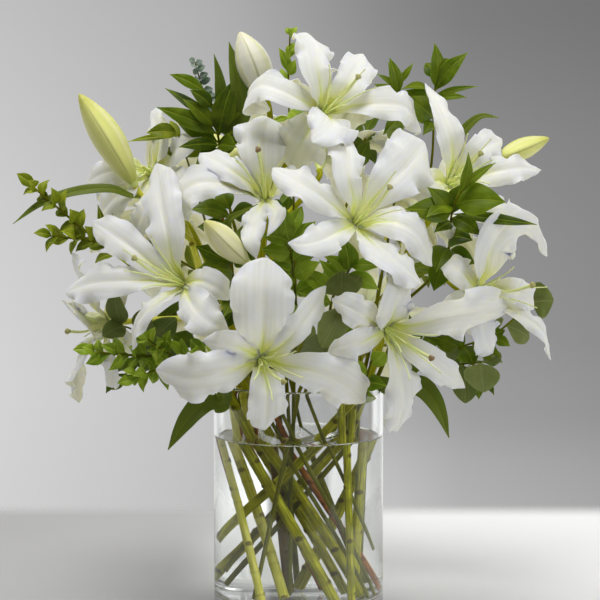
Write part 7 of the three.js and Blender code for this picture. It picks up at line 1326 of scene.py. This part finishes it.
R, H, WALL, FLOOR, TOP = 76.0, 203.0, 4.0, 12.0, 155.0
vase = Piece("looks_vase")
prof = [(0, 0.6), (46, 0.6), (58, 0.45), (66, 0.0)] + arc(R - 3.2, 3.2, 3.2, -90, 0, 7)
prof += [(R, z) for z in np.linspace(10, H - 4, 14)] + arc(R - 2.0, H - 2.0, 2.0, 0, 180, 12)
prof += [(R - WALL, z) for z in np.linspace(H - 6, FLOOR + 8, 14)] + arc(R - WALL - 7, FLOOR + 7, 7, 0, -90, 8) + [(40, FLOOR + 0.1), (0, FLOOR)]
lathe(vase, prof, 160, GLASS)
ob = vase.make(40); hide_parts("vase")
water = Piece("looks_water")
ri = R - WALL + 0.12
prof = [(0, FLOOR - 0.12), (40, FLOOR - 0.02)] + arc(R - WALL - 7 + 0.1, FLOOR + 7, 7.05, -90, 0, 8)
prof += [(ri, z) for z in np.linspace(FLOOR + 8, TOP - 4, 10)] + [(ri, TOP + 1.6), (ri - 0.35, TOP + 1.3), (ri - 0.9, TOP + 0.7), (ri - 1.8, TOP + 0.25), (ri - 3.2, TOP + 0.05), (ri - 5, TOP), (40, TOP), (0, TOP)]
lathe(water, prof, 160, WATER)
ob = water.make(40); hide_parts("water")

# ------------------------------------------------------------------ stage, light and camera
def stage_floor():
    """a pale table top whose straight edges fade out; its left half is painted darker and its right half paler as
    painted light, with a painted pool of light just behind the vase
    """
    n = 24; g = np.linspace(-0.52, 0.52, n + 1)
    v = [(x, y, 0) for y in g for x in g]
    f = [(j * (n + 1) + i, j * (n + 1) + i + 1, (j + 1) * (n + 1) + i + 1, (j + 1) * (n + 1) + i) for j in range(n) for i in range(n)]
    me = bpy.data.meshes.new("floor"); me.from_pydata(v, [], f); me.update()
    ob = bpy.data.objects.new("floor", me); bpy.context.scene.collection.objects.link(ob)
    h = Shader("floor", 0.7)
    n1 = h.noise(h.place(), 3.0, 4.0)
    sx = h.t.nodes.new("ShaderNodeSeparateXYZ"); h.t.links.new(h.place(), sx.inputs[0])
    # painted light: the table is painted dark on the left and pale on the right, for light falling brighter on the
    # right
    side = h.step(sx.outputs[0], -0.16, 0.16)
    pale = h.mix(side, (0.455, 0.455, 0.455), (0.93, 0.93, 0.93))
    # painted light: a pale pool painted on the table just behind the vase, in the bouquet's shadow, where light through
    # the water would fall
    painted_light_pool = h.math("MULTIPLY", h.math("MULTIPLY", h.step(h.math("ABSOLUTE", sx.outputs[0]), 0.13, 0.03), h.step(sx.outputs[1], 0.02, 0.12)), h.step(sx.outputs[1], 0.42, 0.22))
    pale = h.mix(painted_light_pool, pale, (0.92, 0.92, 0.92))
    pale = h.mix(h.step(sx.outputs[1], -0.05, -0.22), pale, (0.48, 0.48, 0.48))
    h.feed(h.p.inputs["Base Color"], h.mix(h.step(n1, 0.2, 0.8, 0.0, 0.10), pale, (0.72, 0.72, 0.725)))
    h.p.inputs["Specular IOR Level"].default_value = 0.2
    edge = h.math("MAXIMUM", h.math("ABSOLUTE", sx.outputs[0]), h.math("ABSOLUTE", sx.outputs[1]))
    fade = h.step(edge, 0.425, 0.512, 0.0, 1.0)
    mix = h.t.nodes.new("ShaderNodeMixShader"); clear = h.t.nodes.new("ShaderNodeBsdfTransparent")
    h.t.links.new(fade, mix.inputs[0]); h.t.links.new(h.p.outputs[0], mix.inputs[1]); h.t.links.new(clear.outputs[0], mix.inputs[2])
    h.t.links.new(mix.outputs[0], h.out.inputs[0])
    me.materials.append(h.m)
stage_floor()

scene = bpy.context.scene
world = bpy.data.worlds.new("studio"); scene.world = world; world.use_nodes = True
wt = world.node_tree; wt.nodes.clear()
wo = wt.nodes.new("ShaderNodeOutputWorld"); wb = wt.nodes.new("ShaderNodeBackground"); wt.links.new(wb.outputs[0], wo.inputs[0])
tc = wt.nodes.new("ShaderNodeTexCoord"); sx = wt.nodes.new("ShaderNodeSeparateXYZ"); wt.links.new(tc.outputs["Generated"], sx.inputs[0])
def ramp(source, stops):
    m = wt.nodes.new("ShaderNodeMapRange"); m.inputs[1].default_value = -1; m.inputs[2].default_value = 1
    r = wt.nodes.new("ShaderNodeValToRGB")
    wt.links.new(source, m.inputs[0]); wt.links.new(m.outputs[0], r.inputs[0])
    e = r.color_ramp.elements
    for k, x in ((0, stops[0]), (1, stops[-1])):
        e[k].position = 0.5 + 0.5 * x[0]; e[k].color = (x[1], x[1], x[1], 1)
    for at, c in stops[1:-1]:
        x = e.new(0.5 + 0.5 * at); x.color = (c, c, c, 1)
    return r.outputs[0]
# a backdrop that is lighter on one side, darker overhead
across = ramp(sx.outputs[0], [(-1, 0.70), (-0.8, 0.58), (-0.6, 0.56), (-0.46, 0.70), (-0.3, 0.88), (-0.195, 0.92), (-0.16, 0.64), (-0.05, 0.52), (0.08, 0.29), (0.152, 0.25), (0.195, 0.90), (0.3, 0.88), (0.46, 0.70), (0.6, 0.56), (0.8, 0.58), (1, 0.70)])
up = ramp(sx.outputs[2], [(-1, 0.9), (-0.3, 0.95), (-0.12, 1.05), (-0.05, 1.0), (0.08, 0.82), (0.16, 0.70), (0.3, 0.30), (0.6, 0.24), (1, 0.24)])
mu = wt.nodes.new("ShaderNodeMix"); mu.data_type = "RGBA"; mu.blend_type = "MULTIPLY"; mu.inputs[0].default_value = 1.0
wt.links.new(across, mu.inputs[6]); wt.links.new(up, mu.inputs[7])
front = ramp(sx.outputs[1], [(-1, 0.50), (-0.25, 0.50), (0.1, 1.0), (1, 1.0)])
mf = wt.nodes.new("ShaderNodeMix"); mf.data_type = "RGBA"; mf.blend_type = "MULTIPLY"; mf.inputs[0].default_value = 1.0
wt.links.new(mu.outputs[2], mf.inputs[6]); wt.links.new(front, mf.inputs[7])
low = ramp(sx.outputs[2], [(-1, 1.0), (-0.32, 1.05), (-0.18, 1.5), (-0.157, 1.36), (-0.137, 1.14), (-0.10, 1.03), (0.0, 0.97), (0.058, 0.84), (0.2, 0.84), (1, 1.0)])
msk = ramp(sx.outputs[0], [(-1, 0), (-0.03, 0), (0.045, 1), (1, 1)])
ml = wt.nodes.new("ShaderNodeMix"); ml.data_type = "RGBA"; ml.inputs[6].default_value = (1, 1, 1, 1)
wt.links.new(msk, ml.inputs[0]); wt.links.new(low, ml.inputs[7])
mg = wt.nodes.new("ShaderNodeMix"); mg.data_type = "RGBA"; mg.blend_type = "MULTIPLY"; mg.inputs[0].default_value = 1.0
wt.links.new(mf.outputs[2], mg.inputs[6]); wt.links.new(ml.outputs[2], mg.inputs[7])
under = ramp(sx.outputs[2], [(-1, 1.0), (-0.50, 1.9), (-0.34, 1.6), (-0.24, 0.34), (-0.04, 0.34), (0.10, 1.0), (1, 1.0)])
mk = ramp(sx.outputs[1], [(-1, 1), (-0.15, 1), (0.2, 0), (1, 0)])
mu2 = wt.nodes.new("ShaderNodeMix"); mu2.data_type = "RGBA"; mu2.inputs[6].default_value = (1, 1, 1, 1)
wt.links.new(mk, mu2.inputs[0]); wt.links.new(under, mu2.inputs[7])
mh = wt.nodes.new("ShaderNodeMix"); mh.data_type = "RGBA"; mh.blend_type = "MULTIPLY"; mh.inputs[0].default_value = 1.0
wt.links.new(mg.outputs[2], mh.inputs[6]); wt.links.new(mu2.outputs[2], mh.inputs[7])
wt.links.new(mh.outputs[2], wb.inputs[0]); wb.inputs[1].default_value = 1.0

def lamp(name, at, aim, size, power, colour=(1, 1, 1)):
    l = bpy.data.lights.new(name, "AREA"); l.shape = "RECTANGLE"; l.size = size[0]; l.size_y = size[1]; l.energy = power; l.color = colour
    o = bpy.data.objects.new(name, l); scene.collection.objects.link(o)
    from mathutils import Vector
    o.location = at; o.rotation_mode = "QUATERNION"
    o.rotation_quaternion = (Vector(aim) - Vector(at)).to_track_quat("-Z", "Y")
    o.visible_camera = False
    return o
lamp("key", (-0.40, -0.68, 2.58), (0, 0, 0.3), (1.5, 1.5), 51.0, (1.0, 0.99, 0.97))
lamp("fill", (1.9, -1.5, 0.95), (0, 0, 0.28), (1.5, 1.5), 21.5, (0.98, 0.99, 1.0))
for o in (lamp("back_left", (-1.6, 1.5, 1.2), (0, 0, 0.25), (1.4, 1.6), 18.0), lamp("back_right", (1.6, 1.5, 1.2), (0, 0, 0.25), (1.4, 1.6), 18.0)):
    o.visible_transmission = False; o.visible_glossy = False

cam = bpy.data.cameras.new("camera"); co = bpy.data.objects.new("camera", cam); scene.collection.objects.link(co)
cam.sensor_width = 36.0; cam.lens = 2033.0 / 600.0 * 36.0
cam.clip_start = 0.05; cam.clip_end = 50
co.location = (0.00133, -1.807, 0.420)
co.rotation_euler = (math.radians(90 - 4.54), 0, 0)
scene.camera = co
scene.view_settings.view_transform = "Standard"
scene.cycles.max_bounces = 24; scene.cycles.transmission_bounces = 20; scene.cycles.transparent_max_bounces = 24
scene.cycles.diffuse_bounces = 5; scene.cycles.glossy_bounces = 6
